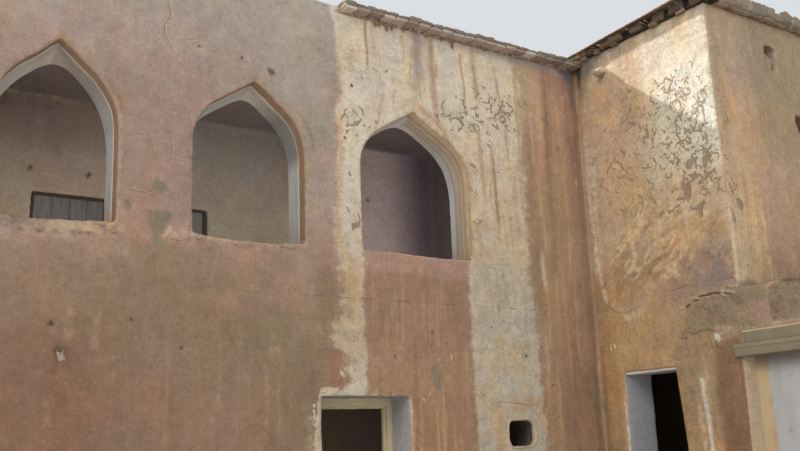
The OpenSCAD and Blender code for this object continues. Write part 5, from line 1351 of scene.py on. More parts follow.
MIX[w_l.i] = sstep(1.90, 1.72, wx + w_l.n1 * .015 + w_l.b1 * .03 - .10 * sstep(4.9, 4.2, wz) + .10 * sstep(4.6, 5.6, wz))
w_l.tint(TA, "peach", w_l.streaked(fullw(sstep(2.25, 1.85, wx + w_l.b1 * .1) * sstep(5.3, 4.8, wz)), 1.2, -.3, .3), .75)
w_l.tint(TA, "sand", w_l.streaked(fullw(sstep(2.15, 1.85, wx) * sstep(5.0, 4.4, wz)), 1, .15, .55, True), .6)
wash(fullw(sstep(2.05, 2.3, wx)), w_l, TA, (.975, .955, .97))
for x_, z0_, z1_, w_, c_, a_ in ((1.86, 5.1, 3.1, .045, "amber", .75), (1.97, 4.9, 3.1, .040, "peach", .8), (1.78, 4.6, 3.0, .030, "ochre", .7), (2.06, 4.7, 3.05, .030, "amber", .6), (1.91, 4.3, 3.0, .018, "rust", .6), (2.02, 4.2, 3.0, .014, "sand", .7), (1.83, 4.0, 3.0, .012, "cream", .6),
                               (2.14, 4.6, 3.2, .022, "peach", .6), (1.74, 5.6, 4.9, .022, "clay", .6), (2.26, 4.9, 3.6, .016, "tan", .5), (2.40, 5.1, 4.0, .014, "peach", .4), (2.6, 4.9, 4.2, .014, "tan", .5)):
    w_l.tint(TA, c_, w_l.stroke([(x_, z0_), (x_ + .01, (z0_ + z1_) / 2), (x_ - .01, z1_)], w_, .9, .010, .03, fade=(.3, .05)), a_)
    w_l.tint(TB, c_, w_l.stroke([(x_, z0_), (x_ + .01, (z0_ + z1_) / 2), (x_ - .01, z1_)], w_, .9, .010, .03, fade=(.3, .05)), a_ * .6)
wash(fullw(sstep(2.05, 2.35, wx) * sstep(4.15, 4.6, wz)), w_l, TA, (.90, .925, .89))
wash(fullw(sstep(2.3, 1.95, wx) * sstep(4.25, 3.4, wz)), w_l, TA, (1.10, 1.12, 1.12))
w_l.tint(TB, "fawn", ALLW)
w_l.tint(TB, "butter", w_l.streaked(fullw(sstep(4.4, 3.9, wz)), 1.2, -.4, .3), .8)
w_l.tint(TB, "drab", fullw(sstep(4.4, 5.0, wz)), .50)
w_l.tint(TB, "amber", w_l.streaked(ALLW, 1, -.1, .4), .55)
w_l.tint(TB, "peach", w_l.streaked(ALLW, 1, .0, .5, True), .5)
wash(fullw(sstep(4.25, 3.4, wz)), w_l, TB, (1.06, 1.06, 1.06))
w_l.set("mix", w_l.streaked(w_l.region([(1.75, 3.0), (1.72, 4.7), (2.05, 4.7), (2.25, 3.0)], .08), 1, -.05, .3), 1, "to")
w_l.both("mudgrey", w_l.region([(1.55, 2.90), (1.55, 3.00), (1.80, 3.03), (2.0, 2.99), (2.2, 3.01), (2.6, 2.99), (2.6, 2.90)], .015, .01), .7)
w_l.both("amber", w_l.stroke([(1.79, 5.72), (1.80, 5.4), (1.82, 5.1)], .012, .8, .01, .02), .5)
w_l.both("rust", w_l.stroke([(1.70, 5.76), (2.5, 5.765), (3.5, 5.76), (5.2, 5.76)], .014, .8, .008), .8)
for poly in ([(1.75, 3.80), (1.80, 3.82), (1.87, 3.79), (1.875, 3.74), (1.84, 3.68), (1.79, 3.71)], [(1.66, 3.94), (1.70, 3.96), (1.76, 3.83), (1.72, 3.82)], [(1.67, 3.66), (1.70, 3.66), (1.73, 3.56), (1.69, 3.55)], [(1.65, 4.42), (1.67, 4.44), (1.68, 4.32), (1.65, 4.32)]):
    w_l.set("flake", w_l.region(poly, .020, .010), 1)
for w_ in ([(1.76, 4.62), (1.77, 4.57)], [(1.80, 4.60), (1.79, 4.55)], [(1.66, 3.70), (1.70, 3.62)], [(1.72, 3.86), (1.78, 3.90), (1.80, 3.94)]):
    w_l.set("flake", w_l.stroke(w_, .012, 1, .010), 1)
FLK[SIDE & (np.hypot(Y + .898, Z - 4.952) < .055)] = 0
worms(w_l, (np.arange(len(w_l.i)), sstep(1.95, 1.75, wx) * sstep(3.3, 3.7, wz) * sstep(5.2, 4.7, wz)), [[(1.74, 4.66), (1.77, 4.60)]], 14, 33, (.008, .012))
w_l.both("ivory", w_l.stroke([(1.655, 3.02), (1.66, 3.3), (1.65, 3.7)], .02, .8, .01), .6)
tick("wing painted")

# ------------------------------------------------------------------ reveals, doorways, rooms
dep = Y - YM
# the reveals of the left and middle windows are painted dark brown as the shade in these returns; on the right window's
# reveal a darker band where the lining stands proud is painted shade
lay(inw.astype(float), TA, "hide"); lay(inw.astype(float), TA, "mudgrey", .35)
lay(inw.astype(float), TB, "butter"); lay(inw.astype(float), TB, "dun", .5)
MIX[inw] = 0
rw = inw & (X > -1.35)
MIX[rw] = 1
lay(rw.astype(float), TB, "drip", (on(dep, .105, .03) * .4))
lay((rw & (Z < 3.6)).astype(float), TB, "ochre", .4)
lay((inw & (Z < SILL + .04) & (X < -1.6)).astype(float), TA, "tan", .6)
lay((inw & (Z < SILL + .04) & (X < -1.6)).astype(float), TA, "greygreen", sstep(-.1, .5, g2) * .6)
MIX[inw & (Z < SILL + .03)] = 0
lay((rw & (Z < SILL + .04)).astype(float), TA, "rust", .6)
# main doorway: limed reveals
md = (Y > YM + 1e-3) & (Y < YMI + 1e-3) & (X > -1.78) & (X < -.74) & (Z < 2.2)
MIX[md] = 1
lay(md.astype(float), TB, "limewash"); lay(md.astype(float), TB, "stone", .2)
lay((md & (X > -1.2)).astype(float), TB, "limewash", .8)
# inside the vent: grey-brown, painted darker with depth as the shade inside the hole
vn_ = (Y > YM + 1e-3) & (Y < YMI + 1e-3) & (X > .25) & (X < .75) & (Z > 1.5) & (Z < 1.95)
lay(vn_.astype(float), TA, "smoke"); lay(vn_.astype(float), TA, "black", sstep(.02, .12, Y - YM) * .40); MIX[vn_] = 0
# side doorway: whitewashed jambs
sd = (X > XS + 1e-3) & (X < XI + 1e-3) & (Y > -.80) & (Y < .0) & (Z < 2.36) & (Z > ZG - .01)
MIX[sd] = 1
lay(sd.astype(float), TB, "bluewash")
lay((sd & (Z > 2.262)).astype(float), TB, "rust", .8)
kd_ = (X > XS + 1e-3) & (X < XI + 1e-3) & (Y > -3.05) & (Y < -1.40) & (Z < 2.40)
MIX[kd_] = 1
lay(kd_.astype(float), TB, "butter"); lay(kd_.astype(float), TB, "dun", .4)
# inside the broken pocket: dun, with painted shade towards its upper left
pk = (Y > YW + 1e-3) & (Y < YW + .2) & (X > 2.5) & (X < 2.76) & (Z > 5.2) & (Z < 5.6)
lay(pk.astype(float), TA, "dun"); lay(pk * sstep(5.36, 5.46, Z - (X - 2.60) * .9), TA, "shade", .75); MIX[pk] = 0; RGH[pk] = .25
td = (Y > YW + 1e-3) & (Y < YWI + 1e-3) & (X > 2.88) & (X < 3.9) & (Z > ZU - .1) & (Z < 4.9)
lay(td.astype(float), TA, "rust"); MIX[td] = 0
near_td = (RT[:, 0].min() - .0)
# worn edge lines: paler where the coat rounds over an arris
edge_ = sstep(.03, .0, DC) * (outer & ~HIDE)
for L_ in (TA,):
    lay(edge_ * (FRONT | SIDE | WING), L_, "tan", .22)
# the room behind the arches, as seen through them: its walls are painted darker towards the ceiling and the right end
# and lighter in the middle, as painted shade and light
bw = on(Y, YB) & up
for L_ in (TA, TB):
    lay(bw.astype(float), L_, "dun", sstep(-3.4, -2.6, X) * sstep(.2, -.8, X) * .6)
    lay(bw.astype(float), L_, "khaki", sstep(4.2, 3.4, Z) * sstep(-2.7, -2.2, X) * .4)
    lay(bw.astype(float), L_, "clay", sstep(-.4, .2, X) * .7)
    lay(bw.astype(float), L_, "smoke", sstep(.9, 1.55, X) * .75)
    lay(bw.astype(float), L_, "stone", sstep(-.4, .1, X) * sstep(1.2, .7, X) * .5)
    lay(bw.astype(float), L_, "dusk", sstep(-.4, .1, X) * .60)
    lay(bw.astype(float), L_, "dusk2", sstep(.85, 1.5, X) * .70)
    lay(bw.astype(float), L_, "dusk", sstep(-.2, -.7, X) * sstep(4.0, 4.8, Z) * .35)
    lay(bw.astype(float), L_, "smoke", sstep(-2.4, -3.0, X) * sstep(4.7, 5.3, Z) * .45)
    lay(bw.astype(float), L_, "smoke", sstep(-2.6, -2.2, X) * sstep(-.3, -.6, X) * sstep(4.3, 5.3, Z) * .45)
    lay((on(X, XS) & up).astype(float), L_, "smoke", .6)
    lay((on(X, XS) & up).astype(float), L_, "dusk2", .45)
    L_ *= 1 + (bw * sstep(.1, .7, X) * sstep(1.55, 1.2, X))[:, None] * np.array([.18, .20, .22]) + (bw * sstep(-2.9, -2.4, X) * sstep(-.4, -.8, X) * sstep(4.5, 5.0, Z))[:, None] * np.array([.0, .06, .09]) - (bw * sstep(-2.9, -2.4, X) * sstep(-.4, -.8, X) * sstep(4.8, 4.3, Z))[:, None] * np.array([.09, .05, .02])
# the ceiling is painted darker: painted shade
cl_ = (on(Z, ZC) & up).astype(float)
for L_ in (TA, TB):
    lay(cl_, L_, "dusk2", .55)
rb_ = bw & (X > -4.0) & (X < -3.1) & (Z > 5.05)
rub = np.zeros(NV)
rub[rb_] = sstep(.0, .4, fbm(P0[rb_], .16, 4, .65, seed=95) + (Z[rb_] - 5.25) * 1.2) * sstep(-3.1, -3.3, X[rb_])
RGH = np.maximum(RGH, rub * .9)
FIELDS["rough"] = RGH
DISP -= rub * .018
for x_, z_ in ((-3.55, 4.62), (-2.95, 4.62), (-2.62, 4.45), (-3.5, 4.2), (-1.2, 3.9), (.6, 4.75), (.25, 4.8)):
    d_ = np.hypot(X - x_, Z - z_)
    m_ = bw & (d_ < .045)
    lay(m_.astype(float), TA, "black", sstep(.035, .012, d_) * .85); lay(m_.astype(float), TB, "black", sstep(.035, .012, d_) * .85)
tick("rooms painted")

# ------------------------------------------------------------------ how streaky and blotchy each place is
# the inner corner's rounded fillet, painted darker as the shade in the corner
corner_painted_shade = (FRONT | SIDE) * sstep(.085, .0, np.hypot(X - XS, Y - YM)) * sstep(5.75, 5.6, Z)
lay(corner_painted_shade * .75, TA, "sienna"); lay(corner_painted_shade * .75, TB, "sienna"); lay(corner_painted_shade * .35, TA, "drip"); lay(corner_painted_shade * .35, TB, "drip")
STK[:] = .22
BLO[:] = .45
i_ = f.i
STK[i_] = .07 + .15 * sstep(3.0, 2.1, fz) * sstep(-4.2, -2.6, fx) + .06 * sstep(3.3, 2.6, fz)
STK[i_] = np.maximum(STK[i_], .38 * sstep(-1.55, -1.40, fx))
STK[i_] = np.maximum(STK[i_], .80 * sstep(.60, .95, fx))
STK[i_] = np.maximum(STK[i_], .85 * sstep(-1.30, -1.15, fx) * sstep(.02, -.12, fx) * sstep(3.42, 3.2, fz))
BLO[i_] = .35 + .35 * MIX[i_]
STK[s_.i] = .22 + .3 * sstep(2.6, 2.2, sz) + .25 * sstep(5.2, 5.6, sz)
BLO[s_.i] = .90
STK[w_l.i] = .50
BLO[w_l.i] = .60
STK[INNER] = .10
BLO[INNER] = .25
STK[inw | md | sd | kd_] = .10
BLO[inw | md | sd | kd_] = .20

# ------------------------------------------------------------------ push the surface out and in
N1 = vnormals(V, T)
amp = np.ones(NV)
amp[HIDE] = 0
amp[inw] = .35
amp[INNER] = .8
amp[md | sd | kd_] = .5
wave = .010 * fbm(P0, .95, 2, .5, seed=21) + .0060 * fbm(P0, .30, 2, .5, seed=22) + .0022 * fbm(P0, .085, 2, .5, seed=23) + .0010 * fbm(P0, .04, 1, .5, seed=24)
# trowel relief is stronger on the wing's side, along the sills and on the wall tops
k_ = np.zeros(NV)
k_[SIDE] = 1.0
wave += k_ * .0042 * fbm(P0, .12, 3, .6, seed=25)
kf = (FRONT | WING).astype(float)
wave += kf * .0022 * fbm(P0, .07, 3, .6, seed=28)
lz_ = SIDE * sstep(3.0, 3.25, Z) * sstep(4.25, 3.85, Z) * sstep(.16, -.10, Y)
wq_ = P0 + .05 * np.stack([0 * X, fbm(P0, .25, 2, .5, seed=96), fbm(P0 + 4.0, .25, 2, .5, seed=97)], 1)
fq = np.column_stack([(-wq_[:, 1] * .84 + wq_[:, 2] * .54) / 3.0, wq_[:, 1] * .54 + wq_[:, 2] * .84, 0 * X])
lumps = 1.0 - np.abs(fbm(fq, .105, 3, .55, seed=29)) * 3.4
lumps = np.clip(lumps, -.6, 1) * (.45 + .55 * sstep(-.2, .4, fbm(P0, .30, 2, .5, seed=98)))
wave += lz_ * .0105 * lumps
# gold and cream on the crests of these folds are painted highlights, copper in their hollows is painted shade
crest_painted_light = np.clip(lumps * 1.5 - .35, 0, 1) * lz_
lay(crest_painted_light * .85, TB, "gold")
lay(np.clip(lumps * 2.2 - 1.2, 0, 1) * lz_ * .6, TB, "cream")
lay(lz_ * np.clip(-lumps * 1.4 + .25, 0, 1) * .65, TB, "copper")
sl_ = inw & (Z < SILL + .06) | (FRONT & (np.abs(Z - SILL + .03) < .07) & (((X > -4.5) & (X < -3.5)) | ((X > -2.9) & (X < -1.85))))
wave += sl_ * .017 * np.clip(fbm(P0, .09, 3, .6, seed=26) + .1, -.6, 1)
cop_ = (Z > ZM - .06) & (X < COP_X + .1) & (Y < COP_Y + .02)
wave += cop_ * .014 * fbm(P0, .16, 3, .6, seed=27)
wave -= .0028 * sstep(.58, .88, FLK)
wave += .0015 * sstep(.4, .6, CHP)
wave *= amp
wave += DISP
ratio = np.ones(NV)
d3 = N1 * wave[:, None]
low_ = Z < .012
d3[low_, 2] = 0
V = V + d3
V[:, 2] = np.maximum(V[:, 2], 0)
V[low_ & (P0[:, 2] < 1e-6), 2] = 0
VN = vnormals(V, T)
tick("surface shaped")


# ------------------------------------------------------------------ materials
def to_lin(c):
    c = np.asarray(c, float)
    return np.where(c <= .04045, c / 12.92, ((np.clip(c, 0, 4) + .055) / 1.055) ** 2.4)


def lin(name_or_rgb):
    c = PAL[name_or_rgb] if isinstance(name_or_rgb, str) else np.array(name_or_rgb) / 255.0
    return (*to_lin(c).tolist(), 1.0)


class Graph:
    """Small helper for node materials."""

    def __init__(self, name):
        self.m = bpy.data.materials.new(name)
        self.m.use_nodes = True
        self.t = self.m.node_tree
        self.t.nodes.clear()
        self.out = self.t.nodes.new("ShaderNodeOutputMaterial")
        self.b = self.t.nodes.new("ShaderNodeBsdfPrincipled")
        self.t.links.new(self.b.outputs[0], self.out.inputs[0])
        self.tc = self.t.nodes.new("ShaderNodeTexCoord").outputs["Object"]

    def put(self, sock, v):
        if isinstance(v, bpy.types.NodeSocket):
            self.t.links.new(v, sock)
        elif v is not None:
            sock.default_value = v

    def math(self, op, a, b=None, c=None, clamp=False):
        n = self.t.nodes.new("ShaderNodeMath")
        n.operation = op
        n.use_clamp = clamp
        self.put(n.inputs[0], a)
        self.put(n.inputs[1], b)
        if c is not None:
            self.put(n.inputs[2], c)
        return n.outputs[0]

    def mapping(self, scale=(1, 1, 1), rot=(0, 0, 0), loc=(0, 0, 0), src=None):
        n = self.t.nodes.new("ShaderNodeMapping")
        n.inputs["Scale"].default_value = scale
        n.inputs["Rotation"].default_value = rot
        n.inputs["Location"].default_value = loc
        self.t.links.new(src or self.tc, n.inputs["Vector"])
        return n.outputs[0]

    def noise(self, scale, detail=4, rough=.55, vec=None, distort=0.0):
        n = self.t.nodes.new("ShaderNodeTexNoise")
        n.inputs["Scale"].default_value = scale
        n.inputs["Detail"].default_value = detail
        n.inputs["Roughness"].default_value = rough
        n.inputs["Distortion"].default_value = distort
        self.t.links.new(vec or self.tc, n.inputs["Vector"])
        return n.outputs[0]

    def voronoi(self, scale, vec=None, feature="F1", rand=1.0):
        n = self.t.nodes.new("ShaderNodeTexVoronoi")
        n.feature = feature
        n.inputs["Scale"].default_value = scale
        n.inputs["Randomness"].default_value = rand
        self.t.links.new(vec or self.tc, n.inputs["Vector"])
        return n

    def ramp(self, v, a, b, lo=0.0, hi=1.0, smooth=True):
        n = self.t.nodes.new("ShaderNodeMapRange")
        n.interpolation_type = "SMOOTHSTEP" if smooth else "LINEAR"
        n.inputs["From Min"].default_value, n.inputs["From Max"].default_value = a, b
        n.inputs["To Min"].default_value, n.inputs["To Max"].default_value = lo, hi
        self.t.links.new(v, n.inputs["Value"])
        return n.outputs[0]

    def mix(self, fac, a, b, mode="MIX"):
        n = self.t.nodes.new("ShaderNodeMix")
        n.data_type = "RGBA"
        n.blend_type = mode
        n.clamp_factor = True
        self.put(n.inputs["Factor"], fac)
        self.put(n.inputs["A"] if False else n.inputs[6], a)
        self.put(n.inputs[7], b)
        return n.outputs[2]

    def scale(self, col, f):
        n = self.t.nodes.new("ShaderNodeVectorMath")
        n.operation = "SCALE"
        self.put(n.inputs[0], col)
        self.put(n.inputs["Scale"], f)
        return n.outputs[0]

    def attr(self, name):
        n = self.t.nodes.new("ShaderNodeAttribute")
        n.attribute_name = name
        return n

    def split(self, col):
        n = self.t.nodes.new("ShaderNodeSeparateColor")
        self.t.links.new(col, n.inputs[0])
        return n.outputs

    def bump(self, h, strength=1.0):
        n = self.t.nodes.new("ShaderNodeBump")
        n.inputs["Strength"].default_value = strength
        n.inputs["Distance"].default_value = 1.0
        self.t.links.new(h, n.inputs["Height"])
        self.t.links.new(n.outputs[0], self.b.inputs["Normal"])

    def sum(self, *terms):
        """terms: (socket, weight); noise sockets are taken around one half."""
        acc = None
        for sock, w in terms:
            acc = self.math("MULTIPLY_ADD", sock, w, acc if acc is not None else 0.0)
        return acc

    def done(self, color, rough, spec=.25):
        self.put(self.b.inputs["Base Color"], color)
        self.put(self.b.inputs["Roughness"], rough)
        self.b.inputs["Specular IOR Level"].default_value = spec
        return self.m


def adobe_skin():
    g = Graph("adobe_skin")
    ta, tb = g.attr("tone_mud").outputs["Color"], g.attr("tone_lime").outputs["Color"]
    mk, mk2, mk3 = (g.split(g.attr(n).outputs["Color"]) for n in ("masks", "wear", "wash"))
    stk, blo, net = mk3
    big, mid = g.noise(1.5, 3, .55), g.noise(6.3, 5, .68)
    sml = g.noise(19, 5, .66, g.mapping((1, 1, 1), loc=(5, 2, 9)))
    fine, grit = g.noise(52, 5, .74), g.noise(118, 3, .80)
    run = g.noise(1.0, 5, .70, g.mapping((17, 17, 1.1)), .35)
    trw = g.noise(1.0, 4, .72, g.mapping((9.5, 9.5, 56), (.05, -.05, 0), loc=(1, 6, 3)))
    run2 = g.noise(1.0, 5, .64, g.mapping((6.0, 6.0, .50), loc=(3, 1, 6)))
    part_ = g.ramp(g.sum((g.noise(2.3, 3, .65, g.mapping((1, 1, .7), loc=(6, 2, 2))), 1.0), (fine, .35), (sml, .35)), .74, .98)
    hair = g.noise(1.0, 4, .68, g.mapping((58, 58, 3.4), loc=(9, 2, 4)))
    # where the limed coat starts, ragged at every scale
    m = g.sum((fine, .42), (sml, .60), (mid, .60), (run, .50), (mk[0], 1.0))
    c0 = 1.06 + .5
    lime = g.math("MULTIPLY_ADD", g.ramp(m, c0 - .12, c0 + .12), .50, g.math("MULTIPLY", g.ramp(m, c0 - .42, c0 + .46), .50))
    col = g.mix(lime, ta, tb)
    # brightness wanders at every scale, more where the coat is blotchy; it follows the same noises as the relief below,
    # so raised spots are painted lighter and hollows darker: painted light and shade
    v = g.sum((big, .26), (mid, .58), (sml, .54), (fine, .72), (grit, 1.00), (trw, .22))
    k = g.math("MULTIPLY_ADD", blo, .75, .60)
    t = g.math("ADD", v, -1.66)
    col = g.scale(col, g.math("MULTIPLY_ADD", t, k, 1.0))
    # and so does the hue: ochre, grey and rose clouds
    warm = g.ramp(g.noise(3.4, 4, .66, g.mapping((1, 1, .45), loc=(7, 3, 1))), .44, .64)
    col = g.mix(g.math("MULTIPLY", warm, g.math("MULTIPLY_ADD", blo, .40, .22)), col, g.mix(1.0, col, (1.13, .985, .76, 1), "MULTIPLY"))
    cool = g.ramp(g.noise(4.4, 4, .64, g.mapping((1, 1, .55), loc=(2, 8, 5))), .47, .66)
    col = g.mix(g.math("MULTIPLY", cool, .34), col, g.mix(1.0, col, (.89, .93, .94, 1), "MULTIPLY"))
    rosy = g.ramp(g.noise(2.6, 4, .62, g.mapping((1, 1, .6), loc=(12, 6, 3))), .49, .66)
    col = g.mix(g.math("MULTIPLY", rosy, .30), col, g.mix(1.0, col, (1.06, .96, .92, 1), "MULTIPLY"))
    pale = g.ramp(g.noise(15, 4, .72, g.mapping((1, 1, .7), loc=(1, 4, 8))), .55, .68)
    col = g.mix(g.math("MULTIPLY", pale, g.math("MULTIPLY_ADD", blo, .26, .10)), col, g.mix(1.0, col, (1.22, 1.20, 1.18, 1), "MULTIPLY"))
    # small scabs of old coat, and short trowel marks; both follow the relief, lighter where it is high and darker where
    # it is low, so they are partly painted light and shade
    sb = g.sum((sml, .55), (fine, .60), (trw, .40), (grit, .25))
    col = g.mix(g.math("MULTIPLY", g.ramp(sb, 1.035, 1.10), .50), col, g.mix(1.0, col, (1.24, 1.17, 1.04, 1), "MULTIPLY"))
    col = g.mix(g.math("MULTIPLY", g.ramp(sb, .76, .69), .55), col, g.mix(1.0, col, (.74, .68, .62, 1), "MULTIPLY"))
    col = g.mix(g.math("MULTIPLY", g.ramp(trw, .61, .69), .30), col, g.mix(1.0, col, (1.20, 1.14, 1.04, 1), "MULTIPLY"))
    col = g.mix(g.math("MULTIPLY", g.ramp(trw, .39, .31), .40), col, g.mix(1.0, col, (.80, .75, .70, 1), "MULTIPLY"))
    # run-off: pale and ochre threads, and broader dark ones
    th = g.math("MULTIPLY", g.math("MULTIPLY", g.ramp(run, .52, .66), stk), g.math("MULTIPLY_ADD", part_, .85, .15))
    col = g.mix(g.math("MULTIPLY", th, .60), col, g.mix(mid, lin((178, 134, 92)), lin((206, 174, 132))))
    th2 = g.math("MULTIPLY", g.math("MULTIPLY", g.ramp(hair, .57, .70), g.math("MULTIPLY_ADD", stk, .7, .04)), g.math("MULTIPLY_ADD", part_, .9, .10))
    col = g.mix(g.math("MULTIPLY", th2, .42), col, g.mix(1.0, col, (1.30, 1.24, 1.12, 1), "MULTIPLY"))
    dk = g.math("MULTIPLY", g.ramp(run2, .47, .33), stk)
    col = g.mix(g.math("MULTIPLY", dk, .62), col, g.mix(1.0, col, (.76, .66, .60, 1), "MULTIPLY"))
    dk2 = g.math("MULTIPLY", g.ramp(g.noise(1.0, 4, .64, g.mapping((40, 40, 1.7), loc=(4, 7, 2))), .42, .30), g.math("MULTIPLY_ADD", stk, .8, .08))
    col = g.mix(g.math("MULTIPLY", dk2, .50), col, g.mix(1.0, col, (.74, .66, .60, 1), "MULTIPLY"))
    # straw in the mud
    s1 = g.noise(1.0, 2, .5, g.mapping((330, 330, 26), (.5, .35, 0)))
    s2 = g.noise(1.0, 2, .5, g.mapping((300, 300, 22), (-.75, .6, .4)))
    straw = g.math("MAXIMUM", g.ramp(s1, .66, .74), g.ramp(s2, .67, .75))
    col = g.mix(g.math("MULTIPLY", straw, .26), col, lin((205, 180, 132)))
    # small pits painted dark as the shade inside them, and pale specks
    vp = g.voronoi(24, g.mapping((1, 1, 1), loc=(3, 1, 2)))
    pr = g.split(vp.outputs["Color"])
    pit = g.math("MULTIPLY", g.ramp(vp.outputs["Distance"], .22, .10), g.ramp(pr[0], .945, .965))
    col = g.mix(g.math("MULTIPLY", pit, .60), col, lin((96, 76, 60)))
    fleck = g.math("MULTIPLY", g.ramp(vp.outputs["Distance"], .26, .12), g.ramp(pr[1], .90, .94))
    col = g.mix(g.math("MULTIPLY", fleck, .45), col, g.mix(1.0, col, (1.35, 1.32, 1.25, 1), "MULTIPLY"))
    # peeled flakes: painted ones, and a fine crackle around them
    fn_ = g.sum((fine, .34), (sml, .30))
    fl = g.ramp(g.math("ADD", fn_, mk[1]), .32 + .68, .32 + .75)
    wv = g.t.nodes.new("ShaderNodeTexNoise")
    wv.inputs["Scale"].default_value, wv.inputs["Detail"].default_value, wv.inputs["Roughness"].default_value = 13, 4, .6
    g.t.links.new(g.tc, wv.inputs["Vector"])
    sc = g.t.nodes.new("ShaderNodeVectorMath")
    sc.operation = "MULTIPLY_ADD"
    g.t.links.new(wv.outputs[1], sc.inputs[0])
    sc.inputs[1].default_value = (.20, .20, .20)
    g.t.links.new(g.tc, sc.inputs[2])
    ve = g.voronoi(8.5, sc.outputs[0], "DISTANCE_TO_EDGE")
    gate = g.ramp(g.sum((g.noise(6.5, 4, .66, g.mapping((1, 1, 1), loc=(8, 8, 1))), 1.0), (net, .36)), .83, .95)
    wide = g.math("MULTIPLY", g.math("MULTIPLY_ADD", fine, .095, .012), gate)
    ln_ = g.math("MULTIPLY", g.math("GREATER_THAN", wide, ve.outputs["Distance"]), g.ramp(gate, .12, .40))
    vs = g.voronoi(30, sc.outputs[0])
    spk = g.math("MULTIPLY", g.math("MULTIPLY", g.ramp(vs.outputs["Distance"], .30, .20), g.ramp(g.split(vs.outputs["Color"])[0], .80, .84)), g.ramp(gate, .02, .30))
    fl0 = fl
    fl = g.math("MAXIMUM", fl, g.math("MULTIPLY", g.math("MAXIMUM", ln_, spk), g.ramp(net, .02, .12)))
    under = g.mix(fine, lin((112, 92, 72)), lin((158, 136, 110)))
    # a paler rim round each flake: the curled lime edge, brightened as a painted highlight
    curl_rim_highlight = g.math("MULTIPLY", g.ramp(g.math("ADD", fn_, mk[1]), .32 + .44, .32 + .66), .34)
    col = g.mix(curl_rim_highlight, col, g.mix(1.0, col, (1.22, 1.22, 1.22, 1), "MULTIPLY"))
    col = g.mix(g.math("MULTIPLY", fl, .88), col, under)
    ch = g.ramp(g.sum((fine, .50), (sml, .4), (mk[2], 1.0)), .45 + .52, .45 + .60)
    col = g.mix(g.math("MULTIPLY", ch, .85), col, g.mix(fine, lin((176, 166, 150)), lin((212, 206, 194))))
    # bare mud with gravel
    vb = g.voronoi(52)
    br = g.ramp(g.sum((fine, .5), (mk2[1], 1.0)), .25 + .3, .25 + .7)
    bare = g.mix(g.ramp(g.sum((mid, .5), (fine, .5)), .36, .64), lin((112, 94, 76)), lin((158, 138, 112)))
    stone = g.math("MULTIPLY", g.ramp(vb.outputs["Distance"], .42, .22), g.ramp(g.split(vb.outputs["Color"])[1], .62, .72))
    bare = g.mix(g.math("MULTIPLY", stone, .55), bare, g.mix(g.split(vb.outputs["Color"])[2], lin((120, 104, 88)), lin((178, 164, 144))))
    col = g.mix(g.math("MULTIPLY", br, .70), col, bare)
    cr = g.ramp(mk2[0], .35, .95)
    col = g.mix(g.math("MULTIPLY", cr, .80), col, lin((80, 62, 50)))
    # relief, in metres
    h = g.sum((mid, .0100), (sml, .0062), (fine, .0046), (grit, .0017), (trw, .0026), (fl0, -.0042), (ch, .0016), (run, .0018), (curl_rim_highlight, .0030))
    h = g.math("MULTIPLY_ADD", g.math("MULTIPLY", br, g.math("MULTIPLY_ADD", stone, .7, g.math("MULTIPLY", fine, 1.2))), .008, h)
    g.bump(h, 1.0)
    return g.done(col, g.ramp(fine, .3, .7, .86, .97, False), .18)


SKIN = adobe_skin()
for nm, arr in (("a", TA), ("b", TB)):
    np.clip(arr, 0, 1, out=arr)


def mesh_object(name, verts, faces, mat, normals=None, attrs=None):
    me = bpy.data.meshes.new(name)
    verts = np.ascontiguousarray(verts, np.float32)
    faces = np.asarray(faces)
    k = faces.shape[1]
    me.vertices.add(len(verts))
    me.vertices.foreach_set("co", verts.ravel())
    me.loops.add(faces.size)
    me.loops.foreach_set("vertex_index", np.ascontiguousarray(faces, np.int32).ravel())
    me.polygons.add(len(faces))
    me.polygons.foreach_set("loop_start", np.arange(0, faces.size, k, dtype=np.int32))
    me.update(calc_edges=True)
    me.polygons.foreach_set("use_smooth", np.ones(len(faces), bool))
    me.materials.append(mat)
    for an, av in (attrs or {}).items():
        a = me.attributes.new(an, "FLOAT_COLOR", "POINT")
        rgba = np.ones((len(verts), 4), np.float32)
        rgba[:, :3] = av
        a.data.foreach_set("color", rgba.ravel())
    if normals is not None:
        me.normals_split_custom_set_from_vertices([tuple(n) for n in normals.tolist()])
    ob = bpy.data.objects.new(name, me)
    bpy.context.scene.collection.objects.link(ob)
    return ob


# ------------------------------------------------------------------ one piece of plaster for each CAD piece of masonry
SHELL = {
    "ground_floor": "packed_earth", "front_wall_left": "mud_plaster_brown", "front_wall_over_door": "mud_plaster_brown", "front_wall_right": "cream_plaster",
    "left_end_wall_lower": "mud_plaster_brown", "left_end_wall_upper": "mud_plaster_brown", "back_wall_lower": "mud_plaster_brown", "back_wall_upper": "mud_plaster_brown",
    "right_end_wall_lower": "mud_plaster_brown", "right_end_wall_upper": "mud_plaster_brown", "side_wall_rear_lower": "cream_plaster", "side_wall_over_door": "cream_plaster",
    "side_wall_middle_lower": "cream_plaster", "low_block_side_wall": "mud_plaster_brown", "low_block_front_wall": "mud_plaster_brown", "wing_cross_wall": "mud_plaster_brown",
    "upper_floor_main": "packed_earth", "upper_floor_wing": "packed_earth", "terrace_floor": "packed_earth", "window_sill_wall": "mud_plaster_brown", "window_piers": "mud_plaster_brown",
    "left_window_arch": "mud_plaster_brown", "middle_window_arch": "mud_plaster_brown", "right_window_arch": "cream_plaster", "side_wall_upper": "cream_plaster",
    "wing_front_wall": "mud_plaster_brown", "wing_front_over_door": "mud_plaster_brown", "upper_ceilings": "roof_mud", "main_wall_coping": "mud_plaster_brown"}
names = list(SHELL)
blo = np.array([tuple(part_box(n)[0]) for n in names])
bhi = np.array([tuple(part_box(n)[1]) for n in names])
vol = np.prod(bhi - blo, axis=1)
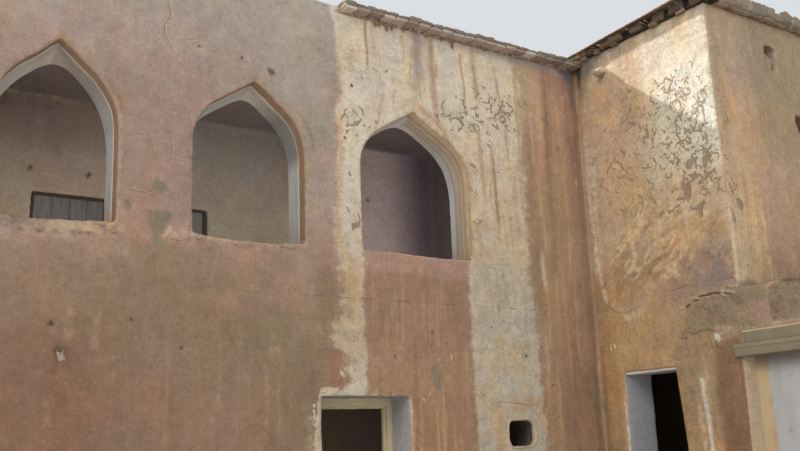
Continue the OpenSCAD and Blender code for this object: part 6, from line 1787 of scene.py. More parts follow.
fn0 = np.cross(P0[T[:, 1]] - P0[T[:, 0]], P0[T[:, 2]] - P0[T[:, 0]])
fn0 /= np.maximum(np.linalg.norm(fn0, axis=1), 1e-12)[:, None]
cen = P0[T].mean(1) - fn0 * .03
best, who = np.full(len(T), 1e9), np.zeros(len(T), int)
for i_ in range(len(names)):
    d_ = np.linalg.norm(np.maximum(np.maximum(blo[i_] - cen, cen - bhi[i_]), 0), axis=1)
    cost = d_ * 100 + vol[i_] * 1e-4
    m_ = cost < best
    best[m_], who[m_] = cost[m_], i_
lin_a, lin_b = to_lin(TA), to_lin(TB)
masks = np.clip(np.column_stack([MIX, FLK, CHP]), 0, 1)
wear = np.clip(np.column_stack([CRK, RGH, SMO]), 0, 1)
wash = np.clip(np.column_stack([STK, BLO, NET]), 0, 1)
tri_total = 0
for i_, n_ in enumerate(names):
    tt_ = T[who == i_]
    used, inv = np.unique(tt_, return_inverse=True)
    ob = mesh_object(n_ + "_plaster", V[used], inv.reshape(tt_.shape), SKIN, VN[used],
                     dict(tone_mud=lin_a[used], tone_lime=lin_b[used], masks=masks[used], wear=wear[used], wash=wash[used]))
    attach(ob, "root")
    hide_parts(n_)
    tri_total += len(tt_)
    if len(tt_) > 60000:
        print("   ", n_, len(tt_))
tick(f"shell pieces: {tri_total} triangles")

# ------------------------------------------------------------------ tools for bricks, stones, boards and lumps
def rbox(lo, hi, h=.03, r=.01, amp=0.0, size=.1, seed=0, yaw=0.0, tilt=0.0, roll=0.0, taper=None):
    """A block with rounded arrises and a worn face. Returns points, triangles and how near each point is to an arris."""
    lo, hi = np.minimum(lo, hi).astype(float), np.maximum(lo, hi).astype(float)
    ax = []
    h = h * 1.3
    for k in range(3):
        L = hi[k] - lo[k]
        rr = min(r, L * .48)
        n = max(1, int(round((L - 2 * rr) / h)))
        ax.append(np.concatenate([[lo[k], lo[k] + rr * .35], np.linspace(lo[k] + rr, hi[k] - rr, n + 1), [hi[k] - rr * .35, hi[k]]]))
    m = [len(a) - 1 for a in ax]
    quads = []
    for k in range(3):
        i, j = ((1, 2), (2, 0), (0, 1))[k]
        A, B = (g.ravel() for g in np.meshgrid(np.arange(m[i]), np.arange(m[j]), indexing="ij"))
        for far in (0, 1):
            c = []
            for da, db in ((0, 0), (1, 0), (1, 1), (0, 1)):
                q = np.zeros((len(A), 3), int)
                q[:, k], q[:, i], q[:, j] = m[k] * far, A + da, B + db
                c.append(q)
            quads.append(np.stack(c if far else c[::-1], 1))
    quads = np.vstack(quads)
    flat = quads.reshape(-1, 3)
    key = (flat[:, 0] * 4096 + flat[:, 1]) * 4096 + flat[:, 2]
    u, first, inv = np.unique(key, return_index=True, return_inverse=True)
    idx = flat[first]
    p = np.stack([ax[k][idx[:, k]] for k in range(3)], 1)
    rv = np.minimum(r, (hi - lo) * .48)
    q = np.clip(p, lo + rv, hi - rv)
    d = (p - q) / rv
    ln = np.linalg.norm(d, axis=1)
    nrm = d / np.maximum(ln, 1e-9)[:, None]
    p = q + nrm * rv
    ad = np.sort(np.abs(d), axis=1)
    edge = np.clip(ad[:, 1], 0, 1)
    if amp:
        nn = p + seed * 3.1
        p = p + nrm * (amp * fbm(nn, size, 3, .55, seed=seed % 50))[:, None] + amp * .6 * np.stack([fbm(nn + 7, size * 2.2, 2, .5, seed=4), fbm(nn + 19, size * 2.2, 2, .5, seed=5), fbm(nn + 31, size * 2.2, 2, .5, seed=6)], 1)
    c = (lo + hi) / 2
    if taper is not None:
        t = (p[:, 2] - lo[2]) / (hi[2] - lo[2])
        p[:, :2] = c[:2] + (p[:, :2] - c[:2]) * (1 - taper * t)[:, None]
    if yaw or tilt or roll:
        cz, sz_ = math.cos(yaw), math.sin(yaw)
        ca, sa = math.cos(tilt), math.sin(tilt)
        cb, sb = math.cos(roll), math.sin(roll)
        M = np.array([[cz, -sz_, 0], [sz_, cz, 0], [0, 0, 1]]) @ np.array([[1, 0, 0], [0, ca, -sa], [0, sa, ca]]) @ np.array([[cb, 0, sb], [0, 1, 0], [-sb, 0, cb]])
        p = c + (p - c) @ M.T
    f = inv.ravel().reshape(-1, 4)
    return p, np.vstack([f[:, [0, 1, 2]], f[:, [0, 2, 3]]]), edge


def tube(path, rad, n=14, amp=0.0, size=.05, seed=0):
    """A closed, tapering stick along a path."""
    path, rad = np.asarray(path, float), np.asarray(rad, float)
    d = np.gradient(path, axis=0)
    d /= np.linalg.norm(d, axis=1)[:, None]
    ref = np.array([0, 0, 1.0]) if abs(d[0, 2]) < .8 else np.array([1.0, 0, 0])
    a = np.cross(d, ref)
    a /= np.linalg.norm(a, axis=1)[:, None]
    b = np.cross(d, a)
    t = np.linspace(0, 2 * math.pi, n, endpoint=False)
    ring = np.cos(t)[None, :, None] * a[:, None, :] + np.sin(t)[None, :, None] * b[:, None, :]
    v = (path[:, None, :] + ring * rad[:, None, None])
    if amp:
        v = v + ring * (amp * fbm(v.reshape(-1, 3) + seed, size, 3, .55, seed=seed % 40)).reshape(v.shape[:2])[..., None]
    k = len(path)
    v = np.vstack([v.reshape(-1, 3), path[:1], path[-1:]])
    f = []
    for i in range(k - 1):
        for j in range(n):
            p, q = i * n + j, i * n + (j + 1) % n
            f += [(p, p + n, q), (q, p + n, q + n)]
    for j in range(n):
        f.append((k * n, j, (j + 1) % n))
        f.append((k * n + 1, (k - 1) * n + (j + 1) % n, (k - 1) * n + j))
    f = np.array(f)
    vol_ = (np.cross(v[f[:, 0]], v[f[:, 1]]) * v[f[:, 2]]).sum()
    if (np.cross(v[f[:, 0]] - path[0], v[f[:, 1]] - path[0]) * (v[f[:, 2]] - path[0])).sum() < 0:
        f = f[:, ::-1]
    return v, f, np.zeros(len(v))


class Bits:
    """Collects many small solids into one mesh, each with its own tone."""

    def __init__(self):
        self.v, self.f, self.tone, self.wear, self.n = [], [], [], [], 0

    def add(self, part, tone, rnd=.5, wear=None):
        v, f, e = part
        self.v.append(v)
        self.f.append(np.asarray(f) + self.n)
        self.n += len(v)
        t = PAL[tone] if isinstance(tone, str) else np.asarray(tone, float)
        t = np.broadcast_to(t, (len(v), 3)) if np.ndim(t) == 1 or len(t) == 3 else t
        self.tone.append(to_lin(t))
        w = np.zeros((len(v), 3))
        w[:, 0], w[:, 1] = e, rnd
        if wear is not None:
            w[:, 2] = wear
        self.wear.append(w)

    def build(self, name, mat, slot, *nodes):
        v, f = np.vstack(self.v), np.vstack(self.f)
        ob = mesh_object(name, v, f, mat, None, dict(tone=np.vstack(self.tone), part=np.vstack(self.wear)))
        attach(ob, "root")
        if nodes:
            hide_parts(*nodes)
        COUNT.append((name, len(f)))
        return ob


COUNT = []
rng = np.random.default_rng(77)
U = lambda a, b: float(rng.uniform(a, b))
blend_tone = lambda a, b, t: PAL[a] * (1 - t) + PAL[b] * t


def mineral(name, grain=1.0, pebble=0.0, bump=1.0, rough=(.85, .97), dust=0.0, streak=0.0, spec=.2, straw_amt=.2):
    """Mud, brick, stone, concrete or limewash over a painted tone."""
    g = Graph(name)
    tone = g.attr("tone").outputs["Color"]
    part = g.split(g.attr("part").outputs["Color"])
    mid, fine, grit = g.noise(9, 6, .62), g.noise(48, 6, .68), g.noise(240, 3, .7)
    v = g.sum((mid, .32 * grain), (fine, .30 * grain), (grit, .24 * grain), (part[1], .22))
    half = .5 * (.86 * grain + .22)
    col = g.scale(tone, g.ramp(v, half - .24, half + .24, .72, 1.26, False))
    warm = g.ramp(g.noise(14, 4, .6, g.mapping((1, 1, .6), loc=(4, 4, 4))), .36, .66)
    col = g.mix(g.math("MULTIPLY", warm, .4), col, g.mix(1.0, col, (1.08, .98, .86, 1), "MULTIPLY"))
    h = g.sum((mid, .0040 * bump), (fine, .0036 * bump), (grit, .0010 * bump))
    if straw_amt:
        st = g.math("MAXIMUM", g.ramp(g.noise(1.0, 2, .5, g.mapping((330, 330, 26), (.9, .35, 0))), .66, .74), g.ramp(g.noise(1.0, 2, .5, g.mapping((26, 300, 300), (.2, .6, .4))), .67, .75))
        col = g.mix(g.math("MULTIPLY", st, straw_amt), col, lin((205, 182, 136)))
        h = g.math("MULTIPLY_ADD", st, .0007, h)
    if pebble:
        vb = g.voronoi(48)
        keep = g.ramp(g.split(vb.outputs["Color"])[0], .62, .70)
        dome = g.math("MULTIPLY", g.ramp(vb.outputs["Distance"], .45, .10), keep)
        col = g.mix(g.math("MULTIPLY", dome, pebble), col, g.mix(g.split(vb.outputs["Color"])[1], lin((112, 100, 88)), lin((190, 178, 158))))
        h = g.math("MULTIPLY_ADD", dome, .0045, h)
    if streak:
        rn = g.noise(1.0, 6, .65, g.mapping((26, 26, 1.7)))
        col = g.mix(g.math("MULTIPLY", g.ramp(rn, .50, .72), streak), col, lin((142, 124, 98)))
        rn2 = g.noise(1.0, 5, .65, g.mapping((5, 5, 2.2), loc=(5, 2, 8)))
        col = g.mix(g.math("MULTIPLY", g.ramp(rn2, .52, .75), streak * .8), col, lin((168, 150, 122)))
    if dust:
        nz = g.t.nodes.new("ShaderNodeNewGeometry").outputs["Normal"]
        sp = g.t.nodes.new("ShaderNodeSeparateXYZ")
        g.t.links.new(nz, sp.inputs[0])
        up_ = g.ramp(g.math("MULTIPLY_ADD", fine, .5, sp.outputs[2]), .55, 1.15)
        col = g.mix(g.math("MULTIPLY", up_, dust), col, lin((176, 160, 138)))
    g.bump(h, .9)
    return g.done(col, g.ramp(fine, .3, .7, rough[0], rough[1], False), spec)


def wood(name, axis_scale, chips=0.0, paint=None, rough=.8):
    """Weathered wood with grain along its length; with paint, the paint is lost at the arrises and in chips."""
    g = Graph(name)
    tone = g.attr("tone").outputs["Color"]
    part = g.split(g.attr("part").outputs["Color"])
    off = g.t.nodes.new("ShaderNodeVectorMath")
    off.operation = "ADD"
    g.t.links.new(g.mapping(axis_scale), off.inputs[0])
    cb = g.t.nodes.new("ShaderNodeCombineXYZ")
    for k in range(3):
        g.t.links.new(g.math("MULTIPLY", part[1], 17.0 + k), cb.inputs[k])
    g.t.links.new(cb.outputs[0], off.inputs[1])
    grain = g.noise(1.0, 8, .62, off.outputs[0], .4)
    fine = g.noise(60, 5, .65)
    v = g.ramp(g.sum((grain, .8), (fine, .3), (part[1], .15)), .42, .82, .55, 1.35, False)
    col = g.scale(tone, v)
    h = g.sum((grain, .0022), (fine, .0008))
    if paint:
        n1 = g.noise(16, 6, .7)
        k_ = g.sum((n1, .55), (fine, .25), (part[0], .16), (part[2], .35))
        bare = g.ramp(k_, .40 + .20, .40 + .25)
        pc = g.mix(g.noise(6, 5, .6), lin(paint[0]), lin(paint[1]))
        col = g.mix(bare, g.scale(pc, g.ramp(fine, .3, .7, .92, 1.06, False)), g.scale(col, .7))
        h = g.math("MULTIPLY_ADD", bare, -.0009, h)
    g.bump(h, .9)
    return g.done(col, rough, .25)


MUD = mineral("roof_mud_lumps", 1.1, .35, 1.2, dust=.45, straw_amt=.3)
BRICKM = mineral("old_brick_clay", 1.1, 0, 1.0, dust=.25, straw_amt=.05)
CONC = mineral("concrete_lintel_cast", .9, .25, .8, streak=.15, straw_amt=0)
WASH = mineral("whitewash_coat", .45, 0, .7, streak=.28, spec=.25, straw_amt=.04)
WASHP = mineral("whitewash_panel", .55, 0, .8, streak=.10, spec=.25, straw_amt=.04)
LIME = mineral("lime_plaster_lump", .9, .15, 1.1, straw_amt=.15)
WOODX = wood("dark_wood_x", (7, 90, 90))
WOODZ = wood("dark_wood_z", (90, 90, 7))
PAINTX = wood("cream_paint_x", (6, 80, 80), paint=((184, 166, 130), (204, 188, 154)))
PANELM = wood("grey_board_panel", (80, 80, 5), rough=.6)

# ------------------------------------------------------------------ window linings
LIN_BACK = {"left": (.012, .045, .10, .045, -.030), "middle": (.008, .030, .07, .030, -.02), "right": (.006, .014, .055, .025, -.01)}
bits = Bits()
for k, (cx, w, ax_, az) in WINS.items():
    dx, sh, drop, shz, dz = LIN_BACK[k]
    outc = arch(cx, w + .034, ax_, SILL - .045, SPRING, SHOULDER + .02, az + .02)
    frc = arch(cx, w - .016, ax_, SILL - .045, SPRING, SHOULDER - .006, az - .014)
    bkc = arch(cx + dx, w - .024, ax_ + sh, SILL - .045, SPRING + dz, SHOULDER - shz, az - drop)
    segn = np.maximum(1, np.ceil(np.linalg.norm(np.diff(frc, axis=0), axis=1) / (.018 * QK)).astype(int))
    dens = lambda c: np.vstack([np.vstack([c[i] + (c[i + 1] - c[i]) * (np.arange(n_) / n_)[:, None] for i, n_ in enumerate(segn)]), c[-1:]])
    outc, frc, bkc = dens(outc), dens(frc), dens(bkc)
    m_ = len(frc)
    sect = [(-1, .402), (-.45, .3985), (-.1, .4005), (0, .405), (.02, .414), (.10, .430), (.17, .442), (.205, .448), (.20, .4515), (.235, .456), (.32, .468), (.44, .487), (.56, .507), (.68, .527), (.80, .548), (.91, .570), (.98, .586), (1.0, .594), (.97, .5985), (-1, .597)]
    rows, tn = [], []
    seed_ = 3 + len(k)
    for t_, y_ in sect:
        c_ = frc + (bkc - frc) * max(t_, 0) if t_ >= 0 else frc + (outc - frc) * -t_
        c_ = wob(c_, .007, .16, seed_)
        if t_ > .15:   # the inner curve is rounded where the two sides meet
            k_sm = int({"left": 150, "middle": 60, "right": 150}[k] * (t_ - .15) ** 1.2 / QK ** 2)
            z_top = c_[:, 1].max()
            fr_z = np.clip((c_[:, 1] - 4.05) / .12, 0, 1)[1:-1, None]
            for _ in range(k_sm):
                c_[1:-1] += .5 * fr_z * ((c_[:-2] + c_[2:]) / 2 - c_[1:-1])
            up_ = np.clip((c_[:, 1] - 4.35) / max(c_[:, 1].max() - 4.35, .05), 0, 1)
            c_[:, 1] += (z_top - c_[:, 1].max()) * .85 * up_
        q3 = np.column_stack([c_[:, 0], np.full(m_, y_), c_[:, 1]])
        if t_ > -.9:
            cc = np.array([cx, 4.1])
            dirn = cc - c_
            dirn /= np.linalg.norm(dirn, axis=1)[:, None]
            wv = .0035 * fbm(q3, .10, 3, .55, seed=44) + .0016 * fbm(q3, .03, 2, .5, seed=45)
            q3[:, 0] += dirn[:, 0] * wv
            q3[:, 2] += dirn[:, 1] * wv
        rows.append(q3)
        base_ = np.tile(PAL["lining" if k != "right" else "lining2"], (m_, 1))
        # the lining's crown is painted darker, more on its right side, and the right shoulder darker still: painted
        # shade; on the left window the left side of the crown is painted paler: painted light
        crown = np.clip((c_[:, 1] - 4.35) / .3, 0, 1)[:, None]
        right_ = (c_[:, 0] > cx).astype(float)[:, None]
        n1_ = fbm(q3, .22, 3, .6, seed=46)[:, None]
        crown_shade = (.22 + .42 * right_) * crown
        base_ = base_ * (1 - crown_shade) + (PAL["crown"] if k == "left" else PAL["crown2"]) * crown_shade
        if k == "left":
            base_ = base_ * (1 - .22 * crown * (1 - right_)) + PAL["butter"] * .22 * crown * (1 - right_)
        right_shoulder_shade = np.clip((c_[:, 1] - 4.10) / .15, 0, 1)[:, None] * np.clip((4.72 - c_[:, 1]) / .16, 0, 1)[:, None] * right_
        base_ = base_ * (1 - right_shoulder_shade * {"left": .11, "middle": .30, "right": .10}[k])
        lip_ = float(np.clip((.425 - y_) / .03, 0, 1))
        base_ = base_ * (1 - .5 * lip_) + PAL["sand"] * .5 * lip_
        if k == "right":
            a_ = float(np.clip((.505 - y_) / .012, 0, 1)) * right_ * (1 - crown * .4)
            base_ = base_ * (1 - a_ * .8) + PAL["dun"] * a_ * .8
            a_ = float(abs(y_ - .414) < .006 or abs(y_ - .507) < .006) * right_
            base_ = base_ * (1 - a_ * .7) + PAL["drip"] * a_ * .7
        else:
            a_ = float(abs(y_ - .4515) < .003) * (1 - crown * .5)
            base_ = base_ * (1 - a_ * .45) + PAL["drip"] * a_ * .45
        low2 = np.clip((3.62 - c_[:, 1]) / .25, 0, 1)[:, None] * (.5 + n1_)
        base_ = base_ * (1 - np.clip(low2, 0, .7)) + PAL["straw"] * np.clip(low2, 0, .7)
        tn.append(base_)
    v = np.vstack(rows)
    ns = len(sect)
    fa = []
    for i in range(ns):
        i2 = (i + 1) % ns
        for j in range(m_ - 1):
            a, b, c, d = i * m_ + j, i * m_ + j + 1, i2 * m_ + j, i2 * m_ + j + 1
            fa += [(a, c, b), (b, c, d)]
    for j in (0, m_ - 1):
        for i in range(1, ns - 1):
            tri = (j, i * m_ + j, (i + 1) * m_ + j)
            fa.append(tri if j == 0 else tri[::-1])
    fa = np.array(fa)
    mid_ = v[fa].mean(1)
    nn_ = np.cross(v[fa[:, 1]] - v[fa[:, 0]], v[fa[:, 2]] - v[fa[:, 0]])
    if k and (nn_[: 4 * (m_ - 1)] * 0).sum() == 0:
        inner_rows = slice(8 * 2 * (m_ - 1), 12 * 2 * (m_ - 1))
        toc = np.array([cx, .5, 4.1]) - mid_[inner_rows]
        toc[:, 1] = 0
        if (nn_[inner_rows] * toc).sum() < 0:
            fa = fa[:, ::-1]
    bits.add((v, fa, np.zeros(len(v))), np.vstack(tn), .5)
bits.build("window_linings_wash", WASH, "whitewash", "window_linings")

# ------------------------------------------------------------------ rim of the square hole
t_ = RV.mean(0)
dv = RV - np.roll(RV, 1, 0) + np.roll(RV, -1, 0) - RV
on_ = np.column_stack([dv[:, 1], -dv[:, 0]])
on_ /= np.linalg.norm(on_, axis=1)[:, None]
on_ *= np.sign(((RV - t_) * on_).sum(1))[:, None]
q_ = np.column_stack([RV, np.zeros(len(RV))])
wd = .020 + .012 * fbm(q_, .14, 2, .5, seed=51)
rows, tn = [], []
for o_, y_ in ((-.002, .346), (-.006, .322), (-.0055, .300), (-.003, .290), (.08, .284), (.30, .2815), (.55, .281), (.78, .283), (.95, .287), (1.08, .296), (.8, .33)):
    oo = (o_ if abs(o_) < .02 and y_ > .287 else 0) + (wd * o_ if not (abs(o_) < .02 and y_ > .287) else 0)
    p2 = RV + on_ * np.broadcast_to(oo, len(RV))[:, None]
    q3 = np.column_stack([p2[:, 0], np.full(len(RV), y_), p2[:, 1]])
    if y_ < .29:
        q3[:, 1] += .0035 * fbm(q3, .05, 3, .6, seed=52)
    rows.append(q3)
    nn_ = np.clip(.5 + 1.2 * fbm(q3, .09, 3, .6, seed=53), 0, 1)[:, None]
    tn.append(PAL["bone"] * nn_ + PAL["sand"] * (1 - nn_))
v = np.vstack(rows)
n_, m_ = len(rows), len(RV)
fa = []
for i in range(n_):
    for j in range(m_):
        a, b, c, d = i * m_ + j, i * m_ + (j + 1) % m_, ((i + 1) % n_) * m_ + j, ((i + 1) % n_) * m_ + (j + 1) % m_
        fa += [(a, b, c), (b, d, c)]
fa = np.array(fa)
nn_ = np.cross(v[fa[:, 1]] - v[fa[:, 0]], v[fa[:, 2]] - v[fa[:, 0]])
fr_ = slice(5 * 2 * m_, 6 * 2 * m_)
if nn_[fr_, 1].sum() > 0:
    fa = fa[:, ::-1]
bits = Bits()
bits.add((v, fa, np.zeros(len(v))), np.vstack(tn))
bits.build("vent_rim", LIME, "cream_plaster", "vent_surround")

# ------------------------------------------------------------------ frame of the main doorway, lintels, blocked doorway
bits = Bits()
bits.add(rbox((-1.745, .615, 2.020), (-.775, .700, 2.105), .03, .006, .002, .2, 1), "shade", .2)
bits.add(rbox((-1.745, .655, 2.000), (-.775, .694, 2.030), .03, .004, .0015, .2, 2), "shade", .8, wear=.35)
for x0_, x1_, sd_ in ((-1.748, -1.672, 3), (-.848, -.772, 4)):
    bits.add(rbox((x0_, .615, .10), (x1_, .700, 2.03), .04, .006, .002, .3, sd_), "shade", U(0, 1))
bits.add(rbox((-1.700, .655, .10), (-1.655, .694, 2.01), .04, .004, .0015, .2, 5), "shade", .4)
bits.add(rbox((-.865, .655, .10), (-.820, .694, 2.01), .04, .004, .0015, .2, 6), "shade", .7)
bits.build("main_door_frame_boards", PAINTX, "cream_paint", "main_door_frame")

bits = Bits()
for i, (a_, b_) in enumerate(((1.640, 1.765), (1.770, 1.885), (1.890, 2.025))):
    bits.add(rbox((a_, -.80, 2.276 + .004 * i), (b_, -.02, 2.366), .03, .012, .004, .15, 11 + i), blend_tone("lime", "dun", .2 * i), U(0, 1))
bits.build("side_door_lintel_boards", WASH, "whitewash", "side_door_lintel")

bits = Bits()
lt = lambda t: blend_tone("moss", "mudgrey", t)
bits.add(rbox((1.572, -3.04, 2.322), (2.02, -1.425, 2.395), .025, .007, .0030, .12, 21), lt(.10), .4)
bits.add(rbox((1.566, -3.045, 2.392), (2.02, -1.420, 2.432), .025, .008, .0030, .10, 22), lt(.45), .7)
bits.add(rbox((1.586, -2.93, 2.430), (2.02, -1.535, 2.536), .025, .010, .0035, .12, 23), lt(.30), .3)
bits.add(rbox((1.592, -2.95, 2.528), (1.75, -1.52, 2.548), .025, .006, .0035, .05, 24), "tan", .9)
bits.build("concrete_lintel_courses", CONC, "concrete", "concrete_lintel")

bits = Bits()
pv, pf, pe = rbox((1.765, -3.015, .0), (1.885, -1.445, 2.335), .030, .012, .0, .3, 31)
pn = .006 * fbm(pv, .35, 3, .55, seed=54) + .0025 * fbm(pv, .06, 3, .6, seed=55)
pv[:, 0] += pn * (pv[:, 0] < 1.80)
tz = np.clip(.6 + .9 * fbm(pv, (.4, .16, .5), 4, .6, seed=56), 0, 1)[:, None]
lf_ = np.clip((pv[:, 1:2] + 1.64) / .03, 0, 1)
tone_ = PAL["panel"] * tz + PAL["panel2"] * (1 - tz)
tone_ = tone_ * (1 - lf_) + PAL["sand"] * lf_
ln_ = np.clip(1 - np.abs(pv[:, 1:2] + 1.60 + .012 * fbm(pv, .2, 2, .5, seed=57)[:, None]) / .014, 0, 1)
tone_ = tone_ * (1 - .8 * ln_) + PAL["bark"] * .8 * ln_
sp_ = np.clip((fbm(pv, .05, 3, .6, seed=58)[:, None] - .42) / .15, 0, 1)
tone_ = tone_ * (1 - .6 * sp_) + PAL["bark"] * .6 * sp_
# darker at the top under the lintel: painted shade of the lintel, with soot
lintel_shadow_band = np.clip((pv[:, 2:3] - 2.20) / .12 + .3 * (1 - tz), 0, 1)
tone_ = tone_ * (1 - .75 * lintel_shadow_band) + PAL["smoke"] * .75 * lintel_shadow_band
footd = np.clip((.5 - pv[:, 2:3]) / .5, 0, 1)
tone_ = tone_ * (1 - .6 * footd) + PAL["earth"] * .6 * footd
bits.add((pv, pf, pe), tone_, .6)
bits.build("blocked_doorway_wash", WASHP, "whitewash", "blocked_doorway_panel")

# ------------------------------------------------------------------ brick cornice of the main range
bits = Bits()
def bt():
    k_ = rng.uniform()
    return blend_tone("stone", "soffit", U(0, .9)) if k_ < .30 else blend_tone("clay", "stone", U(0, 1)) if k_ < .80 else blend_tone("smoke", "clay", U(.2, .9))
x = COP_X
i = 0
while x < 1.60:
    wd_ = U(.128, .150)
    y1 = .42
    # bricks darker towards the inner corner: soot and painted shade
    corner_soot_shade = float(np.clip((x - .3) / 1.1, 0, 1))
    bits.add(rbox((x + .006, U(.160, .176), U(5.700, 5.706)), (min(x + wd_ - .005, 1.618), y1, U(5.730, 5.738)), .03, .009, .005, .05, 40 + i, yaw=U(-.02, .02), tilt=U(-.015, .01), roll=U(-.015, .015)), bt() * (1 - .42 * corner_soot_shade) + PAL["smoke"] * .30 * corner_soot_shade, U(0, 1))
    x += wd_
    i += 1
x = COP_X - .01
while x < 1.58:
    wd_ = U(.115, .150)
    hh = U(.038, .056)
    bits.add(rbox((x, U(.158, .182), 5.732), (min(x + wd_ + .004, 1.62), U(.40, .42), 5.736 + hh), .020, .026, .009, .05, 70 + i, yaw=U(-.05, .05), roll=U(-.06, .06)), blend_tone("caps", "ridge", U(0, .6)), U(0, 1))
    x += wd_
    i += 1
bits.add(rbox((COP_X + .01, .19, 5.716), (1.615, .42, 5.755), .03, .012, .004, .1, 99), "shade", .3)
bits.add(rbox((COP_X - .004, .175, 5.712), (COP_X + .03, .42, 5.792), .02, .01, .004, .05, 98), "dun", .9)
for x_, y_, w_, h_ in [(-1.05, .268, .035, .050), (-.99, .272, .022, .035), (-.93, .27, .026, .045), (-.86, .272, .022, .03), (-.74, .272, .018, .03), (-.46, .274, .02, .03), (-.13, .270, .030, .050), (-.19, .274, .018, .03), (.30, .276, .016, .022), (.52, .276, .016, .02), (-1.34, .276, .016, .022), (.9, .276, .018, .022), (1.2, .276, .018, .022)]:
    bits.add(rbox((x_ - w_, y_, 5.706 - h_), (x_ + w_, .31, 5.712), .009, .009, .012, .022, int(500 + x_ * 90), yaw=U(-.1, .1), roll=U(-.25, .25)), blend_tone("drip", "mudgrey", U(0, .7)), U(0, .6))
x = COP_X + .05
while x < 1.5:   # crumbs of the bed under the bricks
    w_ = U(.02, .07)
    bits.add(rbox((x, .262 + U(0, .014), 5.694 - U(.0, .016)), (x + w_, .31, 5.708), .010, .008, .010, .024, 1500 + i, yaw=U(-.2, .2), roll=U(-.2, .2)), blend_tone("drip", "dun", U(0, .9)), U(0, 1))
    x += w_ + U(-.01, .05)
    i += 1
bits.add(rbox((1.50, .284, 5.695), (1.625, .42, 5.782), .02, .02, .010, .06, 97), "shade", .3)
bits.build("brick_cornice_bricks", BRICKM, "old_brick", "brick_cornice")

# ------------------------------------------------------------------ wing: eave towards the court, lumpy front cornice, back cornice
bits = Bits()
ztop = lambda y: 5.85 + (.29 - min(y, .29)) / 1.92 * .08
y = -1.62
i = 0
while y < .26:
    d_ = U(.06, .34)
    gap = U(.03, .16)
    zt = ztop(y) - .024
    # the corbels are near black: soot and painted shade under the eave
    tone_ = blend_tone("black", ["shade", "plum", "shade", "soot"][int(rng.integers(4))], U(.45, 1.0))
    bits.add(rbox((1.545 + U(.0, .03), y, 5.780 + U(0, .012)), (1.75, min(y + d_, .285), zt), .018, .008, .009, .035, 130 + i, yaw=U(-.05, .05), tilt=U(-.05, .05)), tone_, U(0, 1))
    if U(0, 1) < .6:
        bits.add(rbox((1.520 + U(0, .03), y - .02, zt - U(.030, .050)), (1.72, min(y + d_ * .6, .28), zt), .018, .008, .008, .03, 930 + i, yaw=U(-.1, .1), tilt=U(-.1, .1)), blend_tone("shade", "drip", U(0, .6)), U(0, 1))
    y += d_ + gap
    i += 1
# a near-black filler behind the corbels stands for the shade under the eave
bits.add(rbox((1.60, -1.60, 5.775), (1.75, .27, 5.86), .04, .012, .006, .05, 129), "black", .1)
for q_ in range(26):   # reeds and straw ends under the slab
    y0_ = U(-1.58, .22)
    z0_ = ztop(y0_) - U(.034, .060)
    bits.add(tube([(1.508 + U(0, .02), y0_, z0_), (1.60, y0_ + U(-.03, .03), z0_ + U(-.006, .006)), (1.70, y0_ + U(-.05, .05), z0_ + U(-.008, .008))], [.004, .0045, .004], 6, .001, .03, 9), blend_tone("drip", "straw", U(0, 1)), U(0, 1))
# the thin mud and reed layer on top, ragged at its edge; its lower row is painted near black as the shade on the eave's
# underside, its upper row in mud tones
for row in range(2):
    y = -1.63
    while y < .27:
        d_ = U(.16, .34)
        z0_ = ztop(y + d_ / 2) - (.030 if row == 0 else .012)
        bits.add(rbox((1.500 + U(0, .012) + row * .018, y - .01, z0_), (1.76, min(y + d_, .29), z0_ + (.020 if row == 0 else .018)), .018, .006, .006, .04, 160 + i, tilt=-.0417 + U(-.01, .01)), blend_tone("dun", "straw", U(0, .8)) if row else blend_tone("shade", "black", U(.1, .6)), U(.3, 1))
        y += d_
        i += 1
y = .285
while y < 3.34:
    d_ = U(.18, .30)
    bits.add(rbox((1.622, y, 5.782), (1.755, min(y + d_ + .01, 3.37), 5.846 + U(-.006, .004)), .035, .02, .008, .08, 190 + i), blend_tone("mudgrey", "tan", U(0, .6)), U(0, 1))
    y += d_
    i += 1
for y_, z_, w_, h_ in ((.20, 5.775, .05, .05), (.10, 5.78, .04, .03), (-.10, 5.78, .04, .03), (-.35, 5.78, .05, .025), (-.9, 5.78, .05, .025), (-1.25, 5.78, .05, .03)):
    bits.add(rbox((1.565, y_ - w_, z_ - h_ * .8), (1.64, y_ + w_, z_ + .02), .012, .010, .012, .03, int(700 + y_ * 90)), blend_tone("drip", "shade", U(0, 1)), U(0, .5))
bits.build("wing_side_eave_mud", MUD, "roof_mud", "wing_side_eave")

bits = Bits()
x = 1.735
i = 0
while x < 5.15:
    wd_ = U(.08, .20)
    hh = U(.085, .15)
    x1_ = min(x + wd_ + .02, 5.2)
    bits.add(rbox((x, -1.63 + U(0, .025), 5.785 + U(0, .012)), (x1_, -1.43 + U(0, .03), min(5.785 + hh, 5.942)), .020, .040, .024, .07, 220 + i, yaw=U(-.2, .2), tilt=U(-.15, .15), roll=U(-.16, .16)), blend_tone(["ridge", "mudgrey", "capgrey", "clay"][int(rng.integers(4))], "capgrey", U(.0, .6)), U(0, 1))
    x += wd_ * .92
    i += 1
x = 1.76
while x < 5.15:  # small stones and clods in the gaps
    s2_ = U(.035, .07)
    z_ = 5.795 + U(0, .10)
    bits.add(rbox((x, -1.625 + U(0, .03), z_), (x + s2_, -1.53, z_ + s2_ * .8), .014, .02, .012, .05, 300 + i, yaw=U(-.5, .5), tilt=U(-.4, .4)), blend_tone("ridge", "drip", U(0, 1)), U(0, 1))
    x += U(.05, .12)
    i += 1
bits.add(rbox((1.745, -1.572, 5.780), (5.2, -1.38, 5.89), .05, .03, .012, .15, 219), "shade", .4)
x = 1.745
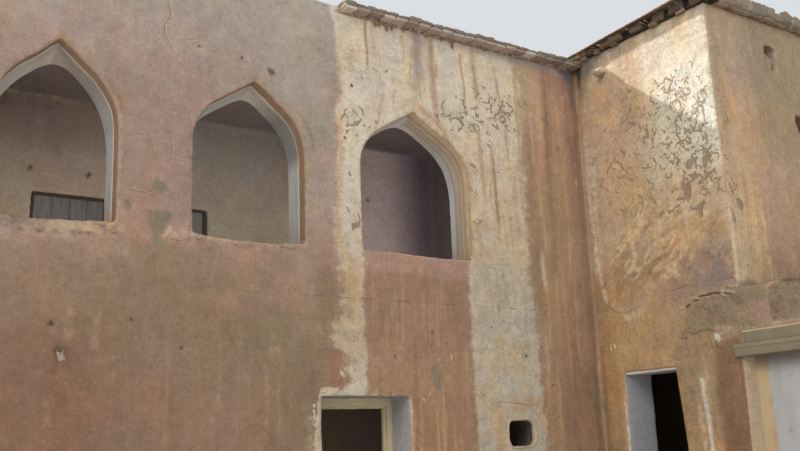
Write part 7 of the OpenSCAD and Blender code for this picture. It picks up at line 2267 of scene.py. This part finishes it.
while x < 5.15:
    w_ = U(.10, .34)
    bits.add(rbox((x, -1.585 + U(0, .03), 5.774 + U(0, .010)), (min(x + w_ + .01, 5.2), -1.50, 5.804 + U(-.006, .008)), .02, .010, .010, .04, 1800 + i, roll=U(-.05, .05)), blend_tone("drip", "mudgrey", U(.1, 1)), U(0, 1))
    x += w_
    i += 1
bits.build("wing_front_cornice_mud", MUD, "roof_mud", "wing_front_cornice")

bits = Bits()
for xa, xb_, z0_ in ((-5.2, 1.60, 5.70), (1.62, 5.2, 5.78)):
    x = xa
    while x < xb_ - .05:
        wd_ = min(U(.19, .21), xb_ - x)
        bits.add(rbox((x + .004, 3.385, z0_), (x + wd_ - .004, U(3.60, 3.612), z0_ + .036), .06, .007, .003, .06, 400 + i, yaw=U(-.015, .015)), bt(), U(0, 1))
        x += wd_
        i += 1
    x = xa
    while x < xb_ - .05:
        wd_ = min(U(.30, .42), xb_ - x)
        bits.add(rbox((x, 3.372, z0_ + .034), (x + wd_ + .01, U(3.590, 3.608), z0_ + .090), .045, .020, .007, .09, 460 + i), blend_tone("mudgrey", "tan", U(0, .6)), U(0, 1))
        x += wd_
        i += 1
    bits.add(rbox((xa + .01, 3.39, z0_), (xb_ - .01, 3.58, z0_ + .05), .12, .01, .003, .1, 399), "shade", .3)
bits.build("back_cornice_bricks", BRICKM, "old_brick", "back_cornice")


# ------------------------------------------------------------------ mud roofs
def roof(name, node, x0, x1, y0, y1, zb_, ztop_fn, seed):
    h = .055 * QK
    nx, ny = int((x1 - x0) / h), int((y1 - y0) / h)
    gx, gy = np.meshgrid(np.linspace(x0, x1, nx + 1), np.linspace(y0, y1, ny + 1), indexing="ij")
    gx, gy = gx.ravel(), gy.ravel()
    q = np.column_stack([gx, gy, 0 * gx])
    ed = np.minimum(np.minimum(gx - x0, x1 - gx), np.minimum(gy - y0, y1 - gy))
    z = ztop_fn(gx, gy) + (.012 * fbm(q, .8, 3, .5, seed) + .006 * fbm(q, .2, 3, .55, seed + 3)) * sstep(0, .25, ed) - .022 * (1 - sstep(0, .06, ed))
    top = np.column_stack([gx, gy, z])
    idx = np.arange((nx + 1) * (ny + 1)).reshape(nx + 1, ny + 1)
    a, b, c, d = idx[:-1, :-1].ravel(), idx[1:, :-1].ravel(), idx[1:, 1:].ravel(), idx[:-1, 1:].ravel()
    f = np.vstack([np.column_stack([a, b, c]), np.column_stack([a, c, d])])
    rim = np.concatenate([idx[:-1, 0], idx[-1, :-1], idx[:0:-1, -1], idx[0, :0:-1]])
    n0 = len(top)
    low_r = top[rim].copy()
    low_r[:, 2] = zb_
    k = len(rim)
    ii = np.arange(k)
    s1 = np.column_stack([rim, n0 + ii, n0 + (ii + 1) % k])
    s2 = np.column_stack([rim, n0 + (ii + 1) % k, rim[(ii + 1) % k]])
    cen_ = np.array([[(x0 + x1) / 2, (y0 + y1) / 2, zb_]])
    fanc = np.column_stack([n0 + (ii + 1) % k, n0 + ii, np.full(k, n0 + k)])
    v = np.vstack([top, low_r, cen_])
    fa = np.vstack([f, s1, s2, fanc])
    t1 = np.clip(.5 + .9 * fbm(v, .9, 4, .55, seed + 9), 0, 1)[:, None]
    tone = PAL["dun"] * t1 + PAL["mudgrey"] * (1 - t1)
    b_ = Bits()
    b_.add((v, fa, np.zeros(len(v))), tone, .5)
    return b_


b_ = roof("main_roof_mud", "main_roof", X0, 1.622, .40, 3.385, 5.69, lambda x, y: 5.785 + .075 * np.clip(1 - ((y - 1.9) / 1.5) ** 2, 0, 1), 61)
b_.build("main_roof_mud", MUD, "roof_mud", "main_roof")
b_ = roof("wing_roof_mud", "wing_roof", 1.745, X1, -1.42, 3.385, 5.77, lambda x, y: 5.902 - .036 * np.clip((y + 1.38) / 4.75, 0, 1) + .045 * np.clip(1 - ((x - 3.47) / 1.75) ** 2, 0, 1), 67)
b_.build("wing_roof_mud", MUD, "roof_mud", "wing_roof")

# ------------------------------------------------------------------ back windows
fb, pb = Bits(), Bits()
for wi, (a, b) in enumerate(BWIN):
    dk = "black" if wi == 0 else "shade"
    tn_ = blend_tone("black", "shade", .45)
    fb.add(rbox((a - .01, 3.112, 4.350), (b + .01, 3.188, 4.380), .05, .006, .003, .3, 601 + wi), tn_, .2)
    fb.add(rbox((a - .01, 3.112, 3.295), (b + .01, 3.188, 3.365), .05, .008, .003, .3, 603 + wi), tn_, .7)
    lv = rbox((a - .005, 3.112, 3.32), (a + .032, 3.188, 4.36), .05, .006, .003, .3, 605 + wi)
    lv[0][:, 0] -= (4.35 - lv[0][:, 2]) * .035
    fb.add(lv, tn_, .4)
    fb.add(rbox((b - .034, 3.112, 3.32), (b + .005, 3.188, 4.36), .05, .006, .003, .3, 607 + wi), tn_, .5)
    mx = a + .4 * (b - a)
    fb.add(rbox((mx - .013, 3.118, 3.34), (mx + .013, 3.182, 4.355), .05, .005, .002, .3, 609 + wi), blend_tone("shade", "smoke", .5), .9)
    for x_, s__ in ((a + .02, -1), (b - .02, 1)):
        fb.add(tube([(x_, 3.14, 4.36), (x_ + .006 * s__, 3.135, 4.40), (x_ + .016 * s__, 3.13, 4.455)], [.020, .018, .012], 10, .003, .04, 5), tn_, .3)
    for j_, (xa, xb_) in enumerate(((a + .024, mx - .008), (mx + .008, b - .024))):
        n_ = 4 if j_ == 0 else 6
        for i_ in range(n_):
            u0, u1 = xa + (xb_ - xa) * i_ / n_, xa + (xb_ - xa) * (i_ + 1) / n_
            pb.add(rbox((u0 + .0015, 3.136 + U(0, .003), 3.35), (u1 - .0015, 3.164, 4.355), .06, .004, .0015, .3, 620 + i_ + 10 * j_ + 30 * wi), blend_tone("soot", "slate", U(.38, .52)), U(0, 1))
    # a pale strip under the top bar stands for daylight through a gap: painted light
    pb.add(rbox((mx + .03, 3.128, 4.27), (b - .16, 3.15, 4.288), .06, .004, .001, .3, 700 + wi), blend_tone("slate", "lime", .3), .8)
fb.build("back_window_frames_wood", WOODX, "dark_wood", "back_window_frames")
pb.build("back_window_panels_boards", PANELM, "grey_board", "back_window_panels")

# ------------------------------------------------------------------ peg, stub, stone in the pocket
bits = Bits()
bits.add(tube([(-3.930, .315, 2.425), (-3.930, .28, 2.424), (-3.928, .24, 2.420), (-3.925, .212, 2.414), (-3.924, .206, 2.411)], [.021, .022, .021, .017, .010], 14, .003, .03, 7), "shade", .2)
bits.add(rbox((-3.935, .232, 2.338), (-3.885, .262, 2.425), .010, .011, .006, .03, 71, roll=-.28, tilt=.06), "clay", .8)
bits.build("wall_peg_stick", WOODZ, "dark_wood", "wall_peg")
bits = Bits()
sv = tube([(1.655, -.118, 5.548), (1.63, -.118, 5.546), (1.60, -.120, 5.540), (1.565, -.124, 5.530), (1.535, -.128, 5.516), (1.512, -.132, 5.500), (1.504, -.133, 5.494)], [.056, .057, .056, .050, .042, .030, .014], 18, .010, .05, 9)
tt_ = np.clip((sv[0][:, 2] - 5.53) / .03 + .5 + .6 * fbm(sv[0], .03, 2, .5, 33), 0, 1)[:, None]
bits.add(sv, PAL["ivory"] * tt_ + PAL["mudgrey"] * (1 - tt_), .6)
bits.build("wall_stub_lime", LIME, "lime_stub", "wall_stub")
bits = Bits()
bits.add(rbox((2.565, YW + .03, 5.268), (2.69, YW + .15, 5.42), .014, .035, .014, .06, 81, roll=.3), "mudgrey", .6)
bits.add(rbox((2.60, YW + .06, 5.40), (2.66, YW + .14, 5.47), .012, .02, .010, .05, 82, roll=-.5), "dun", .3)
bits.build("pocket_stones", LIME, "lime_stub")
print("   small pieces:", sum(n for _, n in COUNT), "triangles;", ", ".join(f"{a} {b}" for a, b in COUNT if b > 15000))
tick("small pieces")

# ------------------------------------------------------------------ floor and light
def stage_floor():
    g = Graph("studio_floor")
    n = g.noise(3.0, 4, .5)
    g.bump(g.math("MULTIPLY", n, .0005), .5)
    m = g.done(g.mix(n, (.72, .71, .69, 1), (.76, .75, .73, 1)), .8, .2)
    s = 40.0
    ob = mesh_object("studio_floor", [(-s, -s, -.002), (s, -s, -.002), (s, s, -.002), (-s, s, -.002)], [(0, 1, 2, 3)], m)


stage_floor()
world = bpy.data.worlds.new("studio")
bpy.context.scene.world = world
world.use_nodes = True
bg = world.node_tree.nodes["Background"]
bg.inputs[0].default_value = (.93, .96, 1.0, 1)
bg.inputs[1].default_value = .76


def sun(name, direction, strength, angle, color=(1, 1, 1)):
    d = bpy.data.lights.new(name, "SUN")
    d.energy = strength
    d.angle = math.radians(angle)
    d.color = color
    o = bpy.data.objects.new(name, d)
    o.rotation_euler = Vector(direction).to_track_quat("-Z", "Y").to_euler()
    bpy.context.scene.collection.objects.link(o)


def fill(name, at, size, watts, aim, color=(1, 1, 1)):
    """A soft panel of light inside a room."""
    d = bpy.data.lights.new(name, "AREA")
    d.shape = "RECTANGLE"
    d.size, d.size_y = size
    d.energy = watts
    d.color = color
    o = bpy.data.objects.new(name, d)
    o.location = at
    o.rotation_euler = Vector(aim).to_track_quat("-Z", "Y").to_euler()
    o.visible_camera = False
    bpy.context.scene.collection.objects.link(o)


sun("key", (.95, .60, -.62), 1.30, 34, (1.0, .985, .965))
sun("rim", (.90, -2.24, -1.75), 6.9, 1.2, (.94, 1.0, 1.15))
fill("upper_room_fill", (-1.50, .86, 3.10), (5.9, .22), 60, (0, .85, .5), (1.0, .97, .93))
fill("lower_room_fill", (-1.55, .95, .35), (5.0, .3), 8, (0, .8, .6), (1.0, .96, .92))
bpy.context.scene.view_settings.view_transform = "Standard"
bpy.context.scene.view_settings.look = "None"
bpy.context.scene.view_settings.exposure = 0.0
tick("stage and light")

bpy.context.view_layer.update()
